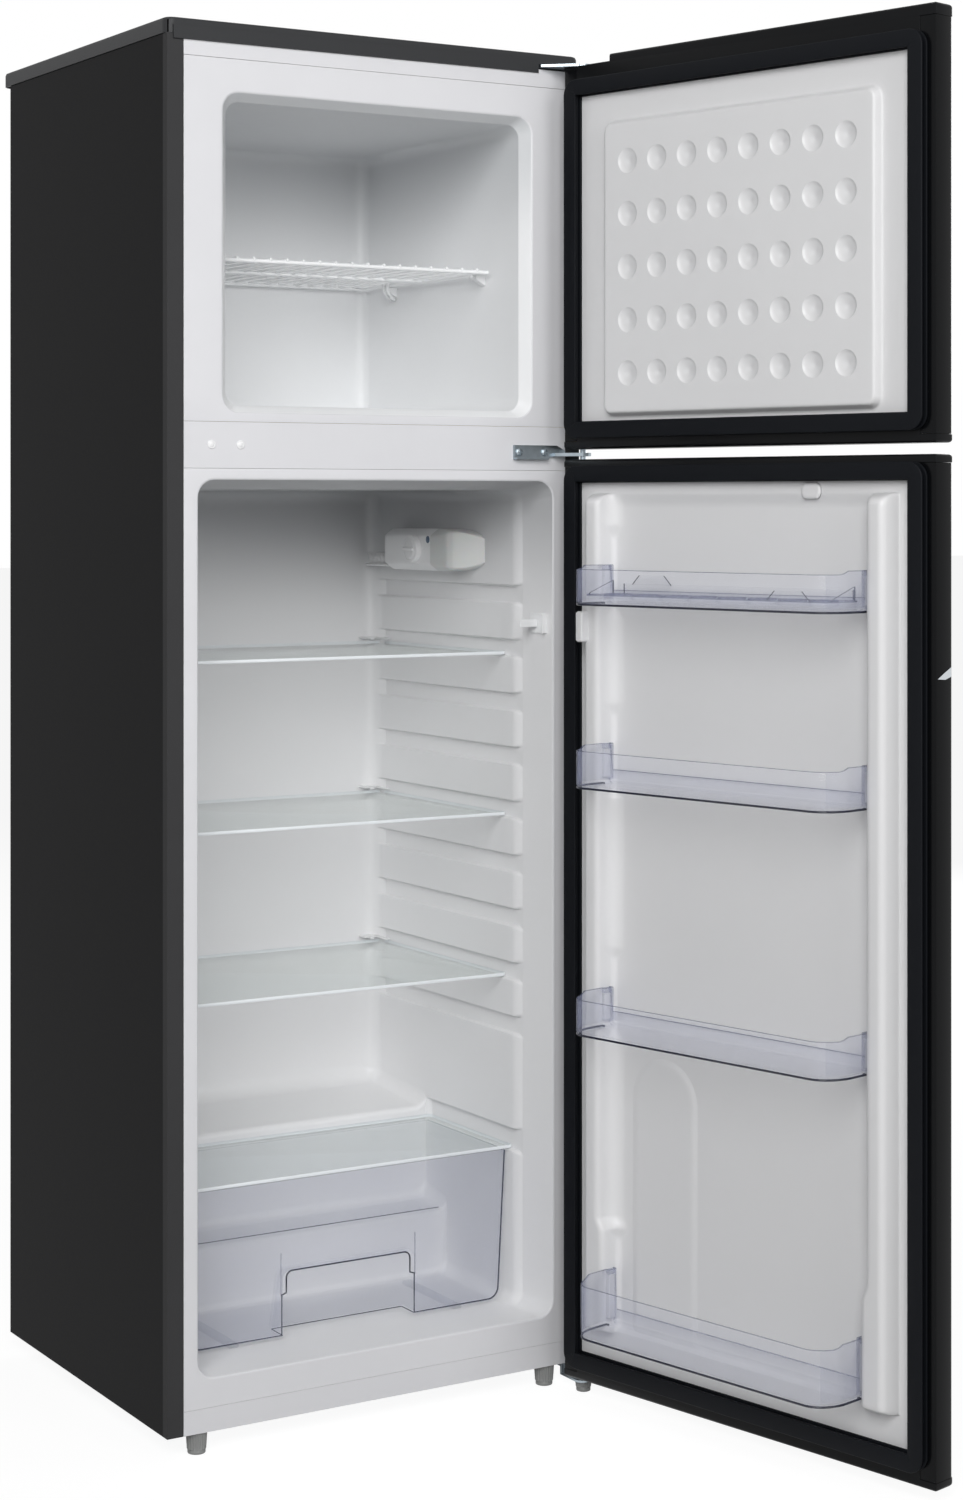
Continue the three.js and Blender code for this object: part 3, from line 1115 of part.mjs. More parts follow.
/** Levelling foot with a toothed grip, a smaller ring below and a stud above. */
function levellingFoot(size, x, y, top, studTop) {
  const teeth = new THREE.Shape();
  const count = FOOT.teeth * 2;
  for (let i = 0; i < count; i += 1) {
    const angle = (2 * Math.PI * i) / count;
    const r = i % 2 ? size.top - FOOT.tooth : size.top;
    const point = [r * Math.cos(angle), r * Math.sin(angle)];
    if (i === 0) teeth.moveTo(...point);
    else teeth.lineTo(...point);
  }
  const grip = extrude(teeth, 'z', FLOOR_Z + FOOT.ringHeight - 1, top);
  const cone = turned([
    [0, FLOOR_Z], [size.ring - 1, FLOOR_Z], [size.ring, FLOOR_Z + 1], [size.ring, FLOOR_Z + FOOT.ringHeight],
    [size.low, FLOOR_Z + FOOT.ringHeight], [size.top + 0.6, top], [0, top],
  ], 'z', [0, 0, 0], 20);
  const body = meet(join(grip, bar(size.ring + 0.2, 'z', [0, 0, 0], FLOOR_Z, FLOOR_Z + FOOT.ringHeight, 20)), cone);
  return join(body, bar(FOOT.stud, 'z', [0, 0, 0], top - 1, studTop, 12)).translate([x, y, 0]);
}

/** Rear cross rail: carries the compressor and, between ears at each end, the rollers. */
function rearRail() {
  const half = INSIDE_HALF - GAP;
  const z0 = SHEET + GAP;
  const r = RAIL;
  const t = r.thickness;
  const back = CABINET.depth - r.fromBack;
  const front = back - r.depth;
  const section = outline([
    [front, z0], [back, z0], [back, z0 + r.height], [back - t, z0 + r.height], [back - t, z0 + t],
    [front + t, z0 + t], [front + t, z0 + r.height], [front, z0 + r.height],
  ]);
  const plate = extrude(section, 'x', -half, half);
  const axleZ = FLOOR_Z + ROLLER.radius;
  const ears = [];
  for (const side of [-1, 1]) {
    for (const offset of [-1, 1]) {
      const x = side * ROLLER_X + offset * (ROLLER.width / 2 + GAP + r.ear / 2);
      ears.push(extrude(outline([
        [ROLLER_Y - r.earReach, z0 + 1], [ROLLER_Y - r.earTip, axleZ - 5],
        [ROLLER_Y + r.earTip, axleZ - 5], [ROLLER_Y + r.earReach, z0 + 1],
      ]), 'x', x - r.ear / 2, x + r.ear / 2));
    }
    const reach = ROLLER.width / 2 + GAP + r.ear;
    ears.push(bar(ROLLER.axle, 'x', [0, ROLLER_Y, axleZ], side * ROLLER_X - reach, side * ROLLER_X + reach, 12));
  }
  const window_ = (side) => box(side * ROLLER_X - ROLLER.width / 2 - GAP, side * ROLLER_X + ROLLER.width / 2 + GAP,
    ROLLER_Y - ROLLER.radius - 2, ROLLER_Y + ROLLER.radius + 2, z0 - 1, z0 + t + 1);
  return join(cut(plate, window_(-1), window_(1)), ...ears);
}

/** Plain roller with rounded rims; it turns on the rail's axle. */
function roller(side) {
  const { radius, width, axle, groove } = ROLLER;
  const w = width / 2;
  const hole = axle + GAP;
  return turned([
    [hole, -w], [radius - groove, -w], [radius, -w + groove], [radius, w - groove], [radius - groove, w], [hole, w],
    [hole, -w],
  ], 'x', [side * ROLLER_X, ROLLER_Y, FLOOR_Z + radius], 14);
}

const RAIL_TOP = SHEET + GAP + RAIL.thickness;
const SEAM_Z = COMPRESSOR.base + COMPRESSOR.seam;
const RELAY_X = COMPRESSOR.x + COMPRESSOR.radius * COMPRESSOR.stretch * 1.05 + 2;
const STUB_X = COMPRESSOR.x + COMPRESSOR.radius * COMPRESSOR.stretch * 0.68;
const STUB_Y = COMPRESSOR_Y - COMPRESSOR.radius * 0.68;
const DISCHARGE_Z = SEAM_Z + DISCHARGE.rise;
const DRIER_Y = CABINET.depth - DRIER.fromBack;
const DRIER_TOP = RAIL_TOP + DRIER.lift + DRIER.length;

/** Hermetic compressor: two welded shells on a foot plate with four grommets. */
function compressorBody() {
  const c = COMPRESSOR;
  const r = c.radius;
  const top = c.base + c.height;
  const geometry = new THREE.LatheGeometry([
    [0, c.base], [r * 0.6, c.base], [r * 0.86, c.base + 12], [r * 0.97, c.base + 34], [r, SEAM_Z - 3], [r * 1.05, SEAM_Z - 3],
    [r * 1.05, SEAM_Z + 3], [r, SEAM_Z + 3], [r * 0.95, SEAM_Z + 36], [r * 0.8, top - 16], [r * 0.5, top - 3], [0, top],
  ].map(([a, h]) => new THREE.Vector2(a, h)), 14);
  geometry.rotateX(Math.PI / 2);
  geometry.scale(c.stretch, 1, 1);
  geometry.translate(c.x, COMPRESSOR_Y, 0);
  const long = r * c.stretch;
  const plate = extrude(roundRect(c.x - long, c.x + long, COMPRESSOR_Y - r * 0.8, COMPRESSOR_Y + r * 0.8, 12), 'z',
    RAIL_TOP + 9, c.base + 2, 3);
  const grommets = [];
  for (const dx of [-1, 1]) {
    for (const dy of [-1, 1]) {
      grommets.push(bar(9, 'z', [c.x + dx * (long - 14), COMPRESSOR_Y + dy * (r * 0.8 - 12), 0], RAIL_TOP + GAP,
        RAIL_TOP + 12, 10));
    }
  }
  const terminals = box(c.x, RELAY_X - GAP, COMPRESSOR_Y - 18, COMPRESSOR_Y + 18, c.base + 44, c.base + 84);
  const stub = bar(DISCHARGE.stub, 'z', [STUB_X, STUB_Y, 0], SEAM_Z, DISCHARGE_Z - GAP);
  return join(toSolid(geometry), plate, terminals, stub, ...grommets);
}

/** Relay and overload box clipped to the compressor's side. */
function relayBox() {
  const c = COMPRESSOR;
  const x = RELAY_X;
  const body = extrude(roundRect(x, x + 34, COMPRESSOR_Y - 26, COMPRESSOR_Y + 26, 5), 'z', c.base + 30, c.base + 98, 3);
  return cut(body, box(x + 30, x + 40, COMPRESSOR_Y - 18, COMPRESSOR_Y + 18, c.base + 40, c.base + 48));
}

/** Open tray on the compressor that takes the defrost water. */
function drainTray() {
  const { x, base, height } = COMPRESSOR;
  const t = TRAY;
  const z0 = base + height + GAP;
  const plan = (inset) => roundRect(x - t.half + inset, x + t.half - inset, COMPRESSOR_Y - t.halfDepth + inset,
    COMPRESSOR_Y + t.halfDepth - inset, t.corner - inset);
  return cut(extrude(plan(0), 'z', z0, z0 + t.height, 3), extrude(plan(t.wall), 'z', z0 + t.wall, z0 + t.height + 1, 3));
}

/** Copper filter drier standing in the bay. */
function filterDrier() {
  const d = DRIER;
  const z0 = DRIER_TOP - d.length;
  const z1 = DRIER_TOP;
  return turned([
    [0, z0], [d.neck, z0], [d.neck, z0 + d.taper], [d.radius, z0 + 2 * d.taper], [d.radius, z1 - 2 * d.taper],
    [d.neck, z1 - d.taper], [d.neck, z1], [0, z1],
  ], 'z', [d.x, DRIER_Y, 0], 16);
}

/** Discharge line from the compressor up and over to the drier. */
function dischargeLine() {
  const top = DRIER_TOP + GAP;
  const high = top + DISCHARGE.arch;
  const curve = new THREE.CatmullRomCurve3([
    new THREE.Vector3(STUB_X, STUB_Y, DISCHARGE_Z), new THREE.Vector3(STUB_X, STUB_Y, DISCHARGE_Z + 12),
    new THREE.Vector3(STUB_X + (DRIER.x - STUB_X) / 2, STUB_Y - 6, high),
    new THREE.Vector3(DRIER.x - 10, DRIER_Y - 20, high),
    new THREE.Vector3(DRIER.x, DRIER_Y, top + 18), new THREE.Vector3(DRIER.x, DRIER_Y, top),
  ]);
  return rodAlong(curve, DISCHARGE.radius, 22);
}

// ---------------------------------------------------------------------------
// Assembly
// ---------------------------------------------------------------------------

piece('cabinet_shell', cabinetShell(), CABINET_STEEL);
piece('top_cover', topCover(), LID_PLASTIC);
piece('back_panel', backPanel(), GALVANISED);
piece('base_pan', basePan(), GALVANISED);
piece('cabinet_foam', cabinetFoam(), FOAM);
piece('fridge_liner', fridgeLiner(), WHITE_PLASTIC);
piece('freezer_liner', freezerLiner(), WHITE_PLASTIC);

const footHole = (side) => bar(FOOT.stud + 0.6, 'z', [side * FOOT_X, FOOT.y, 0], -1, 3);
piece('bottom_front_beam', cut(frontBeam(0, BOTTOM_BEAM_TOP), footHole(-1), footHole(1)), WHITE_PLASTIC);
const screwHole = (x) => bar(2.3, 'y', [x, 0, (MIDDLE_HINGE.plateTop + MIDDLE_HINGE.plateBottom) / 2], -1, 3, 12);
const plugHole = (x) => bar(2.8, 'y', [x, 0, (MIDDLE_HINGE.plateTop + MIDDLE_HINGE.plateBottom) / 2 + 5], -1, 3, 12);
const plugPlaces = MIDDLE_HINGE.screws.map((x) => -x + 2);
piece('middle_front_beam', cut(frontBeam(MIDDLE_BEAM_BOTTOM, MIDDLE_BEAM_TOP),
  ...MIDDLE_HINGE.screws.map(screwHole), ...plugPlaces.map(plugHole)), WHITE_PLASTIC);
piece('top_front_beam', frontBeam(TOP_BEAM_BOTTOM, CABINET.height - SHEET - GAP), WHITE_PLASTIC);

piece('top_hinge', topHinge(), ZINC);
piece('middle_hinge', middleHinge(), ZINC);
piece('bottom_hinge', bottomHinge(), ZINC);
MIDDLE_HINGE.screws.forEach((x, i) => piece(`hinge_screw_${i + 1}`, hingeScrew(x), ZINC));
plugPlaces.forEach((x, i) => piece(`hole_plug_${i + 1}`, holePlug(x), WHITE_PLASTIC));

piece('thermostat_housing', thermostatHousing(), WHITE_PLASTIC);
piece('thermostat_knob', thermostatKnob(), WHITE_PLASTIC);
piece('lamp_cover', lampCover(), LAMP_GLASS);
piece('lamp_bulb', lampBulb(), LAMP_GLASS);
piece('switch_bezel', switchBezel(), WHITE_PLASTIC);
piece('switch_lever', switchLever(), WHITE_PLASTIC);

piece('freezer_wire_shelf', wireShelf(), WHITE_WIRE);
SHELF_SLOTS.forEach((slot, i) => {
  piece(`glass_shelf_${i + 1}`, glassPlate(GLASS.front, GLASS.back, shelfZ(slot)), SHELF_GLASS);
});
piece('crisper_cover', glassPlate(COVER.front, COVER.back, COVER_SLOT.bottom), SHELF_GLASS);
piece('crisper_drawer', crisperDrawer(), CLEAR_PLASTIC);

piece('front_foot_left', levellingFoot(FOOT, -FOOT_X, FOOT.y, -GAP, FOOT.studLength), GREY_PLASTIC);
piece('front_foot_right', levellingFoot(FOOT, FOOT_X, FOOT.y, -GAP, FOOT.studLength), GREY_PLASTIC);
const hingeFootTop = BOTTOM_HINGE.leafTop - BOTTOM_HINGE.thickness - GAP;
piece('hinge_foot', levellingFoot(HINGE_FOOT, HINGE_X, HINGE_Y, hingeFootTop, hingeFootTop), GREY_PLASTIC);

piece('rear_rail', rearRail(), GALVANISED);
piece('rear_roller_left', roller(-1), BLACK_PLASTIC);
piece('rear_roller_right', roller(1), BLACK_PLASTIC);
piece('compressor', compressorBody(), BLACK_STEEL);
piece('relay_box', relayBox(), BLACK_PLASTIC);
piece('drain_tray', drainTray(), GREY_PLASTIC);
piece('filter_drier', filterDrier(), COPPER);
piece('discharge_line', dischargeLine(), COPPER);

/** Group of a door, on its hinge axis and turned to the resting opening. */
function doorGroup() {
  const group = new THREE.Group();
  group.position.set(HINGE_X, HINGE_Y, 0);
  group.rotation.z = OPEN_ANGLE;
  model.add(group);
  return group;
}

const freezerDoor = doorGroup();
{
  const { bottom, top, topCap } = UPPER_DOOR;
  const skinBottom = bottom + DOOR.capHeight + GAP;
  const skinTop = top - topCap - GAP;
  const recess = CABINET.height - 1;
  piece('freezer_door_skin', doorSkin(skinBottom, skinTop), DOOR_STEEL, freezerDoor);
  piece('freezer_door_top_cap', doorCap(top - topCap, top, 1, UPPER_GASKET.top + GASKET.lap, recess), BLACK_PLASTIC, freezerDoor);
  piece('freezer_door_bottom_cap',
    doorCap(bottom, bottom + DOOR.capHeight, -1, UPPER_GASKET.bottom - GASKET.lap, null), BLACK_PLASTIC, freezerDoor);
  piece('freezer_door_foam', doorFoam(skinBottom, skinTop, []), FOAM, freezerDoor);
  piece('freezer_door_liner', freezerDoorLiner(), WHITE_PLASTIC, freezerDoor);
  piece('freezer_door_gasket', gasketRing(UPPER_GASKET.bottom, UPPER_GASKET.top), GASKET_RUBBER, freezerDoor);
}

const fridgeDoor = doorGroup();
{
  const { bottom, top, topCap } = LOWER_DOOR;
  const skinBottom = bottom + DOOR.capHeight + GAP;
  const skinTop = top - topCap - GAP;
  piece('fridge_door_skin', doorSkin(skinBottom, skinTop), DOOR_STEEL, fridgeDoor);
  piece('fridge_door_top_cap',
    doorCap(top - topCap, top, 1, LOWER_GASKET.top + GASKET.lap, null), BLACK_PLASTIC, fridgeDoor);
  piece('fridge_door_bottom_cap',
    doorCap(bottom, bottom + DOOR.capHeight, -1, LOWER_GASKET.bottom - GASKET.lap, null), BLACK_PLASTIC, fridgeDoor);
  piece('fridge_door_foam', doorFoam(skinBottom, skinTop, fridgeDoorHollows()), FOAM, fridgeDoor);
  piece('fridge_door_liner', fridgeDoorLiner(), WHITE_PLASTIC, fridgeDoor);
  piece('fridge_door_gasket', gasketRing(LOWER_GASKET.bottom, LOWER_GASKET.top), GASKET_RUBBER, fridgeDoor);
  piece('fridge_door_edge_trim', edgeTrim(), ZINC, fridgeDoor);
  BIN_HEIGHTS.forEach((_, i) => piece(`door_bin_${i + 1}`, doorBin(i), CLEAR_PLASTIC, fridgeDoor));
  piece('egg_tray', eggTray(), CLEAR_PLASTIC, fridgeDoor);
}

// Origin: middle of the open refrigerator's footprint, on the floor.
model.updateMatrixWorld(true);
const bounds = new THREE.Box3().setFromObject(model, true);
model.position.set(
  -(bounds.min.x + bounds.max.x) / 2, -(bounds.min.y + bounds.max.y) / 2, -bounds.min.z);
model.updateMatrixWorld(true);

export default model;
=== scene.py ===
"""Looks of a free-standing top freezer refrigerator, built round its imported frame.

The frame gives every piece its place. Cabinet drawings have X from the cabinet's
middle, Y back from its front face and Z up from its underside, in millimetres. A
door is drawn closed: X from its middle, Y into the compartment from the inner
face of its steel, and Z as in the cabinet.
"""

import json
import logging
import math
from dataclasses import dataclass, field
from enum import Enum
from typing import Iterable, Sequence

import bmesh
import bpy
from bmesh.types import BMesh
from bpy.types import Material, Node, NodeSocket, NodeTree, Object
from mathutils import Matrix, Vector
from mathutils.geometry import delaunay_2d_cdt


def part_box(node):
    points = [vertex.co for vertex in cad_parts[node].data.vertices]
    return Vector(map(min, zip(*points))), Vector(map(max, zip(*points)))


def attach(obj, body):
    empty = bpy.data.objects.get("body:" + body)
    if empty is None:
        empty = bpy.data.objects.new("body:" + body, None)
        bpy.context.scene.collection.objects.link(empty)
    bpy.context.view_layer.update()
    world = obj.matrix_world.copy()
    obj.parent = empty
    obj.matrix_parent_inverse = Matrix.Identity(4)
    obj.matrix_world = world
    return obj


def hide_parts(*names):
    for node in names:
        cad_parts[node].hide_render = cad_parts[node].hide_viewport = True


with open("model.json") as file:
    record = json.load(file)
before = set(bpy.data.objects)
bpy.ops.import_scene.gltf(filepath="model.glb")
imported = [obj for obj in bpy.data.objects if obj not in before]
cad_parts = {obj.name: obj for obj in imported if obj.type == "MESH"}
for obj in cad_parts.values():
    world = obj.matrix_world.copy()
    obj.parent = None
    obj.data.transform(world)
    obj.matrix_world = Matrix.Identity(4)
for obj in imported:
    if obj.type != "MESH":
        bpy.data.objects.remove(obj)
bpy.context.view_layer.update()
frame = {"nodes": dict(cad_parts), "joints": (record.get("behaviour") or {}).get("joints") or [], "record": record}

LOG = logging.getLogger("refrigerator")
MM = 0.001
IOR = 1.5                  # of plastics, paints and glass
GLOSS_WAVER = 0.06         # share by which a gloss wanders
SLANT_ONSET = 0.22         # slant from which a clear sheet grows denser
WAVE_MM = 30.0             # size and height of a clear sheet's slight waves
WAVE_DEPTH_MM = 0.02
SHEET_MM = 0.96            # wall of the formed liners
BEVEL_STEPS = 2            # faces across a broken edge
NODES = frame["nodes"]
BODY_OF = {n: body for body, members in frame["record"]["behaviour"]["bodies"].items() for n in members}

Point = tuple[float, float, float]
Flat = tuple[float, float]


# --- Colours, node trees and finishes ---


def linear(hex_colour: str) -> tuple[float, float, float, float]:
    """Turns an sRGB hex colour into linear RGBA.

    Args:
        hex_colour: Six hex digits, such as "e6e7e8".

    Returns:
        Linear red, green and blue, and an alpha of 1.
    """
    channels = [int(hex_colour[i:i + 2], 16) / 255 for i in (0, 2, 4)]
    red, green, blue = (c / 12.92 if c <= 0.04045 else ((c + 0.055) / 1.055) ** 2.4 for c in channels)
    return red, green, blue, 1.0


def add_node(tree: NodeTree, kind: str, settings: dict | None = None,
             inputs: dict | None = None) -> Node:
    """Adds a node with its settings and links.

    Args:
        tree: The tree that takes the node.
        kind: The node's type name.
        settings: Attributes to set on it.
        inputs: Values or other nodes' output sockets, by input name or index.

    Returns:
        The new node.
    """
    node = tree.nodes.new(kind)
    for name, value in (settings or {}).items():
        setattr(node, name, value)
    for key, value in (inputs or {}).items():
        if isinstance(value, NodeSocket):
            tree.links.new(value, node.inputs[key])
        else:
            node.inputs[key].default_value = value
    return node


def new_material(name: str) -> tuple[Material, NodeTree]:
    """Makes a material with an empty node tree.

    Args:
        name: What the material is.

    Returns:
        The material and its tree.
    """
    material = bpy.data.materials.new(name)
    material.use_nodes = True
    material.node_tree.nodes.clear()
    return material, material.node_tree


@dataclass(frozen=True)
class Finish:
    """An opaque surface: a colour, a gloss and a fine grain.

    Attributes:
        grain_mm: Size of the surface grain.
        grain_depth_mm: Height of the grain.
        specular: Strength of the mirror-like share; 0.5 is what the IOR gives.
        cloud: Share by which the colour wanders.
        cloud_mm: Size of the wandering.
        band: Axis of the cabinet's drawing, the places in millimetres where another tint starts
        and is full, and that tint in sRGB hex; the second tint is painted light or shade.
    """

    name: str
    colour: str
    roughness: float
    grain_mm: float
    grain_depth_mm: float
    metallic: float = 0.0
    specular: float = 0.5
    cloud: float = 0.03
    cloud_mm: float = 120.0
    subsurface: float = 0.0
    band: tuple[str, float, float, str] | None = None

    def tint(self, tree: NodeTree, place: Node) -> object:
        """Gives the base tint: one colour, or two that run into each other along the band, the second being painted
        light or shade.

        Args:
            tree: The tree that takes the nodes.
            place: Its texture coordinates.

        Returns:
            The colour, or the socket that gives it.
        """
        if self.band is None:
            return linear(self.colour)
        axis, start, full, other = self.band
        offset = cabinet_drawing().translation["XYZ".index(axis)]
        parts = add_node(tree, "ShaderNodeSeparateXYZ", inputs={"Vector": place.outputs["Object"]})
        share = add_node(tree, "ShaderNodeMapRange", {"interpolation_type": "SMOOTHSTEP"}, {
            "Value": parts.outputs[axis], "From Min": start * MM + offset, "From Max": full * MM + offset})
        mixed = add_node(tree, "ShaderNodeMix", {"data_type": "RGBA"}, {
            "Factor": share.outputs["Result"], "A": linear(self.colour), "B": linear(other)})
        return mixed.outputs["Result"]

    def build(self) -> Material:
        """Builds the material.

        Returns:
            The node-based material.
        """
        material, tree = new_material(self.name)
        place = add_node(tree, "ShaderNodeTexCoord")
        grain = add_node(tree, "ShaderNodeTexNoise", inputs={
            "Vector": place.outputs["Object"], "Scale": 1.0 / (self.grain_mm * MM), "Detail": 2.0})
        cloud = add_node(tree, "ShaderNodeTexNoise", inputs={
            "Vector": place.outputs["Object"], "Scale": 1.0 / (self.cloud_mm * MM), "Detail": 3.0})
        shade = add_node(tree, "ShaderNodeMapRange", inputs={
            "Value": cloud.outputs["Fac"], "From Min": 0.3, "From Max": 0.7,
            "To Min": 1.0 - self.cloud, "To Max": 1.0})
        colour = add_node(tree, "ShaderNodeMix", {"data_type": "RGBA", "blend_type": "MULTIPLY"}, {
            "Factor": 1.0, "A": self.tint(tree, place), "B": shade.outputs["Result"]})
        gloss = add_node(tree, "ShaderNodeMapRange", inputs={
            "Value": grain.outputs["Fac"], "From Min": 0.3, "From Max": 0.7,
            "To Min": self.roughness * (1.0 - GLOSS_WAVER), "To Max": self.roughness * (1.0 + GLOSS_WAVER)})
        bump = add_node(tree, "ShaderNodeBump", inputs={
            "Height": grain.outputs["Fac"], "Strength": 1.0, "Distance": self.grain_depth_mm * MM})
        shader = add_node(tree, "ShaderNodeBsdfPrincipled", inputs={
            "Base Color": colour.outputs["Result"], "Roughness": gloss.outputs["Result"],
            "Metallic": self.metallic, "IOR": IOR, "Specular IOR Level": self.specular,
            "Subsurface Weight": self.subsurface, "Subsurface Scale": 2 * MM, "Normal": bump.outputs["Normal"]})
        add_node(tree, "ShaderNodeOutputMaterial", inputs={"Surface": shader.outputs["BSDF"]})
        return material


@dataclass(frozen=True)
class ClearFinish:
    """A clear sheet or moulding: see-through face on, denser at a slant.

    Attributes:
        slant: sRGB hex of its tint at a slant, where one looks through more of it.
        facing: How opaque it is when looked at square on.
        grazing: How opaque it is at a slant.
    """

    name: str
    colour: str
    slant: str
    facing: float
    grazing: float
    roughness: float = 0.06

    def build(self) -> Material:
        """Builds the material.

        Returns:
            The node-based material.
        """
        material, tree = new_material(self.name)
        place = add_node(tree, "ShaderNodeTexCoord")
        waves = add_node(tree, "ShaderNodeTexNoise", inputs={
            "Vector": place.outputs["Object"], "Scale": 1.0 / (WAVE_MM * MM), "Detail": 1.0})
        bump = add_node(tree, "ShaderNodeBump", inputs={
            "Height": waves.outputs["Fac"], "Strength": 1.0, "Distance": WAVE_DEPTH_MM * MM})
        slant = add_node(tree, "ShaderNodeLayerWeight", inputs={"Blend": 0.35})
        steep = add_node(tree, "ShaderNodeMapRange", inputs={
            "Value": slant.outputs["Facing"], "From Min": SLANT_ONSET, "From Max": 1.0})
        density = add_node(tree, "ShaderNodeMapRange", inputs={
            "Value": steep.outputs["Result"], "To Min": self.facing, "To Max": self.grazing})
        tint = add_node(tree, "ShaderNodeMix", {"data_type": "RGBA"}, {
            "Factor": steep.outputs["Result"], "A": linear(self.colour), "B": linear(self.slant)})
        shader = add_node(tree, "ShaderNodeBsdfPrincipled", inputs={
            "Base Color": tint.outputs["Result"], "Roughness": self.roughness, "IOR": IOR,
            "Alpha": density.outputs["Result"], "Normal": bump.outputs["Normal"]})
        add_node(tree, "ShaderNodeOutputMaterial", inputs={"Surface": shader.outputs["BSDF"]})
        return material


FORMED = {"cloud": 0.015, "cloud_mm": 200.0}       # how evenly a sheet drawn over a mould is coloured


class Finishes(Enum):
    """Every finish of the refrigerator, by what it is."""

    # Textured enamel baked on folded sheet: dark grey with a soft, broad sheen; paler on the front fold, a painted
    # highlight where the rolled edge catches light.
    CABINET_ENAMEL = Finish("baked_enamel_dark_grey", "1b1b1c", 0.5, 1.2, 0.02, specular=0.03,
                            band=("Y", 13.0, 9.0, "424243"))
    # Grained ABS of the lid: matt.
    LID = Finish("moulded_abs_dark_grey", "2d2e30", 0.5, 1.6, 0.05, specular=0.25)
    # Pre-coated door sheet: deep black under a clear gloss.
    DOOR_GLOSS = Finish("precoated_steel_gloss_black", "0a0b0d", 0.22, 40.0, 0.02, specular=0.12)
    # Polished black ABS of the doors' end caps.
    CAP = Finish("moulded_abs_black", "0d0e10", 0.3, 1.2, 0.01, specular=0.12)
    # High-impact polystyrene drawn over a mould: clean white, slightly glossy, gently uneven; greyer towards the
    # ceiling, painted shade where less light reaches.
    FORMED_WHITE = Finish("vacuum_formed_polystyrene_white", "f3f3f4", 0.4, 14.0, 0.04, **FORMED,
                          band=("Z", 890.0, 1066.0, "bcbdbf"))
    # The same sheet in the freezer, cooler in tone; greyer towards the ceiling, painted shade where less light
    # reaches.
    FREEZER_WHITE = Finish("vacuum_formed_polystyrene_cool", "f6f7f8", 0.4, 14.0, 0.04, **FORMED,
                           band=("Z", 1330.0, 1470.0, "dadcde"))
    # The same sheet on the doors, a little greyer: painted shade that tones down the light falling on their faces.
    DOOR_SHADED_WHITE = Finish("vacuum_formed_polystyrene_door_painted_shade", "e8e8e9", 0.4, 14.0, 0.04, **FORMED)
    # Its flat rim round the compartments' mouths: duller, and greyer as painted shade that tones down the light it
    # faces.
    RIM_SHADED_WHITE = Finish("vacuum_formed_polystyrene_rim_painted_shade", "e6e6e9", 0.45, 14.0, 0.03)
    # Injection-moulded polystyrene of the beams: even, its own tone made a little greyer as painted shade against the
    # light on the front.
    BEAM_WHITE = Finish("moulded_polystyrene_beam", "e4e4e7", 0.42, 1.5, 0.01)
    # The same plastic of the small fittings: whiter.
    MOULDED_WHITE = Finish("moulded_polystyrene_white", "f6f6f7", 0.38, 1.5, 0.01)
    # Powder coat over welded wire: bright, with a fine orange peel.
    WIRE = Finish("powder_coated_wire_white", "fbfcfd", 0.35, 1.0, 0.02)
    # Soft PVC pushed through a die: nearly black, satin.
    GASKET = Finish("extruded_soft_pvc_black", "101216", 0.5, 2.0, 0.02, specular=0.1)
    # Zinc plating with its thin blue passivation.
    ZINC = Finish("zinc_plated_steel", "aab4bb", 0.3, 2.5, 0.01, metallic=1.0, cloud=0.15, cloud_mm=9.0)
    # Bright chrome over a pressed leaf.
    CHROME = Finish("chromed_trim", "d5dade", 0.12, 8.0, 0.003, metallic=1.0)
    # Hot-dip galvanised sheet, with its faint crystals.
    GALVANISED = Finish("galvanised_sheet", "9aa0a4", 0.45, 6.0, 0.01, metallic=0.9, cloud=0.18, cloud_mm=14.0)
    # Pale grey nylon of the levelling feet.
    FOOT = Finish("moulded_nylon_grey", "8d8e8d", 0.5, 1.0, 0.02)
    # Stove-black paint on the compressor: thick, slightly drawn.
    BLACK_PAINT = Finish("black_machine_paint", "17181a", 0.38, 2.0, 0.03)
    # Drawn copper, browned in places by brazing.
    COPPER = Finish("drawn_copper_tube", "b8724a", 0.3, 3.0, 0.01, metallic=1.0, cloud=0.2, cloud_mm=12.0)
    # Poured polyurethane foam: matt and pitted.
    FOAM = Finish("rigid_polyurethane_foam", "d9cc96", 0.9, 3.0, 0.4)
    # Moulded rubber of the rollers.
    RUBBER = Finish("moulded_rubber_black", "1a1a1b", 0.7, 1.0, 0.03)
    # Thin milky polystyrene over the lamp: light soaks a little way in.
    LAMP_COVER = Finish("milky_polystyrene", "dcdddc", 0.32, 2.0, 0.01, subsurface=0.2)
    # Pad-printed blue spot beside the knob.
    BLUE_SPOT = Finish("pad_printed_blue", "5d7088", 0.4, 0.6, 0.01)
    # Clear general-purpose polystyrene with a slight blue cast.
    CLEAR = ClearFinish("clear_polystyrene_bluish", "d4d7ec", "a9b0d2", 0.05, 0.17)
    # The same plastic at the bins' ends, where several walls lie behind each other.
    CLEAR_SIDE = ClearFinish("clear_polystyrene_ends", "b9bed8", "5a648e", 0.12, 0.6)
    # The same plastic where its outer face catches the light: a lavender veil.
    CLEAR_VEIL = ClearFinish("clear_polystyrene_veil", "d2d7f2", "b4bcdc", 0.1, 0.34)
    # The same plastic where light passes on all sides: hardly there.
    CLEAR_FAINT = ClearFinish("clear_polystyrene_faint", "dfe3f4", "bcc3e0", 0.03, 0.14)
    # The same plastic blown thinner, for the drawer: greyer.
    CLEAR_THIN = ClearFinish("clear_polystyrene_thin", "a3a9c2", "8087aa", 0.05, 0.17)
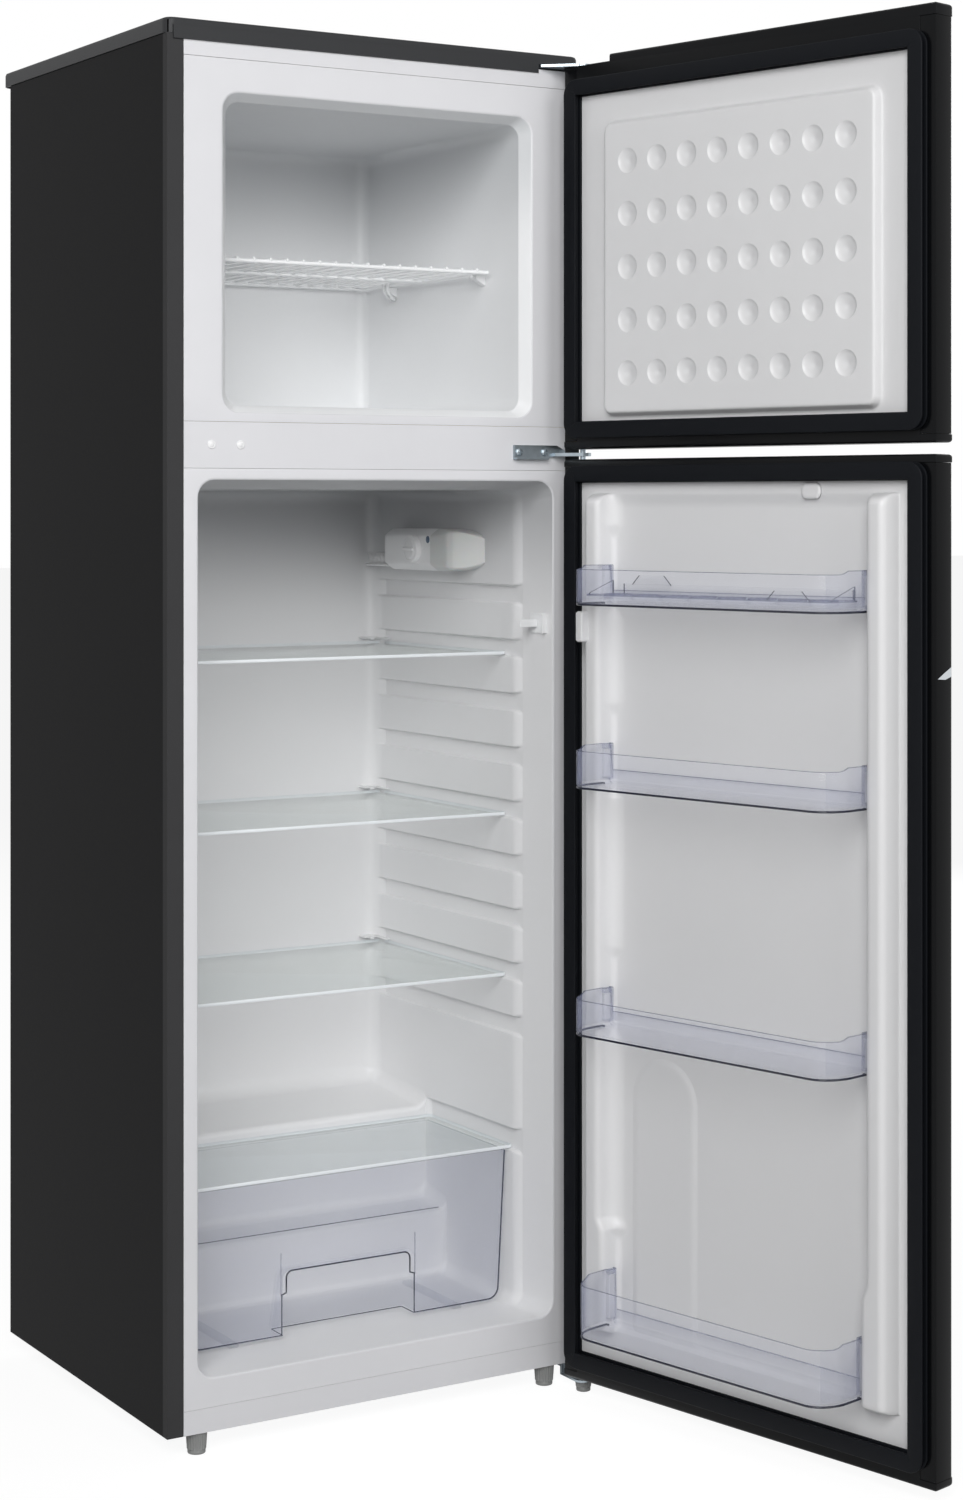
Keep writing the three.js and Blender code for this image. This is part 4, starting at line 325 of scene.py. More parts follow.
    # Its flat front, looked through square on: the same lavender, a little denser, a painted veil of the light that
    # its face catches.
    CLEAR_FRONT = ClearFinish("clear_polystyrene_front", "a3a9c4", "737a9f", 0.15, 0.32)
    # The same plastic seen along its sheet, where it pipes light and darkens.
    CLEAR_EDGE = ClearFinish("clear_polystyrene_edge", "5a6284", "3a4166", 0.45, 0.95)
    # Its thin rims, nearly black against the white behind them.
    CLEAR_RIM = ClearFinish("clear_polystyrene_rim", "1d2137", "171a2c", 0.95, 1.0)
    # Float glass, toughened: a breath of green.
    GLASS = ClearFinish("toughened_float_glass", "e4f2ec", "e6f6f0", 0.05, 0.3, roughness=0.02)
    # Its ground front edge: frosted, almost white.
    GLASS_EDGE = Finish("ground_glass_edge", "f6fafd", 0.4, 0.5, 0.01)
    # Blown glass of the bulb.
    BULB = ClearFinish("blown_glass_bulb", "f4f2ea", "dcdcd6", 0.25, 0.8)


_built: dict[Finishes, Material] = {}


def material_of(finish: Finishes) -> Material:
    """Gives a finish's material, built once."""
    if finish not in _built:
        _built[finish] = finish.value.build()
    return _built[finish]


# --- Drawing frames ---

CABINET_HALF = 272.5       # from the cabinet's middle to its side
DOOR_PLANE_Y = -12.3       # inner face of a closed door's steel, from the cabinet's front


def joint(name: str) -> dict:
    """Gives a joint of the frame by name."""
    return next(row for row in frame["joints"] if row["name"] == name)


def cabinet_drawing() -> Matrix:
    """Gives the matrix from the cabinet's drawing, in millimetres, to the frame."""
    low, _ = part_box("cabinet_shell")
    return Matrix.Translation((low[0] + CABINET_HALF * MM, low[1], low[2])) @ Matrix.Scale(MM, 4)


def door_drawing(hinge: str) -> Matrix:
    """Gives the matrix from a closed door's drawing to the door as it stands open.

    Args:
        hinge: The name of the door's joint.

    Returns:
        The matrix; its drawing is in millimetres.
    """
    row = joint(hinge)
    pin = Vector(row["pos_m"])
    opened = math.radians(-row["range_deg"][0]) * row["axis"][2]
    turn = Matrix.Translation(pin) @ Matrix.Rotation(opened, 4, "Z") @ Matrix.Translation(-pin)
    return turn @ cabinet_drawing() @ Matrix.Translation((0.0, DOOR_PLANE_Y, 0.0))


# --- Outlines ---


def arc(centre: Flat, radius: float, start: float, end: float, steps: int) -> list[Flat]:
    """Gives the points of an arc between two angles in degrees, both ends included."""
    angles = [math.radians(start + (end - start) * i / steps) for i in range(steps + 1)]
    return [(centre[0] + radius * math.cos(a), centre[1] + radius * math.sin(a)) for a in angles]


def circle(centre: Flat, radius: float, count: int) -> list[Flat]:
    """Gives points round a circle."""
    turns = [2 * math.pi * i / count for i in range(count)]
    return [(centre[0] + radius * math.cos(a), centre[1] + radius * math.sin(a)) for a in turns]


def quarter(degrees: Sequence[float]) -> list[Flat]:
    """Gives 1 - sin and 1 - cos of each angle, as a rounding needs them."""
    return [(1 - math.sin(math.radians(d)), 1 - math.cos(math.radians(d))) for d in degrees]


def round_rect(low: Flat, high: Flat, radius: float, steps: int = 6) -> list[Flat]:
    """Gives a rectangle with round corners, counter-clockwise from its lower right.

    Args:
        low: Lowest corner.
        high: Highest corner.
        radius: Corner radius.
        steps: Segments in each corner.

    Returns:
        The closed outline's points.
    """
    r = max(radius, 0.02)
    (a0, b0), (a1, b1) = low, high
    corners = (((a1 - r, b0 + r), -90.0), ((a1 - r, b1 - r), 0.0), ((a0 + r, b1 - r), 90.0), ((a0 + r, b0 + r), 180.0))
    return [p for centre, start in corners for p in arc(centre, r, start, start + 90.0, steps)]


def rounded(points: Sequence[Flat], radii: Sequence[float], steps: int = 4, closed: bool = True) -> list[Flat]:
    """Rounds the corners of a polygon or path.

    Args:
        points: The corners.
        radii: A radius for each corner.
        steps: Segments in each rounding.
        closed: False for a path, whose two ends stay.

    Returns:
        The points; each corner gives steps + 1 of them, and a path's end gives 1.
    """
    count = len(points)
    result: list[Flat] = []
    for i, (corner, radius) in enumerate(zip(points, radii)):
        if not closed and i in (0, count - 1):
            result.append(corner)
            continue
        here = Vector(corner)
        back = Vector(points[i - 1]) - here
        ahead = Vector(points[(i + 1) % count]) - here
        half = back.angle(ahead) / 2
        reach = min(radius / math.tan(half), 0.49 * back.length, 0.49 * ahead.length)
        start, end = here + back.normalized() * reach, here + ahead.normalized() * reach
        for k in range(steps + 1):
            t = k / steps
            # A rational quadratic curve with this weight is the exact arc.
            w = math.sin(half)
            blend = (1 - t) ** 2 + 2 * t * (1 - t) * w + t * t
            spot = (start * (1 - t) ** 2 + here * 2 * t * (1 - t) * w + end * t * t) / blend
            result.append((spot.x, spot.y))
    return result


def ease(value: float, low: float, high: float) -> float:
    """Rises smoothly from 0 at low to 1 at high."""
    t = min(max((value - low) / (high - low), 0.0), 1.0)
    return t * t * (3 - 2 * t)


def along(path: Sequence[Flat], where: float) -> float:
    """Reads the height of a path at a place; where the path stands upright, its lower end.

    Args:
        path: Points whose first value never falls.
        where: The place.

    Returns:
        The height.
    """
    for (a, low), (b, high) in zip(path, path[1:]):
        if a <= where <= b:
            return low if b - a < 1e-9 else low + (high - low) * (where - a) / (b - a)
    return path[0][1] if where < path[0][0] else path[-1][1]


# --- Forms and pieces ---


class Form:
    """Points, in millimetres of one drawing, and the faces between them."""

    def __init__(self) -> None:
        """Starts an empty form."""
        self.points: list[Point] = []
        self.faces: list[tuple[tuple[int, ...], int]] = []
        self.edges: list[tuple[int, int]] = []

    def loop(self, points: Iterable[Point]) -> list[int]:
        """Adds points and gives their numbers."""
        first = len(self.points)
        self.points.extend(tuple(p) for p in points)
        return list(range(first, len(self.points)))

    def path(self, points: Iterable[Point]) -> None:
        """Adds a bare line through points."""
        numbers = self.loop(points)
        self.edges += list(zip(numbers, numbers[1:]))

    def face(self, numbers: Sequence[int], finish: int = 0) -> None:
        """Adds a face between numbered points."""
        self.faces.append((tuple(numbers), finish))

    def skin(self, loops: Sequence[Sequence[Point]], closed: bool = True, finish: int = 0,
             caps: tuple[bool, bool] = (False, False)) -> None:
        """Joins loops of equal length, one after the other.

        Args:
            loops: The loops, in order.
            closed: Whether each loop runs back to its start.
            finish: Number of the finish.
            caps: Whether the first and the last loop are filled.
        """
        rows = [self.loop(points) for points in loops]
        count = len(rows[0])
        for one, two in zip(rows, rows[1:]):
            for i in range(count if closed else count - 1):
                j = (i + 1) % count
                self.face((one[i], one[j], two[j], two[i]), finish)
        if caps[0]:
            self.face(rows[0][::-1], finish)
        if caps[1]:
            self.face(rows[-1], finish)

    def solid(self, loops: Sequence[Sequence[Point]], finish: int = 0) -> None:
        """Adds a closed body through loops."""
        self.skin(loops, True, finish, (True, True))

    def block(self, low: Point, high: Point, edge: float = 0.0, finish: int = 0) -> None:
        """Adds a block with its upright and level edges softened.

        Args:
            low: Lowest corner.
            high: Highest corner.
            edge: Size of the softening.
            finish: Number of the finish.
        """
        levels = [(low[2], edge), (low[2] + edge, 0.0), (high[2] - edge, 0.0), (high[2], edge)] if edge else [
            (low[2], 0.0), (high[2], 0.0)]
        loops = []
        for z, inset in levels:
            plan = round_rect((low[0] + inset, low[1] + inset), (high[0] - inset, high[1] - inset),
                              max(edge - inset, 0.05) if edge else 0.02, 3 if edge else 1)
            loops.append([(x, y, z) for x, y in plan])
        self.solid(loops, finish)

    def slab(self, outline: Sequence[Flat], holes: Sequence[Sequence[Flat]], low: float, high: float,
             rim: int) -> None:
        """Adds a level plate with holes.

        Args:
            outline: Its outline.
            holes: Outlines of its holes.
            low: Level of its underside.
            high: Level of its top.
            rim: Number of the finish on its edges.
        """
        points, kept = triangulated(outline, holes)
        for level, turn in ((low, -1), (high, 1)):
            numbers = self.loop((p.x, p.y, level) for p in points)
            for f in kept:
                self.face([numbers[k] for k in f][::turn])
        for loop in (outline, *holes):
            self.skin([upright(loop, low), upright(loop, high)], finish=rim)

    def sheet(self, outline: Sequence[Flat], holes: Sequence[Sequence[Flat]], height: float) -> None:
        """Adds a flat open sheet with holes over a door's plane; its edge points are kept as they are.

        Args:
            outline: Its outline.
            holes: Outlines of its holes.
            height: Its height over the plane.
        """
        points, kept = triangulated(outline, holes)
        numbers = self.loop((p.x, height, p.y) for p in points)
        for f in kept:
            self.face([numbers[k] for k in f])

    def lathe(self, profile: Sequence[Flat], centre: Point, axis: str = "z", steps: int = 32,
              finish: int = 0) -> None:
        """Adds a turned body.

        Args:
            profile: Radius and height from one end of the axis to the other.
            centre: Where the axis and height 0 are.
            axis: The axis; "-x", "y" and so on.
            steps: Segments round it.
            finish: Number of the finish.
        """
        sign = -1.0 if axis.startswith("-") else 1.0
        order = {"x": (2, 0, 1), "y": (1, 2, 0), "z": (0, 1, 2)}[axis[-1]]
        loops = []
        for radius, height in profile:
            ring = []
            for i in range(steps):
                angle = 2 * math.pi * i / steps
                own = (max(radius, 0.001) * math.cos(angle), max(radius, 0.001) * math.sin(angle), sign * height)
                ring.append(tuple(centre[k] + own[order[k]] for k in range(3)))
            loops.append(ring)
        self.solid(loops, finish)

    def made(self, name: str, drawing: Matrix, facing: Vector | None = None) -> Object:
        """Makes the object.

        Args:
            name: Its name.
            drawing: Matrix from the drawing to the frame.
            facing: For an open sheet, the way its show side looks, in the drawing.

        Returns:
            The smooth-shaded object.
        """
        shape = bmesh.new()
        verts = [shape.verts.new(p) for p in self.points]
        for numbers, finish in self.faces:
            face = shape.faces.new([verts[n] for n in numbers])
            face.material_index = finish
        for one, two in self.edges:
            shape.edges.new((verts[one], verts[two]))
        if self.faces:
            bmesh.ops.remove_doubles(shape, verts=shape.verts, dist=0.004)
            bmesh.ops.dissolve_degenerate(shape, dist=0.004, edges=shape.edges)
        bmesh.ops.recalc_face_normals(shape, faces=shape.faces)
        if facing is not None:
            show_to(shape, facing)
        shape.transform(drawing)
        return as_object(shape, name)


def show_to(shape: BMesh, facing: Vector) -> None:
    """Turns an open sheet's show side one way."""
    if sum((f.normal * f.calc_area() for f in shape.faces), Vector()).dot(facing) < 0:
        bmesh.ops.reverse_faces(shape, faces=shape.faces)


def triangulated(outline: Sequence[Flat],
                 holes: Sequence[Sequence[Flat]]) -> tuple[list[Vector], list[Sequence[int]]]:
    """Fills a flat outline with triangles, clear of its holes.

    Args:
        outline: The outline.
        holes: Outlines of its holes.

    Returns:
        The points, and the point numbers of each triangle.
    """
    loops = [list(outline), *[list(hole) for hole in holes]]
    flat = [Vector(p) for loop in loops for p in loop]
    edges, start = [], 0
    for loop in loops:
        edges += [(start + i, start + (i + 1) % len(loop)) for i in range(len(loop))]
        start += len(loop)
    points, _, faces, _, _, _ = delaunay_2d_cdt(flat, edges, [], 0, 1e-6)
    kept = [f for f in faces if inside(outline, middle(points, f)) and not any(
        inside(hole, middle(points, f)) for hole in holes)]
    return points, kept


def middle(points: Sequence[Vector], numbers: Sequence[int]) -> Flat:
    """Gives the middle of a flat face."""
    return (sum(points[n].x for n in numbers) / len(numbers), sum(points[n].y for n in numbers) / len(numbers))


def inside(loop: Sequence[Flat], spot: Flat) -> bool:
    """Says whether a spot is inside a closed outline."""
    a, b = spot
    result = False
    for (a0, b0), (a1, b1) in zip(loop, [*loop[1:], loop[0]]):
        if (b0 > b) != (b1 > b) and a < (a1 - a0) * (b - b0) / (b1 - b0) + a0:
            result = not result
    return result


def as_object(shape: BMesh, name: str) -> Object:
    """Turns a shape into a smooth-shaded object and frees the shape.

    Args:
        shape: The shape, in the frame.
        name: The object's name.

    Returns:
        The linked object.
    """
    mesh = bpy.data.meshes.new(name)
    shape.to_mesh(mesh)
    shape.free()
    mesh.shade_smooth()
    made = bpy.data.objects.new(name, mesh)
    bpy.context.scene.collection.objects.link(made)
    return made


def settle(made: Object) -> Object:
    """Replaces an object's mesh by what its modifiers make of it, and removes them."""
    graph = bpy.context.evaluated_depsgraph_get()
    result = bpy.data.meshes.new_from_object(made.evaluated_get(graph), preserve_all_data_layers=True,
                                             depsgraph=graph)
    made.modifiers.clear()
    made.data = result
    return made


def weigh_normals(made: Object) -> None:
    """Keeps broad faces flat and lets the roundings between them shade smoothly."""
    weights = made.modifiers.new("weights", "WEIGHTED_NORMAL")
    weights.keep_sharp = True
    weights.weight = 100


def crease(made: Object, degrees: float = 40.0) -> Object:
    """Makes edges sharper than an angle shade as edges."""
    made.data.set_sharp_from_angle(angle=math.radians(degrees))
    return made


def thicken(made: Object, thickness_mm: float) -> Object:
    """Gives an open sheet its wall, away from its show side."""
    wall = made.modifiers.new("wall", "SOLIDIFY")
    wall.thickness = thickness_mm * MM
    wall.offset = -1.0
    return settle(made)


def fit(made: Object, finishes: Finishes | Sequence[Finishes], *nodes: str) -> None:
    """Puts a made piece in the place of frame nodes, in its finishes.

    Args:
        made: The piece.
        finishes: Its finish, or one for each finish number.
        nodes: The nodes that it stands for; it rides on the first one's body.
    """
    chosen = [finishes] if isinstance(finishes, Finishes) else list(finishes)
    numbers = [min(face.material_index, len(chosen) - 1) for face in made.data.polygons]
    made.data.materials.clear()
    for finish in chosen:
        made.data.materials.append(material_of(finish))
    for face, number in zip(made.data.polygons, numbers):
        face.material_index = number
    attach(made, BODY_OF[nodes[0]])
    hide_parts(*nodes)
    LOG.info("%s: %d faces on %s", made.name, len(made.data.polygons), BODY_OF[nodes[0]])


def show(form: Form, node: str, finishes: Finishes | Sequence[Finishes], drawing: Matrix,
         degrees: float = 40.0) -> None:
    """Makes a form the show piece of its node; edges sharper than an angle shade as edges."""
    fit(crease(form.made(node + "_piece", drawing), degrees), finishes, node)


def merged_copy(node: str) -> BMesh:
    """Copies a frame node's mesh as one connected surface of flat faces.

    Args:
        node: The node's name.

    Returns:
        A new BMesh in the frame.
    """
    copy = bmesh.new()
    copy.from_mesh(NODES[node].data)
    bmesh.ops.remove_doubles(copy, verts=copy.verts, dist=0.01 * MM)
    bmesh.ops.dissolve_limit(copy, angle_limit=math.radians(0.6), verts=copy.verts, edges=copy.edges)
    copy.normal_update()
    return copy


def finished(node: str, finish: Finishes, radius_mm: float, over_degrees: float = 24.0) -> None:
    """Makes the show piece of a node whose form is right: the same shape with broken edges.

    Args:
        node: The node's name.
        finish: Its finish.
        radius_mm: Size of its edge rounding.
        over_degrees: Edges flatter than this are only shaded smooth.
    """
    shape = merged_copy(node)
    if radius_mm > 0:
        limit = math.radians(over_degrees)
        edges = [e for e in shape.edges if len(e.link_faces) == 2 and e.calc_face_angle(0.0) > limit]
        bmesh.ops.bevel(shape, geom=edges, offset=radius_mm * MM, offset_type="OFFSET", segments=BEVEL_STEPS,
                        profile=0.5, affect="EDGES", clamp_overlap=True)
    made = as_object(shape, node + "_piece")
    weigh_normals(made)
    fit(settle(made), finish, node)


def dress(node: str, finish: Finishes) -> None:
    """Gives a node that shows as it is its finish."""
    slots = NODES[node].data.materials
    slots.clear()
    slots.append(material_of(finish))


class Grower:
    """A geometry node tree with named sizes, run once on a base mesh."""

    def __init__(self, name: str) -> None:
        """Starts the tree under the name of what it makes."""
        self.tree = bpy.data.node_groups.new(name, "GeometryNodeTree")
        self.tree.interface.new_socket("Geometry", in_out="INPUT", socket_type="NodeSocketGeometry")
        self.tree.interface.new_socket("Geometry", in_out="OUTPUT", socket_type="NodeSocketGeometry")
        self.entry = add_node(self.tree, "NodeGroupInput")
        self.values: dict[str, float | int] = {}

    def size(self, name: str, value: float | int) -> NodeSocket:
        """Adds a named input.

        Args:
            name: Its name.
            value: Its value; a whole number makes a count.

        Returns:
            The socket that gives it inside the tree.
        """
        kind = "NodeSocketInt" if isinstance(value, int) else "NodeSocketFloat"
        socket = self.tree.interface.new_socket(name, in_out="INPUT", socket_type=kind)
        self.values[socket.identifier] = value
        return self.entry.outputs[name]

    def node(self, kind: str, settings: dict | None = None, inputs: dict | None = None) -> Node:
        """Adds a node to the tree."""
        return add_node(self.tree, kind, settings, inputs)

    def math(self, operation: str, first: object, second: object = 0.0) -> NodeSocket:
        """Adds a sum of two values and gives its result."""
        return self.node("ShaderNodeMath", {"operation": operation}, {0: first, 1: second}).outputs[0]

    def tube(self, path: NodeSocket, radius: NodeSocket | float,
             sides: int) -> NodeSocket:
        """Runs a round section along a path and closes its ends."""
        ring = self.node("GeometryNodeCurvePrimitiveCircle", inputs={"Resolution": sides, "Radius": radius})
        return self.node("GeometryNodeCurveToMesh", inputs={
            "Curve": path, "Profile Curve": ring.outputs["Curve"], "Fill Caps": True}).outputs["Mesh"]

    def join(self, parts: Iterable[NodeSocket]) -> NodeSocket:
        """Joins geometries into one."""
        together = self.node("GeometryNodeJoinGeometry")
        for part in parts:
            self.tree.links.new(part, together.inputs[0])
        return together.outputs[0]

    def repeat(self, places: NodeSocket, one: NodeSocket) -> NodeSocket:
        """Sets one geometry on every point of another."""
        return self.node("GeometryNodeInstanceOnPoints", inputs={"Points": places, "Instance": one}).outputs[0]

    def row(self, count: NodeSocket, start: Point | NodeSocket, step: Node, one: NodeSocket) -> NodeSocket:
        """Repeats a geometry along a line of equal steps."""
        line = self.node("GeometryNodeMeshLine", inputs={
            "Count": count, "Start Location": start, "Offset": step.outputs["Vector"]})
        return self.repeat(line.outputs["Mesh"], one)

    def grow(self, base: Form, result: NodeSocket, finish: Finishes, name: str,
             drawing: Matrix) -> Object:
        """Closes the tree, runs it on a base form and places what it makes.

        Args:
            base: The form that the tree starts from.
            result: The socket that holds the finished geometry.
            finish: What it is made of.
            name: The object's name.
            drawing: Matrix from the drawing to the frame.

        Returns:
            A plain mesh object in the frame.
        """
        real = self.node("GeometryNodeRealizeInstances", inputs={"Geometry": result})
        dressed = self.node("GeometryNodeSetMaterial", inputs={
            "Geometry": real.outputs["Geometry"], "Material": material_of(finish)})
        self.node("NodeGroupOutput", inputs={0: dressed.outputs["Geometry"]})
        made = base.made(name, Matrix.Identity(4))
        modifier = made.modifiers.new("grown", "NODES")
        modifier.node_group = self.tree
        for identifier, value in self.values.items():
            modifier[identifier] = value
        settle(made)
        for face in made.data.polygons:
            face.material_index = 0
        made.data.transform(drawing)
        made.data.shade_smooth()
        return made


def swept(name: str, paths: Sequence[Sequence[Point]], radius: float, finish: Finishes, drawing: Matrix,
          sides: int = 8) -> Object:
    """Grows round rods along paths.

    Args:
        name: What they are.
        paths: The paths, in millimetres of the drawing.
        radius: Radius of the rod.
        finish: What it is made of.
        drawing: Matrix from the drawing to the frame.
        sides: Sides of the rod's section.

    Returns:
        The rods as one plain mesh object.
    """
    lines = Form()
    for points in paths:
        lines.path(points)
    grower = Grower(name)
    thick = grower.size("Radius", radius)
    curve = grower.node("GeometryNodeMeshToCurve", inputs={"Mesh": grower.entry.outputs["Geometry"]})
    return grower.grow(lines, grower.tube(curve.outputs["Curve"], thick, sides), finish, name, drawing)


def merged(name: str, *pieces: Object) -> Object:
    """Joins objects into one mesh.

    Args:
        name: The new object's name.
        pieces: The objects; they are removed.

    Returns:
        The object; finish numbers stay as each piece had them.
    """
    shape = bmesh.new()
    for one in pieces:
        shape.from_mesh(one.data)
        bpy.data.objects.remove(one)
    return as_object(shape, name)


# --- Compartments ---


@dataclass
class Compartment:
    """The formed liner of one compartment, lofted from its flange to its back.

    Attributes:
        mouth_half: From the middle to the mouth's side, in millimetres.
        mouth: Lowest and highest level of the mouth.
        inner_half: From the middle to the side wall.
        flare: Depth over which the mouth narrows to the walls.
        floor: Floor levels from the front to the back, as depth and level.
        flange: Half-width, lowest and highest level of the flange.
        levels: Levels at which the side walls have points.
        stations: Depths at which the walls have points.
    """

    node: str
    mouth_half: float
    mouth: Flat
    inner_half: float
    ceiling: float
    flare: float
    depth: float
    floor: Sequence[Flat]
    floor_radii: Sequence[float]
    flange: Point
    corner: float = 20.0
    inner_corner: float = 16.0
    back_radius: float = 18.0
    lip: float = 2.4
    white: Finishes = Finishes.FORMED_WHITE
    levels: list[float] = field(default_factory=list)
    stations: list[float] = field(default_factory=list)
    arc_steps: int = 6

    def relief(self, depth: float, level: float) -> float:
        """Gives how far the side wall stands in from its outermost surface."""
        return 0.0

    def floor_path(self) -> list[Flat]:
        """Gives the floor's run with rounded steps, with a point for every wall level that it passes."""
        path = rounded(list(self.floor), list(self.floor_radii), 4, closed=False)
        dense: list[Flat] = [path[0]]
        for (a, low), (b, high) in zip(path, path[1:]):
            if high - low > 2.0 and b - a < 0.2 * (high - low):
                for level in self.levels:
                    lifted = level - self.inner_corner
                    if low < lifted < high:
                        dense.append((a + (b - a) * (lifted - low) / (high - low), lifted))
            dense.append((b, high))
        return dense

    def ring(self, depth: float, bottom: float, grow: float, squeeze: float) -> list[Point]:
        """Gives the section at a depth.

        Args:
            depth: How deep.
            bottom: Level of the floor there.
            grow: How far the lip spreads it.
            squeeze: How far the back's rounding narrows it.

        Returns:
            The section, from its lower right round to its lower left.
        """
        share = ease(depth, 0.0, self.flare)
        run = min(depth / self.flare, 1.0)
        half = self.mouth_half + (self.inner_half - self.mouth_half) * run + grow - squeeze
        top = self.mouth[1] + (self.ceiling - self.mouth[1]) * run + grow - squeeze
        low = bottom - grow + squeeze
        radius = max(self.corner + (self.inner_corner - self.corner) * share + grow - squeeze, 0.8)
        ends = (low + radius, top - radius)
        sides = [min(max(level, ends[0]), ends[1]) for level in self.levels]
        lower, upper = (half - self.relief(depth, end) for end in ends)
        points = [(x, depth, z) for x, z in arc((lower - radius, low + radius), radius, -90, 0, self.arc_steps)]
        points += [(half - self.relief(depth, z), depth, z) for z in sides]
        points += [(x, depth, z) for x, z in arc((upper - radius, top - radius), radius, 0, 90, self.arc_steps)]
        return points + [(-x, y, z) for x, y, z in reversed(points)]

    def rim(self, like: Sequence[Point]) -> list[Point]:
        """Spreads a section's points to the flange's outer rim."""
        half, low, high = self.flange
        first, last = self.arc_steps, self.arc_steps + len(self.levels)
        quarter = len(like) // 2
        result = []
        for i, (_, _, z) in enumerate(like):
            k = i if i < quarter else len(like) - 1 - i
            side = 1.0 if i < quarter else -1.0
            level = low if k <= first else high if k > last else min(max(z, low), high)
            result.append((side * half, 0.0, level))
        return result

    def sheet(self) -> Form:
        """Lofts the sheet.

        Returns:
            The open sheet, its rim first.
        """
        path = self.floor_path()
        places: list[tuple[float, float]] = list(path)
        for depth in self.stations:
            places.append((depth, along(path, depth)))
        places.sort()
        arch = [k * 90.0 / 6 for k in range(7)]
        loops = []
        start = self.ring(0.0, path[0][1], self.lip + 0.8, 0.0)
        loops.append(self.rim(start))
        loops.append(start)
        for out, deep in quarter(arch[:-1]):
            loops.append(self.ring(self.lip * deep, path[0][1], self.lip * out, 0.0))
        end = self.depth - self.back_radius
        for depth, bottom in places:
            if self.lip - 0.01 <= depth < end:
                loops.append(self.ring(depth, bottom, 0.0, 0.0))
        for degrees in arch:
            a = math.radians(degrees)
            depth = end + self.back_radius * math.sin(a)
            loops.append(self.ring(depth, along(path, depth), 0.0, self.back_radius * (1 - math.cos(a))))
        loops.append(self.ring(self.depth, along(path, self.depth), 0.0, self.back_radius + 4.0))
        form = Form()
        form.skin(loops[:7], finish=1)
        form.skin(loops[6:], caps=(False, True))
        return form

    def extras(self) -> Form:
        """Gives what else the liner carries."""
        return Form()

    def build(self, drawing: Matrix) -> None:
        """Builds and fits the liner.

        Args:
            drawing: Matrix from the cabinet's drawing to the frame.
        """
        made = thicken(self.sheet().made(self.node + "_sheet", drawing, Vector((0, -1, 0))), SHEET_MM)
        extras = self.extras()
        if extras.faces:
            made = merged(self.node + "_piece", made, extras.made(self.node + "_extras", drawing))
        else:
            made.name = self.node + "_piece"
        weigh_normals(made)
        # The rim and lip take the second finish: a greyer copy of the sheet, painted shade.
        fit(settle(made), (self.white, Finishes.RIM_SHADED_WHITE), self.node)


@dataclass
class FridgeCompartment(Compartment):
    """The fridge's liner: blocks on its side walls leave slots for the shelves.

    Attributes:
        block: How far the blocks stand in.
        block_run: Depths at which a block starts to rise and is full.
        slots: Lowest and highest level and end depth of each slot.
        clipped: The slots whose plates are held down from behind.
        clip: From the middle to a clip's start and end, and to the start of its arm along the wall.
        clip_rise: Where a clip starts and ends above its slot's foot.
        clip_reach: How far a clip and its arm come forward from the back.
    """

    block: float = 6.0
    block_run: Flat = (55.0, 73.0)
    slots: list[Point] = field(default_factory=list)
    edge: float = 2.6
    sweep: float = 8.0
    clipped: tuple[int, ...] = (2, 5, 8)
    clip: Point = (196.0, 219.0, 213.5)
    clip_rise: Flat = (7.0, 9.4)
    clip_reach: Flat = (17.0, 44.0)

    def __post_init__(self) -> None:
        """Sets the wall's levels and depths out from the slots."""
        near = (0.0, 0.7, 1.5, 2.3, 3.2, 4.6, 6.4, 8.6, 11.2)
        marks = {60.0 + 8 * k for k in range(24)}
        for low, high, _ in self.slots:
            marks |= {low - d for d in near} | {high + d for d in near} | {(low + high) / 2}
        levels = sorted(m for m in marks if self.mouth[0] < m < self.ceiling)
        self.levels = [m for i, m in enumerate(levels) if i == 0 or m - levels[i - 1] > 0.3]
        start, full = self.block_run
        ramp = [start + (full - start) * k / 8 for k in range(9)]
        ends = {end - d for _, _, end in self.slots for d in (10.0, 8.0, 6.5, 5.0, 3.5, 2.0, 0.5, -1.0)}
        self.stations = [12.0, 25.0, 40.0, *ramp, full + 4, full + 10, 120.0, 160.0, 200.0, 260.0, 320.0, 360.0,
                         *sorted(ends)]

    def extras(self) -> Form:
        """Draws the clips on the back wall that hold the glass plates down.

        Returns:
            Closed bodies.
        """
        form = Form()
        (start, end, arm), (foot, peak), (reach, arm_reach) = self.clip, self.clip_rise, self.clip_reach
        for slot in self.clipped:
            low = self.slots[slot][0]
            for side in (-1.0, 1.0):
                near, far = sorted((side * start, side * end))
                form.block((near, self.depth - reach, low + foot), (far, self.depth + 0.2, low + peak), 1.0)
                form.block((near + 9, self.depth - reach, low + 5.2), (near + 15, self.depth - 11.0, low + 8.0), 0.8)
                near, far = sorted((side * arm, side * end))
                form.block((near, self.depth - arm_reach, low + foot), (far, self.depth - 12.0, low + peak), 1.0)
        return form

    def relief(self, depth: float, level: float) -> float:
        """Gives the height of the blocks at a place of the side wall."""
        start, full = self.block_run
        if depth <= start:
            return 0.0
        rise = min((depth - start) / (full - start), 1.0)
        front = math.sin(rise * math.pi / 2)
        shift = self.sweep * (1 - math.sqrt(max(1 - (1 - rise) ** 2, 0.0)))
        solid = 1.0
        for low, high, end in self.slots:
            if low - 14 < level < high + 14:
                gap = max(low - shift - level, level - high - shift)
                open_ = 1 - ease(gap, 0.0, self.edge)
                tail = ease(depth, end - 8.0, end - 1.0)
                solid = min(solid, 1 - open_ * (1 - tail))
        return self.block * min(front, 1.0) * solid


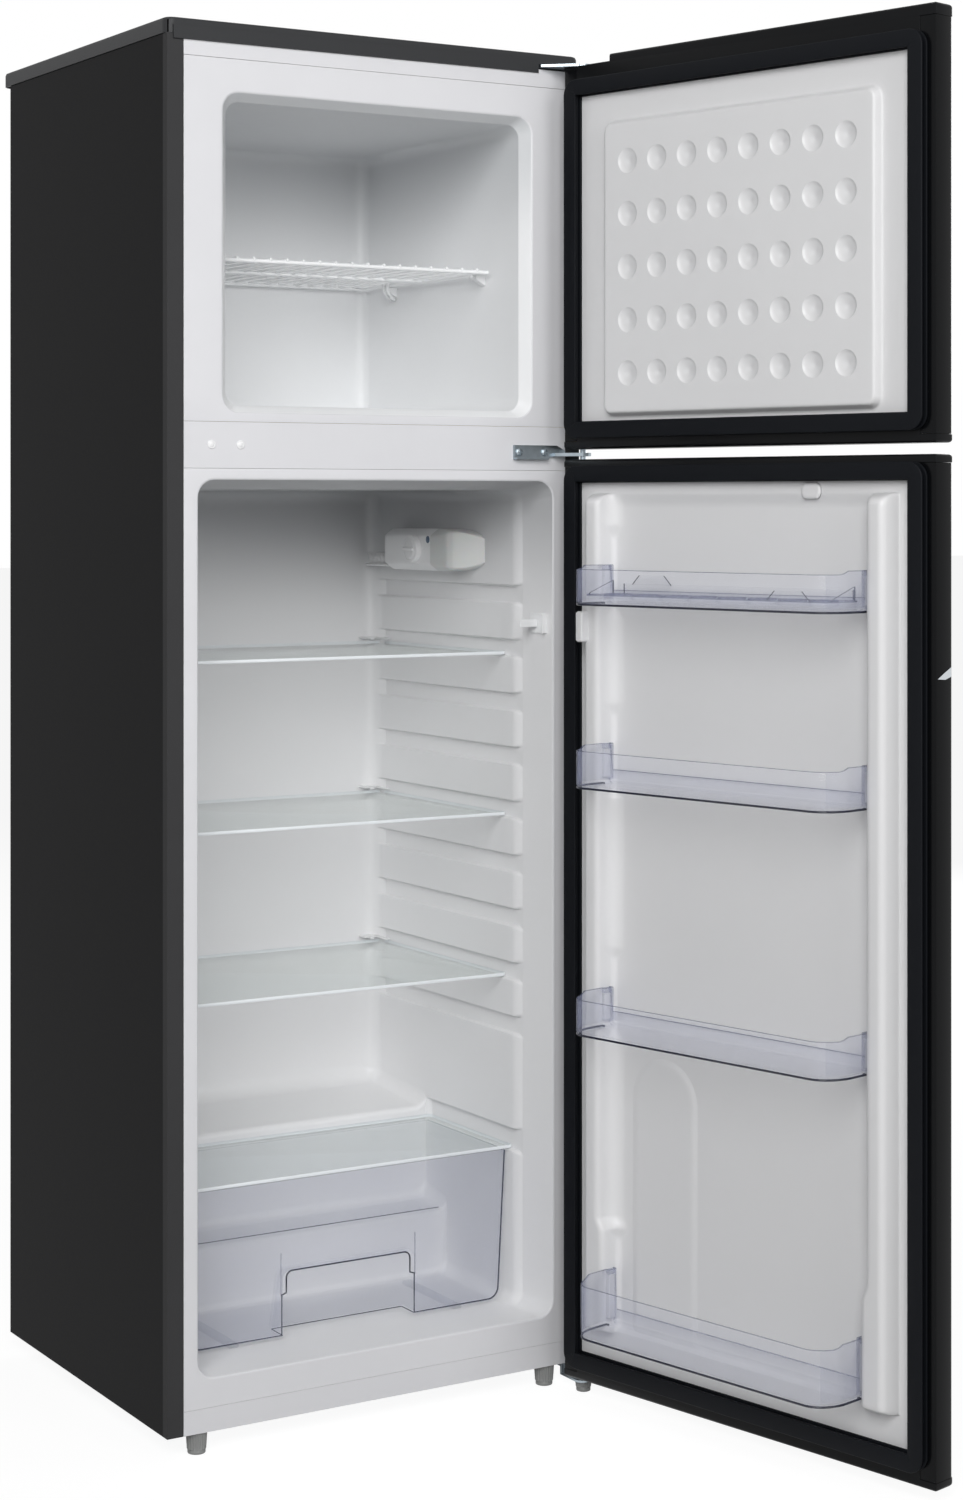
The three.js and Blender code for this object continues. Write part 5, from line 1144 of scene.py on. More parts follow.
@dataclass
class FreezerCompartment(Compartment):
    """The freezer's liner, with the clips that its wire shelf rests on.

    Attributes:
        rest: Level of the shelf rim's underside.
        finger: Radius of the rear clips' fingers.
        ball: Radius of the stop, and how far it is behind the front clip.
    """

    clips: Flat = (95.0, 314.0)
    rest: float = 1313.7
    finger: float = 2.2
    ball: Flat = (4.4, 13.0)

    def __post_init__(self) -> None:
        """Sets the wall's levels and depths out."""
        low, high = self.mouth[0] + 20, self.ceiling - 20
        self.levels = [low + (high - low) * k / 12 for k in range(13)]
        self.stations = [self.flare * k / 6 for k in range(3, 7)] + [self.flare + 6, 60.0, 120.0, 200.0, 280.0, 340.0]

    def extras(self) -> Form:
        """Draws the clips: a saddle under the rim on each wall, and a hooked finger on the rear pair.

        Returns:
            Closed bodies.
        """
        form = Form()
        for side in (-1.0, 1.0):
            for depth in self.clips:
                section = rounded([(self.inner_half + 0.4, self.rest - 13), (self.inner_half + 0.4, self.rest),
                                   (self.inner_half - 13, self.rest), (self.inner_half - 13, self.rest - 5)],
                                  [0.4, 0.4, 1.6, 2.4], 3)
                loops = []
                for y, inset in ((-5.0, 1.2), (-4.4, 0.4), (-3.4, 0.0), (3.4, 0.0), (4.4, 0.4), (5.0, 1.2)):
                    cx, cz = self.inner_half - 6, self.rest - 5
                    loops.append([(side * (x + (cx - x) * inset / 9), depth + y, z + (cz - z) * inset / 7)
                                  for x, z in section])
                form.solid(loops)
            self.draw_hook(form, side)
            self.draw_ball(form, side)
        return form

    def draw_hook(self, form: Form, side: float) -> None:
        """Draws the rear clip's two fingers, bent over the rim."""
        ahead = Vector((0, 1, 0))
        wall, rest = self.inner_half, self.rest
        for depth in (self.clips[1] - 4.6, self.clips[1] + 4.6):
            path = [(wall - 3.0, rest - 16.0), (wall - 9.0, rest - 12.0), (wall - 13.5, rest - 4.0),
                    (wall - 14.5, rest + 3.0), (wall - 12.0, rest + 7.5), (wall - 7.0, rest + 8.0)]
            for (x0, z0), (x1, z1) in zip(path, path[1:]):
                run = Vector((x1 - x0, 0.0, z1 - z0)).normalized() * 0.9
                across = Vector((-run.z, 0.0, run.x)).normalized()
                loops = []
                for x, z in ((x0 - run.x, z0 - run.z), (x1 + run.x, z1 + run.z)):
                    ring = [Vector((x, depth, z)) + across * a + ahead * b
                            for a, b in circle((0.0, 0.0), self.finger, 12)]
                    loops.append([(side * p.x, p.y, p.z) for p in ring])
                form.solid(loops)

    def draw_ball(self, form: Form, side: float) -> None:
        """Draws the round stop beside the front clip."""
        radius, behind = self.ball
        profile = [(0.0, -radius), *[(radius * math.cos(math.radians(a)), radius * math.sin(math.radians(a)))
                                     for a in range(-75, 90, 15)], (0.0, radius)]
        form.lathe(profile, (side * (self.inner_half - 7.5), self.clips[0] + behind, self.rest - 0.5), "z", 16)


# --- Cabinet ---


@dataclass
class Cabinet:
    """The steel cabinet with its lid, front beams, hinges, feet and liners."""

    sheet_edge_mm: float = 0.5
    lid_edge_mm: float = 1.5
    first_slot: float = 389.3
    slot_pitch: float = 65.8
    slot_height: float = 18.0
    slot_count: int = 9
    slot_end: float = 405.0
    cover_slot: Point = (247.0, 270.0, 282.0)
    foam_room: float = 3.5
    foot_teeth: int = 22
    front_foot: tuple[float, float, float, float] = (12.2, 11.0, 10.2, 4.0)
    hinge_foot: tuple[float, float, float, float] = (9.8, 9.2, 8.6, 0.0)

    def fridge(self) -> FridgeCompartment:
        """Sizes the fridge's compartment."""
        slots = [(self.first_slot + i * self.slot_pitch, self.first_slot + i * self.slot_pitch + self.slot_height,
                  self.slot_end) for i in range(self.slot_count)]
        return FridgeCompartment(
            node="fridge_liner", mouth_half=234.4, mouth=(60.0, 1062.0), inner_half=227.5, ceiling=1052.0,
            flare=55.0, depth=415.0, flange=(252.2, 27.3, 1074.7),
            floor=[(0.0, 60.0), (228.0, 60.0), (228.0, 138.0), (280.0, 150.0), (282.0, 261.0), (415.0, 273.0)],
            floor_radii=[0.0, 9.0, 6.0, 9.0, 7.0, 0.0], slots=[self.cover_slot, *slots])

    def freezer(self) -> FreezerCompartment:
        """Sizes the freezer's compartment."""
        return FreezerCompartment(
            node="freezer_liner", mouth_half=204.5, mouth=(1138.0, 1497.0), inner_half=194.5, ceiling=1488.0,
            flare=14.0, depth=395.0, flange=(252.2, 1127.3, 1533.7), floor=[(0.0, 1138.0), (14.0, 1146.0),
                                                                           (395.0, 1146.0)],
            floor_radii=[0.0, 6.0, 0.0], back_radius=15.0, lip=1.8, white=Finishes.FREEZER_WHITE)

    def foot(self, node: str, top: float, low: float, ring: float, stud_mm: float, drawing: Matrix) -> None:
        """Builds a levelling foot: a toothed grip, which geometry nodes cut, over a plain ring.

        Args:
            node: The foot's node.
            top: Radius of the grip's top.
            low: Radius of the grip's lower end.
            ring: Radius of the ring under it.
            stud_mm: Radius of the stud; none if 0.
            drawing: Matrix from the cabinet's drawing.
        """
        lows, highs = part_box(node)
        inverse = drawing.inverted()
        base, peak = inverse @ Vector(lows), inverse @ Vector(highs)
        centre = ((base.x + peak.x) / 2, (base.y + peak.y) / 2, base.z)
        grip_top = (-0.3 if stud_mm else peak.z) - base.z
        grower = Grower(node + "_teeth")
        teeth = grower.size("Teeth", self.foot_teeth)
        depth = grower.size("Tooth depth", 0.9)
        start = grower.size("Teeth from", 5.6)
        end = grower.size("Teeth to", grip_top - 1.0)
        spot = grower.node("ShaderNodeSeparateXYZ", inputs={
            0: grower.node("GeometryNodeInputPosition").outputs["Position"]})
        angle = grower.math("ARCTAN2", spot.outputs["Y"], spot.outputs["X"])
        wave = grower.math("COSINE", grower.math("MULTIPLY", angle, teeth))
        groove = grower.math("MULTIPLY", grower.math("SUBTRACT", 1.0, wave), 0.5)
        above = grower.math("GREATER_THAN", spot.outputs["Z"], start)
        below = grower.math("LESS_THAN", spot.outputs["Z"], end)
        sink = grower.math("MULTIPLY", grower.math("MULTIPLY", groove, depth), grower.math("MULTIPLY", above, below))
        outward = grower.node("ShaderNodeCombineXYZ", inputs={
            "X": grower.math("COSINE", angle), "Y": grower.math("SINE", angle)})
        inwards = grower.node("ShaderNodeVectorMath", {"operation": "SCALE"}, {
            0: outward.outputs[0], "Scale": grower.math("MULTIPLY", sink, -1.0)})
        moved = grower.node("GeometryNodeSetPosition", inputs={
            "Geometry": grower.entry.outputs["Geometry"], "Offset": inwards.outputs[0]})
        form = Form()
        profile = [(0.0, 0.0), (ring - 1, 0.0), (ring - 0.3, 0.3), (ring, 1.0), (ring, 4.4), (ring - 0.4, 4.8),
                   (ring - 0.4, 5.2), (low, 5.4), (low + 0.1, 6.0)]
        profile += [(low + (top - low) * k / 4, 6.2 + (grip_top - 7.4) * k / 4) for k in range(5)]
        profile += [(top, grip_top - 0.5), (top - 0.6, grip_top)]
        if stud_mm:
            profile += [(stud_mm, grip_top), (stud_mm, peak.z - base.z - 0.6), (stud_mm - 0.6, peak.z - base.z)]
        profile.append((0.0, profile[-1][1]))
        form.lathe(profile, (0.0, 0.0, 0.0), steps=self.foot_teeth * 6)
        made = grower.grow(form, moved.outputs["Geometry"], Finishes.FOOT, node + "_piece",
                           drawing @ Matrix.Translation(centre))
        fit(crease(made, 50.0), Finishes.FOOT, node)

    def foam(self, drawing: Matrix) -> None:
        """Draws the foam back from both liners, so that none shows where they curve.

        Args:
            drawing: Matrix from the cabinet's drawing.
        """
        shape = merged_copy("cabinet_foam")
        inverse = drawing.inverted()
        mouths = (self.fridge(), self.freezer())
        for vert in shape.verts:
            spot = inverse @ vert.co
            for mouth in mouths:
                if spot.y <= 3.0:
                    middle_z = sum(mouth.mouth) / 2
                    half_z = (mouth.mouth[1] - mouth.mouth[0]) / 2
                    if abs(spot.x) < mouth.mouth_half + 4 and abs(spot.z - middle_z) < half_z + 4:
                        spot.x += math.copysign(8.0, spot.x)
                        spot.z += math.copysign(8.0, spot.z - middle_z)
                        break
                elif self.drawn_back(spot, mouth):
                    break
            vert.co = drawing @ spot
        fit(crease(as_object(shape, "cabinet_foam_piece"), 30.0), Finishes.FOAM, "cabinet_foam")

    def drawn_back(self, spot: Vector, mouth: Compartment) -> bool:
        """Moves a point of the foam away from a liner's wall.

        Args:
            spot: The point, which is changed.
            mouth: The compartment whose wall it may lie on.

        Returns:
            Whether it lay on the wall.
        """
        room = self.foam_room
        path = mouth.floor_path()
        ahead, behind = along(path, spot.y - 4.0), along(path, spot.y + 4.0)
        within = min(ahead, behind) - 4.0 < spot.z < mouth.ceiling + 4.0
        if not within or abs(spot.x) > mouth.inner_half + 10.0 or spot.y > mouth.depth + 4.0:
            return False
        if abs(spot.x) > mouth.inner_half - 10.0:
            spot.x += math.copysign(room, spot.x)
        if spot.z > mouth.ceiling - 10.0:
            spot.z += room
        elif spot.z < along(path, spot.y) + 4.0:
            spot.z -= room
        if spot.y > mouth.depth - 10.0 or behind - ahead > 15.0:
            spot.y += room
        return True

    def plug(self, node: str, drawing: Matrix) -> None:
        """Builds a push-in plug with a ring round its dome."""
        low, high = (drawing.inverted() @ Vector(corner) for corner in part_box(node))
        form = Form()
        form.lathe([(0.0, -8.0), (1.6, -8.0), (2.4, -3.0), (2.0, 0.3), (4.7, 0.3), (5.0, 0.6), (5.0, 1.0), (4.6, 1.4),
                    (3.9, 1.5), (3.5, 1.2), (3.1, 1.5), (2.4, 2.1), (1.2, 2.4), (0.0, 2.4)],
                   ((low.x + high.x) / 2, 0.0, (low.z + high.z) / 2), "-y", 28)
        show(form, node, Finishes.MOULDED_WHITE, drawing, 60.0)

    def build(self, drawing: Matrix) -> None:
        """Builds and dresses the cabinet's pieces."""
        finished("cabinet_shell", Finishes.CABINET_ENAMEL, self.sheet_edge_mm)
        finished("top_cover", Finishes.LID, self.lid_edge_mm, over_degrees=40.0)
        for node in ("bottom_front_beam", "middle_front_beam", "top_front_beam"):
            finished(node, Finishes.BEAM_WHITE, self.sheet_edge_mm)
        self.fridge().build(drawing)
        self.freezer().build(drawing)
        for node in ("top_hinge", "middle_hinge", "bottom_hinge", "hinge_screw_1", "hinge_screw_2"):
            finished(node, Finishes.ZINC, 0.4)
        for node in ("hole_plug_1", "hole_plug_2"):
            self.plug(node, drawing)
        for node in ("back_panel", "base_pan", "rear_rail"):
            finished(node, Finishes.GALVANISED, 0.3)
        self.foam(drawing)
        self.foot("front_foot_left", *self.front_foot, drawing)
        self.foot("front_foot_right", *self.front_foot, drawing)
        self.foot("hinge_foot", *self.hinge_foot, drawing)
        for node in ("rear_roller_left", "rear_roller_right"):
            finished(node, Finishes.RUBBER, 0.5)


@dataclass
class CoolingSet:
    """The compressor bay's pieces."""

    edge_mm: float = 1.5

    def build(self) -> None:
        """Builds and dresses the compressor, its tray, box and tubes."""
        finished("compressor", Finishes.BLACK_PAINT, self.edge_mm, over_degrees=40.0)
        finished("relay_box", Finishes.CAP, self.edge_mm)
        finished("drain_tray", Finishes.FOOT, 0.6)
        finished("filter_drier", Finishes.COPPER, 0.8)
        finished("discharge_line", Finishes.COPPER, 0.0)


# --- Doors ---


def carve(made: Object, *tools: Object) -> None:
    """Cuts tools out of a body and removes them."""
    for tool in tools:
        modifier = made.modifiers.new("cut", "BOOLEAN")
        modifier.operation = "DIFFERENCE"
        modifier.solver = "EXACT"
        modifier.object = tool
        settle(made)
        bpy.data.objects.remove(tool)


def upright(points: Iterable[Flat], z: float) -> list[Point]:
    """Lifts a plan's points to a level."""
    return [(x, y, z) for x, y in points]


def facing_in(points: Iterable[Flat], height: float) -> list[Point]:
    """Sets a door's front-view points, middle distance and level, at a height above its plane."""
    return [(s, height, z) for s, z in points]


@dataclass
class Door:
    """A door's steel skin, end caps, foam and gasket.

    Attributes:
        seal: Lowest and highest level of the gasket's inner edge.
        edge: Depth of the door's sides.
        bow: How far the front swells in its middle.
        inset: How far the steel stands in from the caps.
        notch: Level above which the cap is cut away for the hinge's leaf.
    """

    name: str
    hinge: str
    bottom: float
    top: float
    top_cap: float
    seal: Flat
    edge: float = 31.0
    bow: float = 8.0
    bow_steps: int = 36
    corner: float = 5.0
    bottom_cap: float = 9.0
    sheet: float = 1.2
    inset: float = 0.6
    flange: float = 21.0
    gasket_half: float = 242.0
    notch: float | None = None
    lap: float = 4.0

    def plan(self, inset: float) -> list[Flat]:
        """Gives the door's outline from above.

        Args:
            inset: How far it is moved in.

        Returns:
            The outline, from the back on the free side round to the hinge side.
        """
        half = CABINET_HALF - inset
        edge = -self.edge + inset
        r = self.corner
        span = half - r
        swell = (span * span + self.bow * self.bow) / (2 * self.bow)
        start = math.degrees(math.asin(span / swell))
        front = arc((0.0, edge - 1 - self.bow + swell), swell, -90 - start, -90 + start, self.bow_steps)
        turn = []
        for k in range(1, 6):
            t = k / 6
            turn.append(((1 - t) ** 2 * -half + 2 * t * (1 - t) * -half + t * t * (-half + r),
                         (1 - t) ** 2 * (edge + r) + 2 * t * (1 - t) * edge + t * t * (edge - 1)))
        side = [(-half + 1.2, -inset), (-half + 0.35, -inset - 0.35), (-half, -inset - 1.2), (-half, edge + r)]
        left = side + turn
        return left + front + [(-a, b) for a, b in reversed(left)]

    def skin(self, drawing: Matrix) -> None:
        """Builds the bowed steel skin with its folded flanges."""
        low, high = self.levels(drawing, self.name + "_skin")
        mouth = CABINET_HALF - self.flange
        outer = [(-mouth, -self.inset), *self.plan(self.inset), (mouth, -self.inset)]
        inner = [(-mouth, -self.inset - self.sheet), *self.plan(self.inset + self.sheet),
                 (mouth, -self.inset - self.sheet)]
        loops = [[*upright(outer, z), *upright(inner[::-1], z)] for z in (low, high)]
        form = Form()
        form.skin(loops)
        rows = [form.loop(points) for points in loops]
        count = len(outer)
        for row in rows:
            for i in range(count - 1):
                form.face((row[i], row[i + 1], row[2 * count - 2 - i], row[2 * count - 1 - i]))
        show(form, self.name + "_skin", Finishes.DOOR_GLOSS, drawing)

    def levels(self, drawing: Matrix, node: str) -> Flat:
        """Gives a node's lowest and highest level in the drawing."""
        low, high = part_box(node)
        inverse = drawing.inverted()
        return (inverse @ Vector(low)).z, (inverse @ Vector(high)).z

    def cap(self, node: str, joined: float, outer: float, liner_edge: float, drawing: Matrix) -> None:
        """Builds an end cap with rounded outer edges and a lip up to the liner.

        Args:
            node: Its node.
            joined: Level where it meets the skin.
            outer: Level of the door's end.
            liner_edge: Level of the liner's edge.
            drawing: Matrix from the door's drawing.
        """
        up = 1.0 if outer > joined else -1.0
        form = Form()
        radius = 3.6
        loops = [upright(self.plan(0.25), joined), upright(self.plan(0.0), joined + up * 0.25),
                 upright(self.plan(0.0), outer - up * radius)]
        for down, into in quarter((15, 30, 45, 60, 75, 90)):
            loops.append(upright(self.plan(radius * into), outer - up * radius * down))
        loops.append(upright(self.plan(radius + 0.8), outer))
        form.solid(loops)
        body = form.made(node + "_piece", drawing)
        pin = self.pin(drawing)
        bush = Form()
        bush.lathe([(0.0, -4.0), (4.3, -4.0), (4.3, abs(outer - joined) + 4.0), (0.0, abs(outer - joined) + 4.0)],
                   (pin.x, pin.y, min(joined, outer)), steps=28)
        tools = [bush.made("bush", drawing)]
        if self.notch is not None and up > 0:
            notch = Form()
            notch.block((pin.x - 60, -90.0, self.notch), (pin.x + 15.5, 6.0, outer + 6.0), 0.02)
            tools.append(notch.made("notch", drawing))
        carve(body, *tools)
        mouth = CABINET_HALF - self.flange - 0.3
        lip = Form()
        ends = sorted((liner_edge + up * 0.3, joined + up * 1.0))
        lip.block((-mouth, -1.2, ends[0]), (mouth, -0.02, ends[1]), 0.2)
        made = merged(node + "_piece", body, lip.made("lip", drawing))
        fit(crease(made), Finishes.CAP, node)

    def pin(self, drawing: Matrix) -> Vector:
        """Gives the hinge pin's place in the drawing."""
        return drawing.inverted() @ Vector(joint(self.hinge)["pos_m"])

    def gasket(self, drawing: Matrix) -> None:
        """Grows the sealing ring: a foot, a bellows of two folds and a sealing lip, run round the door."""
        node = self.name + "_gasket"
        low, high = self.seal
        grower = Grower(node)
        half = grower.size("Half width", self.gasket_half)
        tall = grower.size("Height", high - low)
        parts = []
        # Start and width of each part across the ring, and its lowest and highest level.
        for label, start, width, foot, peak, soft in (
                ("Foot", 0.0, 20.0, 0.3, 2.8, 0.5), ("Lower fold", 3.4, 12.6, 2.4, 6.0, 1.3),
                ("Waist", 6.0, 7.0, 5.0, 7.0, 0.3), ("Upper fold", 3.4, 12.6, 6.1, 9.7, 1.3),
                ("Lip", 1.0, 19.0, 9.2, 11.7, 0.9)):
            offset = grower.size(label + " start", start + width / 2)
            across = grower.size(label + " width", width)
            thick = grower.size(label + " height", peak - foot)
            path = grower.node("GeometryNodeCurvePrimitiveQuadrilateral", inputs={
                "Width": grower.math("MULTIPLY", grower.math("ADD", half, offset), 2.0),
                "Height": grower.math("ADD", tall, grower.math("MULTIPLY", offset, 2.0))})
            bent = grower.node("GeometryNodeFilletCurve", {"mode": "POLY"}, {
                "Curve": path.outputs["Curve"], "Count": 6, "Radius": 4.0 + (start + width / 2) * 0.4,
                "Limit Radius": True})
            level = grower.node("GeometryNodeSetCurveNormal", {"mode": "Z_UP"}, {"Curve": bent.outputs["Curve"]})
            section = grower.node("GeometryNodeCurvePrimitiveQuadrilateral", inputs={"Width": across, "Height": thick})
            soft_section = grower.node("GeometryNodeFilletCurve", {"mode": "POLY"}, {
                "Curve": section.outputs["Curve"], "Count": 3, "Radius": soft, "Limit Radius": True})
            swept = grower.node("GeometryNodeCurveToMesh", inputs={
                "Curve": level.outputs["Curve"], "Profile Curve": soft_section.outputs["Curve"]})
            lifted = grower.node("GeometryNodeTransform", inputs={
                "Geometry": swept.outputs["Mesh"], "Translation": (0.0, 0.0, (foot + peak) / 2)})
            parts.append(lifted.outputs["Geometry"])
        seed = Form()
        seed.face(seed.loop([(0, 0, 0), (1, 0, 0), (0, 1, 0)]))
        turn = Matrix.Translation((0, 0, (low + high) / 2)) @ Matrix.Rotation(math.radians(-90), 4, "X")
        made = grower.grow(seed, grower.join(parts), Finishes.GASKET, node + "_piece", drawing @ turn)
        fit(outward(made), Finishes.GASKET, node)

    def liner(self, drawing: Matrix) -> None:
        """Builds the liner; each kind of door has its own."""
        raise NotImplementedError

    def build(self) -> Matrix:
        """Builds and dresses the door's pieces.

        Returns:
            The matrix from the door's drawing to the frame.
        """
        drawing = door_drawing(self.hinge)
        self.skin(drawing)
        self.cap(self.name + "_top_cap", self.top - self.top_cap, self.top, self.seal[1] + self.lap, drawing)
        self.cap(self.name + "_bottom_cap", self.bottom + self.bottom_cap, self.bottom, self.seal[0] - self.lap,
                 drawing)
        dress(self.name + "_foam", Finishes.FOAM)
        self.gasket(drawing)
        self.liner(drawing)
        return drawing


def outward(made: Object) -> Object:
    """Merges an object's doubles and turns its closed bodies' faces outwards."""
    shape = bmesh.new()
    shape.from_mesh(made.data)
    bmesh.ops.remove_doubles(shape, verts=shape.verts, dist=0.002 * MM)
    bmesh.ops.recalc_face_normals(shape, faces=shape.faces)
    shape.to_mesh(made.data)
    shape.free()
    made.data.shade_smooth()
    return crease(made, 50.0)


@dataclass
class FreezerDoor(Door):
    """The freezer's door, whose liner has a raised field with rows of round dimples.

    Attributes:
        field: Its lowest and highest level.
        pitches: Distance between dimple columns and rows.
        counts: Number of columns and rows.
        dimple: Radius and depth of a dimple.
    """

    name: str = "freezer_door"
    hinge: str = "freezer_door_hinge"
    bottom: float = 1100.0
    top: float = 1565.0
    top_cap: float = 13.0
    seal: Flat = (1133.0, 1518.0)
    notch: float | None = 1556.0
    field_half: float = 197.5
    field: Flat = (1142.0, 1480.0)
    rise: float = 10.0
    round: float = 9.0
    pitches: Flat = (45.8, 61.8)
    counts: tuple[int, int] = (8, 5)
    dimple: Flat = (15.0, 4.6)
    dimple_sides: int = 32

    def bowls(self) -> Object:
        """Grows the dimples: one bowl, repeated on a grid."""
        radius, depth = self.dimple
        bowl = Form()
        profile = [(radius, 0.0), (radius - 0.5, -0.22), (radius - 1.6, -1.05), (radius - 3.2, -1.95),
                   (radius - 5.6, -2.75), (radius - 8.6, -3.25), (3.0, -0.99 * depth), (0.001, -depth)]
        loops = []
        for r, h in profile:
            loops.append(upright(circle((0.0, 0.0), r, self.dimple_sides), h))
        bowl.skin(loops)
        grower = Grower("dimples")
        columns, rows = grower.size("Columns", self.counts[0]), grower.size("Rows", self.counts[1])
        across, down = grower.size("Column pitch", self.pitches[0]), grower.size("Row pitch", self.pitches[1])
        grid = grower.node("GeometryNodeMeshGrid", inputs={
            "Size X": grower.math("MULTIPLY", across, grower.math("SUBTRACT", columns, 1.0)),
            "Size Y": grower.math("MULTIPLY", down, grower.math("SUBTRACT", rows, 1.0)),
            "Vertices X": columns, "Vertices Y": rows})
        spread = grower.repeat(grid.outputs["Mesh"], grower.entry.outputs["Geometry"])
        # The grid lies flat; it is stood up in the door's drawing, and heights point into the compartment.
        stand = Matrix(((1, 0, 0, 0), (0, 0, 1, self.rise), (0, 1, 0, sum(self.field) / 2), (0, 0, 0, 1)))
        return grower.grow(bowl, spread, Finishes.DOOR_SHADED_WHITE, "dimples", stand)

    def liner(self, drawing: Matrix) -> None:
        """Builds the flange, the field's flanks and face, and sets the dimples in."""
        half = CABINET_HALF - self.flange - 1
        low, high = self.seal[0] - self.lap, self.seal[1] + self.lap
        form = Form()
        loops = [facing_in(round_rect((-half, low), (half, high), 4.0, 8), 0.0)]
        for offset, height in ((12.0, 0.0), (7.5, 0.0), (5.4, 0.3), (4.2, 1.1), (3.4, 2.4), (1.2, 7.4), (0.4, 8.7),
                               (-0.8, 9.6), (-2.4, 10.0), (-6.0, 10.0)):
            loops.append(facing_in(round_rect(
                (-self.field_half - offset, self.field[0] - offset), (self.field_half + offset,
                                                                      self.field[1] + offset),
                max(self.round + offset, 6.0), 8), height * self.rise / 10.0))
        form.skin(loops)
        outline = [(s, z) for s, _, z in loops[-1]]
        middle_z = sum(self.field) / 2
        radius = self.dimple[0]
        holes = []
        for c in range(self.counts[0]):
            for r in range(self.counts[1]):
                s = (c - (self.counts[0] - 1) / 2) * self.pitches[0]
                z = middle_z + (r - (self.counts[1] - 1) / 2) * self.pitches[1]
                holes.append(circle((s, z), radius, self.dimple_sides))
        form.sheet(outline, holes, self.rise)
        plate = form.made("field", Matrix.Identity(4))
        made = merged("freezer_door_liner_piece", plate, self.bowls())
        made = thicken(placed(made, drawing, Vector((0, 1, 0))), SHEET_MM)
        weigh_normals(made)
        fit(settle(made), Finishes.DOOR_SHADED_WHITE, self.name + "_liner")


def placed(made: Object, drawing: Matrix, facing: Vector) -> Object:
    """Welds an open sheet, turns its show side one way, and puts it in the frame.

    Args:
        made: The sheet, in its drawing's millimetres.
        drawing: Matrix from the drawing to the frame.
        facing: The way its show side looks, in the drawing.

    Returns:
        The object.
    """
    shape = bmesh.new()
    shape.from_mesh(made.data)
    bmesh.ops.remove_doubles(shape, verts=shape.verts, dist=0.01)
    bmesh.ops.dissolve_degenerate(shape, dist=0.005, edges=shape.edges)
    bmesh.ops.recalc_face_normals(shape, faces=shape.faces)
    show_to(shape, facing)
    shape.transform(drawing)
    shape.to_mesh(made.data)
    shape.free()
    made.data.shade_smooth()
    return made


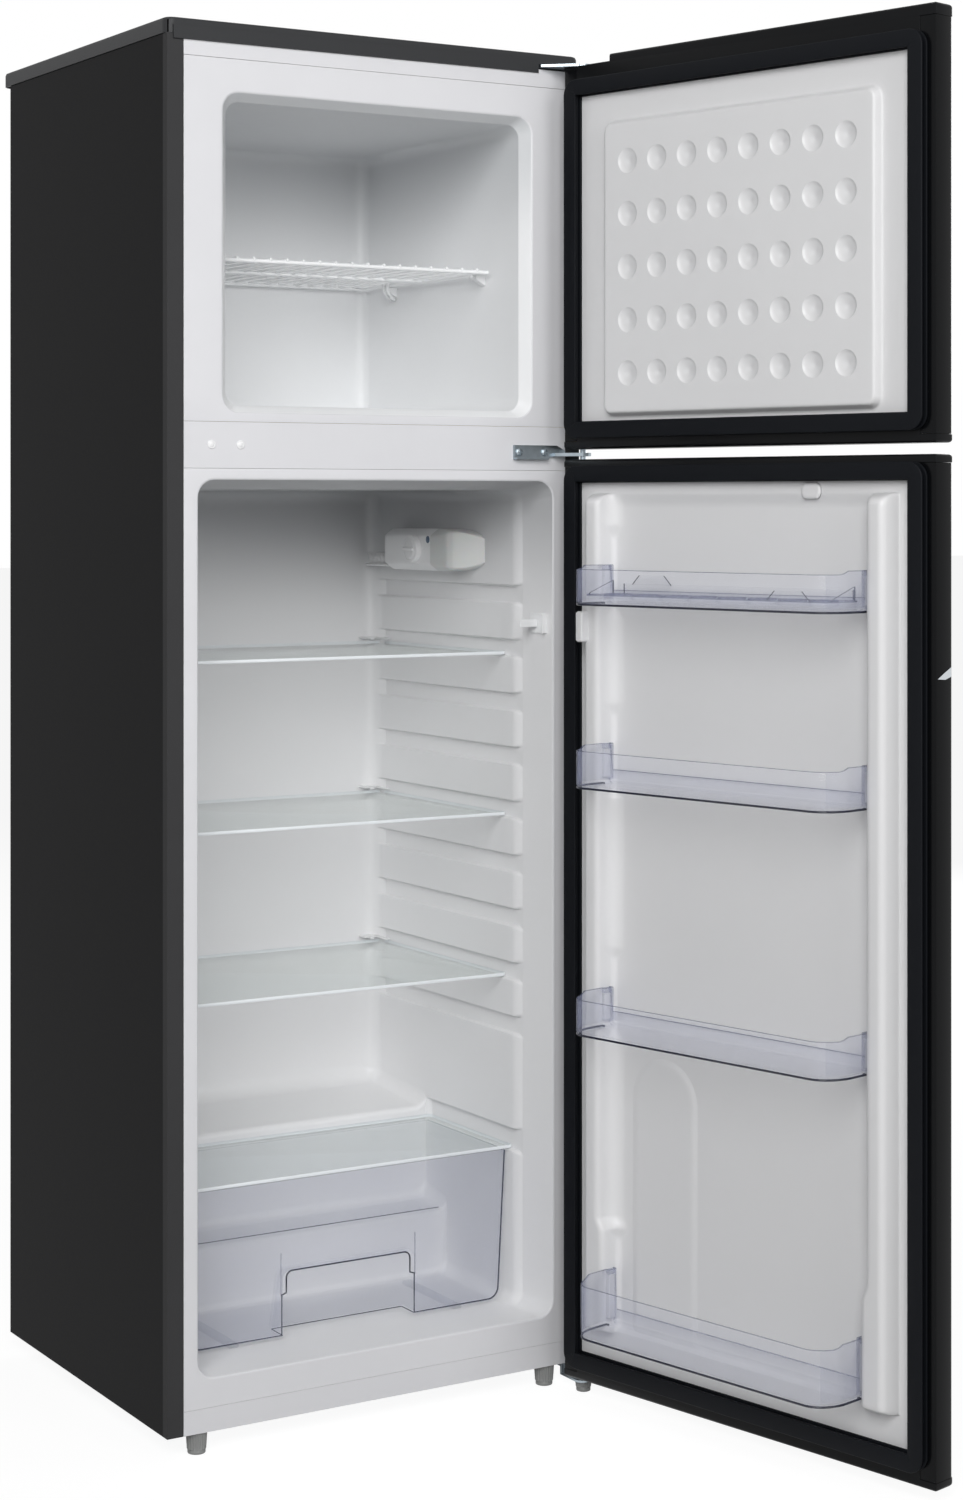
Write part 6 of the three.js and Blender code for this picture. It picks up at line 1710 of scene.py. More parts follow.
@dataclass
class FridgeDoor(Door):
    """The fridge's door, whose liner has two dikes with the bins between them.

    Attributes:
        dike_inner: From the middle to a dike's inner wall.
        dike_wide: The same low down, where the dikes are wider.
        shoulder: Levels between which the inner walls step.
        lift: How far a bin is lifted to come off.
        bins: Lowest and highest level of each bin.
        arch: Middle, half-width, lowest and highest level and height of the pad that bottles lean on.
        tab: Inner and outer side, height, lowest and highest level of the tab on the dike.
        lug: Lowest and highest place of a lug from the plane, and its room below and above in its bin.
        stop: Left and right side and corner of the stop over the dikes.
    """

    name: str = "fridge_door"
    hinge: str = "fridge_door_hinge"
    bottom: float = -7.0
    top: float = 1088.0
    top_cap: float = 9.0
    seal: Flat = (30.0, 1060.0)
    dike_inner: float = 195.5
    dike_wide: float = 188.5
    dike_outer: float = 221.0
    dike_height: float = 23.0
    dikes: Flat = (63.0, 1047.0)
    recess: float = 5.0
    shoulder: Flat = (183.0, 201.0)
    fillet: float = 19.0
    lift: float = 31.0
    bins: tuple[Flat, ...] = ((918.0, 960.0), (707.0, 751.0), (423.0, 465.0), (75.0, 137.0))
    arch: tuple[float, float, float, float, float] = (115.0, 46.0, 64.0, 389.0, 3.0)
    tab: tuple[float, float, float, float, float] = (211.0, 221.5, 34.0, 873.0, 909.0)
    lug: tuple[float, float, float, float] = (6.0, 16.0, 8.0, 2.5)
    stop: Point = (-119.0, -91.0, 8.0)

    def fillet_at(self, z: float) -> float:
        """Gives the radius at the foot of a dike's inner wall; it tightens where a bin sits or is lifted."""
        near = min(max(low - z, z - high - self.lift, 0.0) for low, high in self.bins)
        return 7.2 + (self.fillet - 7.2) * ease(near, 3.0, 22.0)

    def inner_at(self, z: float) -> float:
        """Gives the place of a dike's inner wall at a level."""
        return self.dike_wide + (self.dike_inner - self.dike_wide) * ease(z, *self.shoulder)

    def section(self, z: float) -> list[Flat]:
        """Gives the liner's section at a level.

        Args:
            z: The level.

        Returns:
            Places and heights across the door, from its free side to its hinge side.
        """
        low, high = self.dikes
        start = min(max((z - low) / 9.0, 0.0), 1.0)
        end = min(max((high - z) / 13.0, 0.0), 1.0)
        stand = math.sqrt(1 - (1 - start) ** 2) * math.sqrt(1 - (1 - end) ** 2)
        sink = ease(z, low + 0.5, low + 9.0) * ease(-z, -high - 2.0, -high + 16.0)
        e_in, e_out, tall, f = self.inner_at(z), self.dike_outer, self.dike_height, self.fillet_at(z)
        half = CABINET_HALF - self.flange - 1
        base = -self.recess
        points = [(half, 0.0), (e_out + 9, 0.0), (e_out + 5.6, 0.0), (e_out + 4.0, 0.4), (e_out + 2.8, 1.8),
                  (e_out - 0.8, tall - 8), (e_out - 1.9, tall - 4.6), (e_out - 3.8, tall - 2.1),
                  (e_out - 6.3, tall - 0.6), (e_out - 9.5, tall), (e_in + 8, tall), (e_in + 5.2, tall - 0.3),
                  (e_in + 2.6, tall - 1.4), (e_in + 0.9, tall - 3.2), (e_in, tall - 6), (e_in, tall - 9)]
        points += [(e_in - f + f * math.cos(math.radians(a)), base + f - f * math.sin(math.radians(a)))
                   for a in (0, 12, 24, 36, 48, 60, 72, 81, 90)]
        points += [(e_in - f - 6, base), (120.0, base), (60.0, base), (0.0, base)]
        shaped = [(s, h * (stand if h > 0 else sink)) for s, h in points]
        return [(-s, h) for s, h in shaped[:-1]] + shaped[::-1]

    def liner(self, drawing: Matrix) -> None:
        """Builds the sheet with its dikes, and the pad, lugs and tab that it carries."""
        low, high = self.dikes
        marks = {self.seal[0] - self.lap, self.seal[1] + self.lap, low - 6, low - 1}
        marks |= {low + d for d in (0.0, 0.08, 0.35, 0.9, 1.8, 3.0, 4.6, 6.6, 9.0, 12.0)}
        marks |= {high - d for d in (0.0, 0.1, 0.5, 1.3, 2.6, 4.4, 6.6, 9.4, 13.0, 17.0)} | {high + 2, high + 6}
        marks |= {self.shoulder[0] + (self.shoulder[1] - self.shoulder[0]) * k / 10 for k in range(11)}
        for bottom, top in self.bins:
            marks |= {z for d in (3, 6, 9, 12, 15, 18, 22) for z in (bottom - d, top + self.lift + d)}
        marks |= {90.0 + 40 * k for k in range(24)}
        levels = sorted(z for z in marks if self.seal[0] - self.lap <= z <= self.seal[1] + self.lap)
        kept = [z for i, z in enumerate(levels) if i == 0 or z - levels[i - 1] > 0.05]
        form = Form()
        form.skin([[(s, h, z) for s, h in self.section(z)] for z in kept], closed=False)
        sheet = thicken(form.made("sheet", drawing, Vector((0, 1, 0))), SHEET_MM)
        extras = Form()
        self.draw_arch(extras)
        self.draw_lugs(extras)
        inner, outer, tall, foot, peak = self.tab
        extras.block((inner, -0.5, foot), (outer, tall, peak), 2.2)
        left, right, corner = self.stop
        bump = []
        for inset, height in ((0.0, 0.2), (0.5, 1.4), (1.6, 2.5), (3.2, 3.0), (6.0, 3.0)):
            bump.append(facing_in(round_rect((left + inset, self.seal[1] - 20 + inset), (
                right - inset, self.seal[1] - 1 - inset), max(corner - inset, 0.5), 5), height))
        extras.solid(bump)
        made = merged("fridge_door_liner_piece", sheet, extras.made("extras", drawing))
        weigh_normals(made)
        fit(settle(made), Finishes.DOOR_SHADED_WHITE, self.name + "_liner")

    def draw_arch(self, form: Form) -> None:
        """Draws the shallow arched pad that bottles lean on."""
        centre, half, bottom, top, height = self.arch
        loops = []
        # How far outside the pad's outline, and the share of its height there.
        for offset, share in ((5.0, -0.05), (3.6, 0.02), (1.8, 0.14), (0.0, 0.3), (-2.0, 0.46), (-5.0, 0.56),
                              (-9.0, 0.6)):
            h = half + offset
            outline = [(centre - h, bottom + 3 - offset), (centre + h, bottom + 3 - offset),
                       *arc((centre, top - half), h, 0, 180, 28)]
            loops.append(facing_in(outline, -self.recess + height * share))
        form.solid(loops)

    def draw_lugs(self, form: Form) -> None:
        """Draws the lugs that the bins hang on, a pair for each bin."""
        near, far, below, above = self.lug
        for low, high in self.bins:
            wall = self.inner_at((low + high) / 2)
            for side in (-1.0, 1.0):
                ends = sorted((side * (wall - 5.0), side * (wall + 0.6)))
                form.block((ends[0], near, low + below), (ends[1], far, high - above), 1.0)

    def build(self) -> Matrix:
        """Builds the door with its bins, egg tray and edge trim."""
        drawing = super().build()
        for number, (low, high) in enumerate(self.bins, start=1):
            wall = self.inner_at((low + high) / 2)
            back = -self.recess + 0.7 + (self.arch[4] if high < self.arch[3] else 0.0)
            Bin(f"door_bin_{number}", low, high, wall, back).build(drawing)
        EggTray().build(drawing)
        finished("fridge_door_edge_trim", Finishes.CHROME, 0.1)
        return drawing


@dataclass
class Bin:
    """A clear bin: an upright wall round a shallow floor, with a pocket over the lug at each end.

    Attributes:
        back: Height of its back above the door's plane.
        corner: Half-axes of its front corners.
        rise: How much higher its ends are.
        pocket: Lowest and highest place of the pocket, from the plane, and its depth.
    """

    node: str
    low: float
    high: float
    wall: float
    back: float
    front: float = 80.0
    corner: Flat = (29.5, 38.0)
    thick: float = 2.2
    floor: float = 2.4
    rise: float = 4.0
    back_lip: float = 16.0
    clearance: float = 1.0
    pocket: Point = (5.4, 16.6, 5.6)
    back_corner: float = 6.5

    def plan(self, inset: float) -> list[Flat]:
        """Gives the outline from above, moved in.

        Args:
            inset: How far.

        Returns:
            The outline, from the middle of the back round the hinge side.
        """
        half = self.wall - self.clearance - inset
        back = self.back + inset
        front = self.front - inset
        r = max(self.back_corner - inset, 0.4)
        rx, ry = max(self.corner[0] - inset, 1.0), max(self.corner[1] - inset, 1.0)
        start, end, deep = self.pocket
        start, end = start - min(inset, self.thick), end + min(inset, self.thick)
        face = self.wall - deep - min(inset, self.thick)
        if inset > self.thick:
            extra = inset - self.thick
            start, end, face = start - extra, end + extra, face - extra
        side = [(0.0, back), (half - 26, back), (half - 14, back)]
        side += arc((half - r, back + r), r, -90, 0, 4)
        low = max(start, back + r + 0.3)
        side += [(half, low - 0.2), (half - 0.3, low), (face + 0.8, low), (face, low + 0.8), (face, end - 0.8),
                 (face + 0.8, end), (half - 0.3, end), (half, end + 0.4), (half, end + 6)]
        for k in range(11):
            a = math.radians(90 * k / 10)
            side.append((half - rx + rx * math.cos(a), front - ry + ry * math.sin(a)))
        side += [(half - rx - 10, front), (0.0, front)]
        return side + [(-a, b) for a, b in side[-2:0:-1]]

    def rim(self, s: float, h: float) -> float:
        """Gives the level of the rim at a place: low at the back, a little higher at the ends."""
        ends = ease(abs(s), self.wall - 17.0, self.wall - 12.0) * (1 - ease(h, 50.0, 56.0))
        peak = self.high + self.rise * ends
        behind = 1 - ease(h, 0.4, 3.2)
        return peak + (self.low + self.back_lip - peak) * behind

    def loops(self) -> dict[str, list[list[Point]]]:
        """Gives the runs of sections that the bin is made of."""
        foot = 4.6
        bottom = [upright(self.plan(foot + 4), self.low)]
        for into, rise in quarter((0, 22, 45, 68, 90)):
            bottom.append(upright(self.plan(foot * into), self.low + foot * rise))
        outer = self.plan(0.0)
        near = [(s, h, self.rim(s, h) - 0.7) for s, h in outer]
        top = [near]
        for inset, drop in ((0.25, 0.2), (0.7, 0.0), (self.thick - 0.7, 0.0), (self.thick - 0.25, 0.2),
                           (self.thick, 0.7)):
            top.append([(s, h, self.rim(a, b) - drop) for (s, h), (a, b) in zip(self.plan(inset), outer)])
        inner = [top[-1], upright(self.plan(self.thick), self.low + self.floor + foot - 1)]
        r = foot - 1
        for down, into in quarter((22, 45, 68, 90)):
            inner.append(upright(self.plan(self.thick + r * into), self.low + self.floor + r * down))
        inner.append(upright(self.plan(self.thick + foot + 3), self.low + self.floor))
        return {"bottom": bottom, "wall": [bottom[-1], near], "top": top, "inner": inner}

    def build(self, drawing: Matrix) -> None:
        """Builds the bin; its rim and lower edge are seen along the sheet and get the darker finish."""
        form = Form()
        runs = self.loops()
        form.skin(runs["bottom"][:3], caps=(True, False))
        form.skin(runs["bottom"][2:5], finish=4)
        form.skin(runs["bottom"][4:])
        for run, plain in ((runs["wall"], 4), (runs["inner"][:2], 5)):
            rows = [form.loop(points) for points in run]
            count = len(rows[0])
            for i in range(count):
                j = (i + 1) % count
                at_end = min(abs(run[0][i][0]), abs(run[0][j][0])) > self.wall - 17.0
                form.face((rows[0][i], rows[0][j], rows[1][j], rows[1][i]), 2 if at_end else plain)
        form.skin(runs["top"], finish=1)
        form.skin(runs["inner"][1:], caps=(False, True))
        for side in (-1.0, 1.0):
            ends = sorted((side * (self.wall - self.pocket[2] - 0.4), side * (self.wall - self.clearance - 0.2)))
            form.block((ends[0], self.pocket[0] - 0.4, self.high - self.thick),
                       (ends[1], self.pocket[1] + 0.4, self.high + self.rise - 0.6), 0.4, 2)
        made = crease(form.made(self.node + "_body", drawing))
        line = swept(self.node + "_line", [upright(self.plan(1.1), self.low + 1.4)[13:-12]], 1.3, Finishes.CLEAR_RIM,
                     drawing, 8)
        for face in line.data.polygons:
            face.material_index = 3
        fit(merged(self.node + "_piece", made, line),
            (Finishes.CLEAR, Finishes.CLEAR_EDGE, Finishes.CLEAR_SIDE, Finishes.CLEAR_RIM, Finishes.CLEAR_VEIL,
             Finishes.CLEAR_FAINT), self.node)


@dataclass
class EggTray:
    """The egg tray: a plate with round seats on a low skirt, side wings, a rear wall and two tabs."""

    node: str = "egg_tray"
    half: float = 178.0
    reach: Flat = (6.0, 66.0)
    foot: float = 920.7
    legs: float = 10.5
    plate: float = 2.0
    pitch: float = 43.0
    seats: int = 8
    seat: float = 16.0
    corner: float = 10.0
    back_rise: float = 11.0
    wing_rise: float = 15.0
    tab_half: float = 30.0
    tab_slope: float = 11.0
    tab_rise: float = 10.0
    tab_inset: float = 23.0

    def raised(self, outline: Sequence[Flat], along_x: bool, start: float, form: Form) -> None:
        """Adds a thin upright wall with a drawn outline.

        Args:
            outline: Its outline; the first value runs along the wall.
            along_x: Whether it runs across the door.
            start: Where it stands, across its own thickness.
            form: The form that takes it.
        """
        loops = []
        for at in (start, start + self.plate):
            loops.append([(a, at, b) if along_x else (at, a, b) for a, b in outline])
        form.skin(loops, finish=2)
        form.skin(loops[:1], caps=(True, False))
        form.skin(loops[1:], caps=(False, True))

    def build(self, drawing: Matrix) -> None:
        """Builds the tray."""
        form = Form()
        top = self.foot + self.legs
        (near, far), t = self.reach, self.plate
        outline = round_rect((-self.half, near), (self.half, far), self.corner, 8)
        centre = (near + far) / 2
        seats = [arc(((i - (self.seats - 1) / 2) * self.pitch, centre), self.seat, 0, 352.5, 47)
                 for i in range(self.seats)]
        form.slab(outline, seats, top - t, top, rim=1)
        inner = round_rect((-self.half + t, near + t), (self.half - t, far - t), self.corner - t, 8)
        skirt = [upright(outline, self.foot), upright(outline, top - t), upright(inner, top - t),
                 upright(inner, self.foot), upright(outline, self.foot)]
        form.skin(skirt)
        for i in range(self.seats):
            s = (i - (self.seats - 1) / 2) * self.pitch
            ring = [(self.seat + 1.2, top - t), (self.seat + 0.6, top - 6.5), (self.seat - 0.2, top - 6.5),
                    (self.seat, top - t), (self.seat + 1.2, top - t)]
            form.skin([upright(circle((s, centre), r, 32), z) for r, z in ring])
        for side in (-1.0, 1.0):
            start = side * self.half - (t if side > 0 else 0.0)
            self.raised([(near + 10, top - 1), (far - 10, top - 1), (far - 10, top + 1), (near + 10,
                        top + self.wing_rise)], False, start, form)
        reach = self.half - self.corner
        self.raised([(-reach, top - 1), (reach, top - 1), (reach, top + self.back_rise), (-reach,
                    top + self.back_rise)], True, near, form)
        for middle_s, base, at in ((self.half - self.tab_half - self.tab_inset, top + self.back_rise, near),
                                   (self.tab_half + self.tab_inset - self.half, top, far - t)):
            self.raised([(middle_s - self.tab_half, base - 1), (middle_s + self.tab_half, base - 1),
                         (middle_s + self.tab_half - self.tab_slope, base + self.tab_rise),
                         (middle_s - self.tab_half + self.tab_slope, base + self.tab_rise)], True, at, form)
        show(form, self.node, (Finishes.CLEAR_FAINT, Finishes.CLEAR_EDGE, Finishes.CLEAR_RIM), drawing)


# --- Fittings of the two compartments ---


@dataclass
class GlassPlate:
    """A toughened glass plate with ground edges."""

    node: str
    soft: float = 0.9
    corner: float = 6.0

    def build(self, drawing: Matrix) -> None:
        """Builds the plate in its node's box."""
        inverse = drawing.inverted()
        low, high = (inverse @ Vector(c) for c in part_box(self.node))
        form = Form()
        loops = []
        for inset, z in ((self.soft, low.z), (self.soft * 0.3, low.z + self.soft * 0.3), (0.0, low.z + self.soft),
                         (0.0, high.z - self.soft), (self.soft * 0.3, high.z - self.soft * 0.3),
                         (self.soft, high.z)):
            loops.append(upright(round_rect((low.x + inset, low.y + inset), (high.x - inset, high.y - inset),
                                            self.corner - inset, 6), z))
        form.skin(loops, finish=1)
        form.skin([loops[0]], caps=(True, False))
        form.skin([loops[-1]], caps=(False, True))
        show(form, self.node, (Finishes.GLASS, Finishes.GLASS_EDGE), drawing, 30.0)


@dataclass
class CrisperDrawer:
    """The clear drawer: tapered, stepped behind, with an arched finger grip open below.

    Attributes:
        step: Level of the step.
        grip: Half-width, level and corner of the arch.
        grip_depths: Depth of the grip at its foot and at its roof.
        skid: Place and width of the skids.
    """

    node: str = "crisper_drawer"
    front: float = 80.0
    bottom: float = 65.0
    top: float = 246.0
    half_top: float = 217.0
    half_low: float = 207.0
    corner: float = 14.0
    back_low: float = 215.0
    back_top: float = 268.0
    step: float = 147.0
    wall: float = 2.2
    grip: Point = (88.0, 140.0, 8.0)
    grip_depths: Flat = (30.0, 12.0)
    skid: Flat = (150.0, 12.0)
    skid_foot: float = 60.4
    line: float = 0.95

    def lean(self, z: float) -> float:
        """Gives the half-width at a level."""
        share = (z - self.bottom) / (self.top - self.bottom)
        return self.half_low + (self.half_top - self.half_low) * share

    def side(self, bottom: float, inset: float) -> list[Flat]:
        """Gives the right-hand side and its corner, from the rim down to the bottom.

        Args:
            bottom: Level of the bottom.
            inset: Moved in from the outside.

        Returns:
            Places and levels.
        """
        low = bottom + inset
        r = max(self.corner - inset, 2.0) if bottom < self.step - 1 else 4.0
        points = [(self.lean(z) - inset, z) for z in (self.top, (self.top + low) / 2, low + r)]
        half = self.lean(low + r) - inset
        return points + [(half - r + r * math.cos(math.radians(a)), low + r - r * math.sin(math.radians(a)))
                         for a in (11, 22, 34, 45, 56, 68, 79, 90)]

    def arch(self, grow: float) -> list[Flat]:
        """Gives the grip's outline from its right-hand foot over the top to its left-hand foot."""
        half, top, r = self.grip[0] + grow, self.grip[1] + grow, self.grip[2]
        corner = arc((half - r, top - r), r, 0, 90, 5)
        right = [(half, self.bottom + grow), *corner]
        return right + [(-x, z) for x, z in reversed(right)]

    def grip_depth(self, z: float, grow: float) -> float:
        """Gives the grip's depth at a level."""
        foot, roof = self.grip_depths
        share = (z - self.bottom) / (self.grip[1] - self.bottom)
        return self.front + foot + (roof - foot) * share + grow

    def shell(self, form: Form, inset: float) -> None:
        """Draws the outer or the inner surface.

        Args:
            form: The form that takes it.
            inset: Nought for the outer one, the wall for the inner one.
        """
        start, end_low, end_top = self.front + inset, self.back_low - inset, self.back_top - inset
        deep = self.side(self.bottom, inset)
        high = self.side(self.step, inset)
        arch = self.arch(inset)
        foot_depth = self.grip_depth(self.bottom + inset, inset)
        half = arch[0][0]
        for sign in (1.0, -1.0):
            run = [(sign * x, z) for x, z in deep] + [(sign * half, self.bottom + inset)]
            form.skin([[(x, y, z) for x, z in run] for y in (start, foot_depth, end_low)], closed=False)
        form.skin([[(half, y, self.bottom + inset), (-half, y, self.bottom + inset)]
                   for y in (foot_depth, end_low)], closed=False)
        face = [*deep, *arch, *[(-x, z) for x, z in reversed(deep)]]
        # The outer front takes the denser finish, a painted veil of light; the inner front takes the faint one.
        form.face(form.loop([(x, start, z) for x, z in face]), 4 if inset == 0.0 else 3)
        form.skin([[(x, start, z) for x, z in arch],
                   [(x, self.grip_depth(z, inset), z) for x, z in arch]], closed=False, finish=3)
        form.face(form.loop([(x, self.grip_depth(z, inset), z) for x, z in arch]))
        upper = [*high, *[(-x, z) for x, z in reversed(high)]]
        form.skin([[(x, y, z) for x, z in upper] for y in (end_low, end_top)], closed=False)
        form.face(form.loop([(x, end_top, z) for x, z in upper]))
        crescent = [p for p in deep if p[1] < self.step + inset]
        ledge = self.step + inset
        closing = [(self.lean(ledge) - inset, ledge), *crescent, *[(-x, z) for x, z in reversed(crescent)],
                   (-self.lean(ledge) + inset, ledge)]
        form.face(form.loop([(x, end_low, z) for x, z in closing]))

    def lines(self, drawing: Matrix) -> list[Object]:
        """Grows the dark lines where one looks along the sheet: outline, grip and ledge."""
        d = self.line
        y = self.front + d
        side = [(x - d, y, z + (d if z < self.bottom + self.corner else 0.0)) for x, z in self.side(self.bottom, 0.0)]
        side[0] = (side[0][0], y, self.top - d)
        half, top, r = self.grip
        jog = 5.0
        arch = [(half + d, y, self.bottom + d), (half + d, y, top - 27), (half - jog, y, top - 25)]
        arch += [(a, y, b) for a, b in arc((half - jog - r, top - r), r, 0, 90, 6)]
        right = side + arch
        whole = right + [(-a, b, c) for a, b, c in reversed(right)]
        back = self.front + self.grip_depths[0]
        ledge = self.back_low - d
        thin = [[(-half + 1, back, self.bottom + d), (half - 1, back, self.bottom + d)],
                [(-self.half_low + 6, ledge, self.step + d), (self.half_low - 6, ledge, self.step + d)],
                [(half, y, self.bottom + d), (half, back, self.bottom + d)],
                [(-half, y, self.bottom + d), (-half, back, self.bottom + d)]]
        ribs = [[(s * (half + 2), y, top - 28), (s * (half + 2), y, top + 22)] for s in (-1.0, 1.0)]
        return [swept("drawer_outline", [whole], d, Finishes.CLEAR_RIM, drawing),
                swept("drawer_edges", thin, d * 0.55, Finishes.CLEAR_RIM, drawing),
                swept("drawer_ribs", ribs, d * 0.5, Finishes.CLEAR_EDGE, drawing)]

    def build(self, drawing: Matrix) -> None:
        """Builds the drawer."""
        form = Form()
        self.shell(form, 0.0)
        self.shell(form, self.wall)
        outer, inner = self.half_top, self.half_top - self.wall
        t = self.wall
        rim = [upright([(-outer, self.front), (outer, self.front), (outer, self.back_top),
                        (-outer, self.back_top)], self.top),
               upright([(-inner, self.front + t), (inner, self.front + t), (inner, self.back_top - t),
                        (-inner, self.back_top - t)], self.top)]
        form.skin(rim, finish=1)
        for side in (-1.0, 1.0):
            x = side * self.skid[0]
            form.block((x - self.skid[1] / 2, self.front + 2, self.skid_foot),
                       (x + self.skid[1] / 2, self.back_low - 8, self.bottom + 0.4), 1.0)
        body = crease(form.made(self.node + "_body", drawing))
        parts = [body]
        for number, one in enumerate(self.lines(drawing)):
            for face in one.data.polygons:
                face.material_index = 1 if number == 2 else 2
            parts.append(one)
        made = merged(self.node + "_piece", *parts)
        fit(made, (Finishes.CLEAR_THIN, Finishes.CLEAR_EDGE, Finishes.CLEAR_RIM, Finishes.CLEAR_FAINT,
                   Finishes.CLEAR_FRONT), self.node)


@dataclass
class Thermostat:
    """The unit on the right-hand wall: lamp cover in front, housing with knob and finned tongue behind.

    Attributes:
        nose: Depth of its tip.
        shoulder: Depth where it is full.
        split: Depth of the joint between cover and housing.
        half: Half-height on the wall.
        knob: Depth, level, radius and height of the knob.
        spot: Depth, level and radius of the blue spot.
        tongue: First and last depth, width and thickness of the tongue.
    """

    wall: float = 221.2
    proud: float = 34.0
    level: float = 977.0
    nose: float = 133.0
    shoulder: float = 200.0
    split: float = 212.0
    end: float = 345.0
    half: float = 26.5
    nose_half: float = 11.5
    chamfer: float = 12.0
    knob: tuple[float, float, float, float] = (250.0, 978.0, 18.0, 12.0)
    spot: tuple[float, float, float] = (217.5, 990.0, 4.5)
    tongue: tuple[float, float, float, float] = (335.0, 396.0, 25.0, 3.0)
    tongue_drop: float = 23.0
    fins: int = 5
    pitch: float = 10.0
    fin_height: float = 14.0
    fin_lean: float = 6.0

    def section(self, y: float, inset: float = 0.0) -> list[Point]:
        """Gives the unit's section at a depth.

        Args:
            y: The depth.
            inset: How far it is moved in.

        Returns:
            The closed section, starting and ending on the wall.
        """
        rise = min(max((y - self.nose) / (self.shoulder - self.nose), 0.0), 1.0)
        swell = math.sqrt(1 - (1 - rise) ** 2)
        stand = min(y - self.nose, self.proud)
        stand -= 2.2 * (1 - min(abs(y - self.nose - self.proud) / 6.0, 1.0)) ** 2
        half = self.nose_half + (self.half - self.nose_half) * swell
        slope = 1.5 + (self.chamfer - 1.5) * ease(y, self.nose + 16, self.shoulder + 6)
        tail = min(max((y - (self.end - 22.0)) / 22.0, 0.0), 1.0)
        shrink = math.sqrt(max(1 - tail * tail, 0.0))
        stand = 9.0 + (stand - 9.0) * shrink if tail > 0 else stand
        half = half - 10.0 * (1 - shrink)
        stand, half = max(stand - inset, 0.3), half - inset
        slope = min(slope, stand * 0.6)
        face = self.wall - stand
        inner = half - slope * 0.72
        soft = min(5.0, stand * 0.4)
        outline = rounded([(self.wall, -half), (face + slope, -half), (face, -inner), (face, inner),
                           (face + slope, half), (self.wall, half)], [0.0, soft, soft, soft, soft, 0.0], 3)
        return [(x, y, self.level + z) for x, z in outline]

    def cover(self, drawing: Matrix) -> None:
        """Builds the hollow lamp cover."""
        depths = [self.nose + d for d in (1.5, 5, 10, 15, 20, 25, 29, 31.5, 34, 36.5, 40, 45, 51, 58, 66, 72)]
        outer = [self.section(y) for y in (*depths, self.split - 0.3)]
        inner = [self.section(y, 1.6) for y in (*depths[2:], self.split - 0.3)]
        form = Form()
        form.skin(outer, caps=(True, False))
        form.skin(inner, caps=(True, False))
        form.skin([outer[-1], inner[-1]])
        show(form, "lamp_cover", Finishes.LAMP_COVER, drawing, 35.0)

    def housing(self, drawing: Matrix) -> None:
        """Builds the housing, the finned tongue behind it and the blue spot on its face."""
        form = Form()
        depths = [self.split, self.split + 40, self.split + 80, self.end - 24,
                  *[self.end - d for d in (20, 16, 12, 9, 6, 4, 2.4, 1.2, 0.4)]]
        form.solid([self.section(y) for y in depths])
        start, stop, width, thick = self.tongue
        foot = self.level - self.tongue_drop
        form.block((self.wall - width, start, foot), (self.wall, stop, foot + thick), 1.0)
        body = crease(form.made("housing", drawing), 35.0)
        fin = Form()
        inner, outer = self.wall - width + 2.5, self.wall
        fin.solid([[(x, 0.0, 1.0), (x, 2.0, 1.0), (x, 2.0 + self.fin_lean, thick + self.fin_height),
                    (x, self.fin_lean, thick + self.fin_height)] for x in (inner, outer)])
        grower = Grower("tongue_fins")
        count, pitch = grower.size("Count", self.fins), grower.size("Pitch", self.pitch)
        step = grower.node("ShaderNodeCombineXYZ", inputs={"Y": pitch})
        spread = grower.row(count, (0.0, start + self.pitch, foot), step, grower.entry.outputs["Geometry"])
        fins = grower.grow(fin, spread, Finishes.MOULDED_WHITE, "fins", drawing)
        spot = Form()
        y, z, radius = self.spot
        spot.lathe([(0.0, -0.4), (radius, -0.4), (radius, 0.25), (0.0, 0.25)],
                   (self.wall - self.proud, y, z), "-x", 24, 1)
        made = merged("thermostat_housing_piece", body, fins, spot.made("spot", drawing))
        fit(made, (Finishes.MOULDED_WHITE, Finishes.BLUE_SPOT), "thermostat_housing")

    def dial(self, drawing: Matrix) -> None:
        """Builds the knob: a turned disc with a ring groove and a finger ridge."""
        y, z, radius, height = self.knob
        form = Form()
        form.lathe([(0.0, 0.1), (radius - 1.2, 0.1), (radius - 1.2, 1.2), (radius, 1.8), (radius, height - 5.4),
                    (radius - 0.5, height - 4.2), (radius - 1.8, height - 3.6), (radius - 3.6, height - 3.5),
                    (radius - 4.4, height - 4.1), (radius - 5.2, height - 3.4), (radius - 9.0, height - 3.0),
                    (0.0, height - 2.9)], (self.wall - self.proud, y, z), "-x", 56)
        form.block((self.wall - self.proud - height, y - radius + 5, z - 2.4),
                   (self.wall - self.proud - height + 5, y + radius - 5, z + 2.4), 1.4)
        show(form, "thermostat_knob", Finishes.MOULDED_WHITE, drawing)

    def build(self, drawing: Matrix) -> None:
        """Builds the unit."""
        self.cover(drawing)
        self.housing(drawing)
        self.dial(drawing)
        finished("lamp_bulb", Finishes.BULB, 0.0)


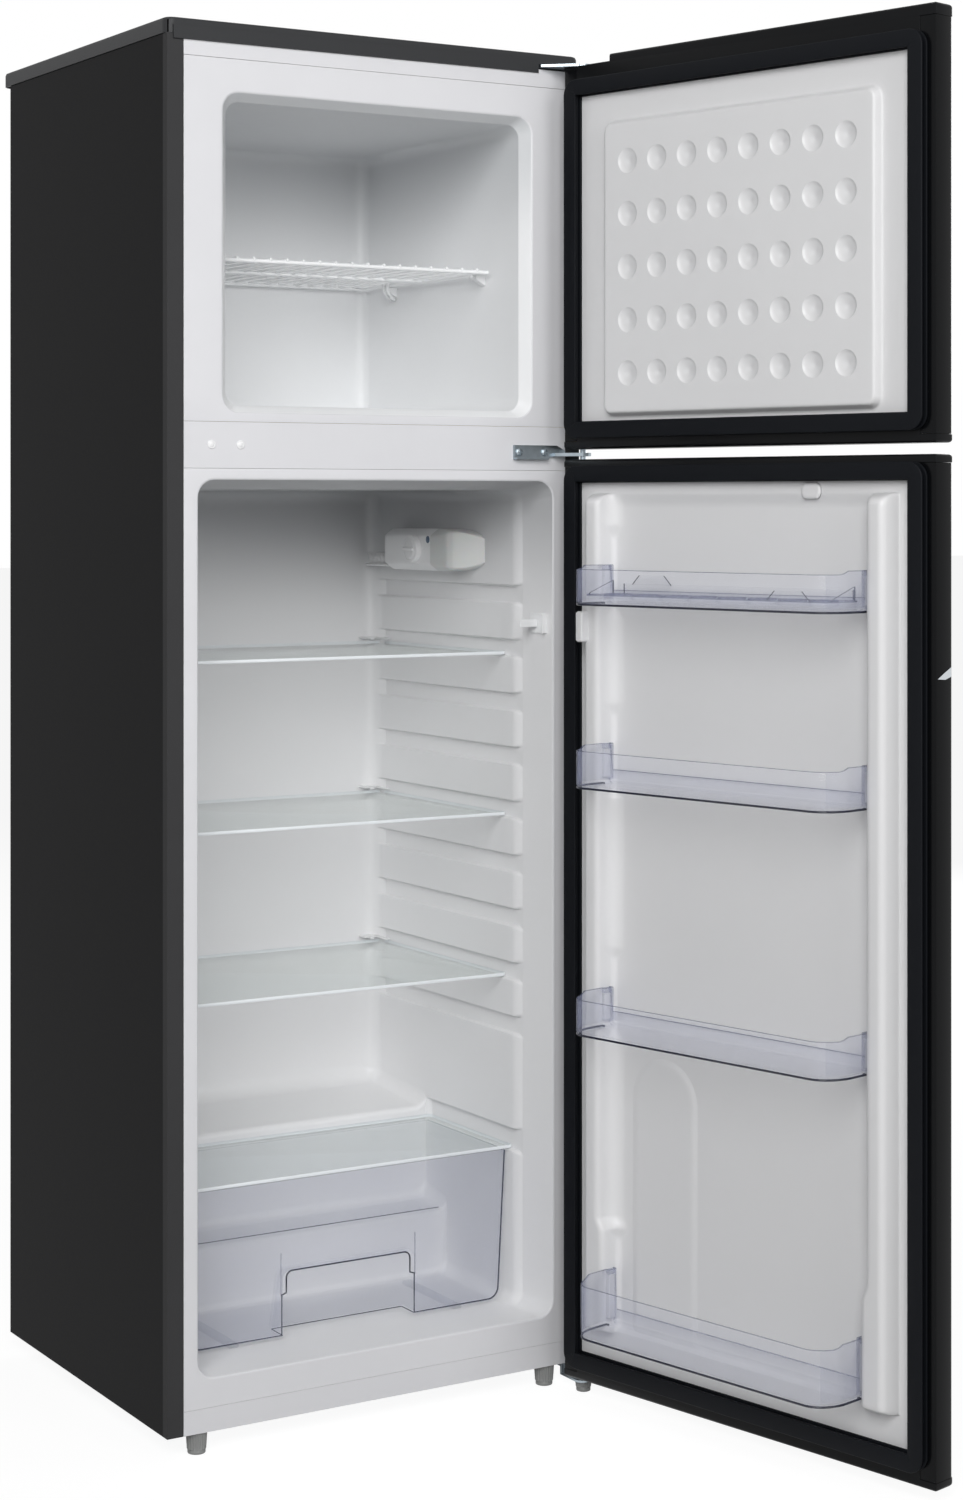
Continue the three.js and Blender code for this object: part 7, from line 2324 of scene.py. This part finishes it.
@dataclass
class WireShelf:
    """The freezer's welded shelf: a thick front rod, a rim bent round it, a middle bar and a row of wires."""

    node: str = "freezer_wire_shelf"
    half: float = 186.0
    front: float = 75.0
    back: float = 385.0
    level: float = 1316.0
    rod: float = 2.5
    rim: float = 2.0
    wire: float = 1.6
    count: int = 17
    pitch: float = 21.5
    corner: float = 22.0

    def wires(self, drawing: Matrix) -> Object:
        """Grows the row of wires, each with its butted end just over the front rod."""
        grower = Grower("shelf_wires")
        count, pitch = grower.size("Count", self.count), grower.size("Pitch", self.pitch)
        reach = grower.size("Length", self.back - self.front + self.rim + self.rod + 2.0)
        thick = grower.size("Radius", self.wire)
        end = grower.node("ShaderNodeCombineXYZ", inputs={"Y": reach})
        one = grower.node("GeometryNodeCurvePrimitiveLine", inputs={"End": end.outputs["Vector"]})
        rod = grower.tube(one.outputs["Curve"], thick, 10)
        knob = grower.node("GeometryNodeMeshUVSphere", inputs={
            "Segments": 12, "Rings": 8, "Radius": grower.math("MULTIPLY", thick, 1.12)})
        moved = grower.node("GeometryNodeTransform", inputs={
            "Geometry": knob.outputs["Mesh"], "Translation": (0.0, 1.4, 0.0)})
        joined = grower.join((rod, moved.outputs["Geometry"]))
        step = grower.node("ShaderNodeCombineXYZ", inputs={"X": pitch})
        begin = grower.node("ShaderNodeCombineXYZ", inputs={
            "X": grower.math("MULTIPLY", grower.math("SUBTRACT", count, 1.0), grower.math("MULTIPLY", pitch, -0.5))})
        spread = grower.row(count, begin.outputs["Vector"], step, joined)
        seed = Form()
        seed.path([(0.0, 0.0, 0.0), (0.0, 0.0, 1.0)])
        shift = Matrix.Translation((0.0, self.front - self.rod - 1.0, self.level + self.rim + self.wire * 0.4))
        return grower.grow(seed, spread, Finishes.WIRE, "wires", drawing @ shift)

    def build(self, drawing: Matrix) -> None:
        """Builds the shelf."""
        corner = arc((self.half - self.corner, self.back - self.corner), self.corner, 0, 90, 8)
        right = [(self.half, self.front, self.level), *upright(corner, self.level)]
        rim = right + [(-x, y, z) for x, y, z in reversed(right)]
        depth = (self.front + self.back) / 2
        bars = swept("rim", [rim, [(-self.half, depth, self.level), (self.half, depth, self.level)]],
                     self.rim, Finishes.WIRE, drawing, 10)
        reach = self.half + self.rod - 0.1
        front = swept("front_rod", [[(-reach, self.front, self.level), (reach, self.front, self.level)]],
                      self.rod, Finishes.WIRE, drawing, 14)
        made = merged(self.node + "_piece", bars, front, self.wires(drawing))
        fit(crease(made, 50.0), Finishes.WIRE, self.node)


@dataclass
class Interior:
    """Everything that lies or hangs in the compartments."""

    plates: tuple[str, ...] = ("glass_shelf_1", "glass_shelf_2", "glass_shelf_3", "crisper_cover")

    def build(self, drawing: Matrix) -> None:
        """Builds and dresses the fittings of both compartments."""
        for node in self.plates:
            GlassPlate(node).build(drawing)
        CrisperDrawer().build(drawing)
        Thermostat().build(drawing)
        finished("switch_bezel", Finishes.WIRE, 0.5)
        finished("switch_lever", Finishes.WIRE, 0.8)
        WireShelf().build(drawing)


# --- Studio ---


@dataclass
class Softbox:
    """A square light that faces a point."""

    name: str
    place: Point
    aim: Point
    size: float
    power: float
    colour: str = "ffffff"

    def build(self) -> None:
        """Adds the lamp to the scene."""
        lamp = bpy.data.lights.new(self.name, "AREA")
        lamp.shape = "SQUARE"
        lamp.size = self.size
        lamp.energy = self.power
        lamp.color = linear(self.colour)[:3]
        holder = bpy.data.objects.new(self.name, lamp)
        holder.location = self.place
        holder.rotation_euler = (Vector(self.aim) - Vector(self.place)).to_track_quat("-Z", "Y").to_euler()
        bpy.context.scene.collection.objects.link(holder)


@dataclass
class Studio:
    """Camera, lamps, floor and background.

    Attributes:
        rise: Vertical shift, in sensor heights.
        shadow: Share of the lamps' light that the floor shows, and loses in shadow.
        lift: Strength of the floor's own white.
    """

    stand: Point = (-1.6118, -2.7444, 1.0604)
    heading_degrees: float = 31.3
    lens_mm: float = 65.95
    sensor_mm: float = 36.0
    rise: float = -0.1643
    ambient: float = 0.06
    shadow: float = 0.2
    lift: float = 0.9
    floor_half: float = 40.0
    lamps: list[Softbox] = field(default_factory=lambda: [
        Softbox("key", (-2.3, -3.1, 2.7), (0.0, 0.0, 0.8), 2.4, 125.0),
        Softbox("front", (0.6, -4.2, 2.4), (0.0, 0.0, 0.8), 2.2, 42.0),
        Softbox("rear", (3.6, 2.6, 2.2), (0.0, 0.0, 0.8), 2.4, 75.0),
    ])

    def build(self) -> None:
        """Builds the studio."""
        self.camera()
        self.world()
        self.floor()
        for lamp in self.lamps:
            lamp.build()
        bpy.context.scene.view_settings.view_transform = "Standard"
        # Enough for light to pass every clear sheet that stands behind another.
        bpy.context.scene.cycles.transparent_max_bounces = 32

    def camera(self) -> None:
        """Adds the level camera and makes it the scene's."""
        lens = bpy.data.cameras.new("camera")
        lens.sensor_fit = "VERTICAL"
        lens.sensor_height = self.sensor_mm
        lens.lens = self.lens_mm
        lens.shift_y = self.rise
        lens.clip_end = 200.0
        holder = bpy.data.objects.new("camera", lens)
        holder.location = self.stand
        holder.rotation_euler = (math.radians(90.0), 0.0, -math.radians(self.heading_degrees))
        bpy.context.scene.collection.objects.link(holder)
        bpy.context.scene.camera = holder

    @staticmethod
    def seen(tree: NodeTree) -> NodeSocket:
        """Gives 1 where the background is looked at, reflected or seen through something.

        Args:
            tree: The tree that takes the nodes.

        Returns:
            The socket.
        """
        path = add_node(tree, "ShaderNodeLightPath")
        direct = add_node(tree, "ShaderNodeMath", {"operation": "MAXIMUM"}, {
            0: path.outputs["Is Camera Ray"], 1: path.outputs["Is Transmission Ray"]})
        return add_node(tree, "ShaderNodeMath", {"operation": "MAXIMUM"}, {
            0: direct.outputs["Value"], 1: path.outputs["Is Glossy Ray"]}).outputs["Value"]

    def world(self) -> None:
        """Lights everything evenly, and shows white behind the object."""
        world = bpy.data.worlds.new("studio")
        bpy.context.scene.world = world
        world.use_nodes = True
        tree = world.node_tree
        tree.nodes.clear()
        strength = add_node(tree, "ShaderNodeMapRange", inputs={
            "Value": self.seen(tree), "To Min": self.ambient, "To Max": 1.0})
        glow = add_node(tree, "ShaderNodeBackground", inputs={
            "Color": linear("ffffff"), "Strength": strength.outputs["Result"]})
        add_node(tree, "ShaderNodeOutputWorld", inputs={"Surface": glow.outputs["Background"]})

    def floor(self) -> None:
        """Adds the pale floor, which keeps the object's shadow."""
        material, tree = new_material("pale_floor")
        matt = add_node(tree, "ShaderNodeBsdfDiffuse", inputs={"Color": linear("bcbcbc")})
        faint = add_node(tree, "ShaderNodeBsdfDiffuse", inputs={"Color": (self.shadow, self.shadow, self.shadow, 1.0)})
        lift = add_node(tree, "ShaderNodeEmission", inputs={"Color": linear("ffffff"), "Strength": self.lift})
        looked_at = add_node(tree, "ShaderNodeAddShader", inputs={
            0: faint.outputs["BSDF"], 1: lift.outputs["Emission"]})
        both = add_node(tree, "ShaderNodeMixShader", inputs={
            "Fac": self.seen(tree), 1: matt.outputs["BSDF"], 2: looked_at.outputs["Shader"]})
        add_node(tree, "ShaderNodeOutputMaterial", inputs={"Surface": both.outputs["Shader"]})
        shape = bmesh.new()
        bmesh.ops.create_grid(shape, x_segments=1, y_segments=1, size=self.floor_half)
        ground = as_object(shape, "floor")
        ground.data.materials.append(material)


def main() -> None:
    """Builds the refrigerator's looks and the studio."""
    logging.basicConfig(level=logging.INFO, format="%(message)s")
    Studio().build()
    cabinet = cabinet_drawing()
    Cabinet().build(cabinet)
    CoolingSet().build()
    Interior().build(cabinet)
    FreezerDoor().build()
    FridgeDoor().build()


if __name__ == "__main__":
    main()
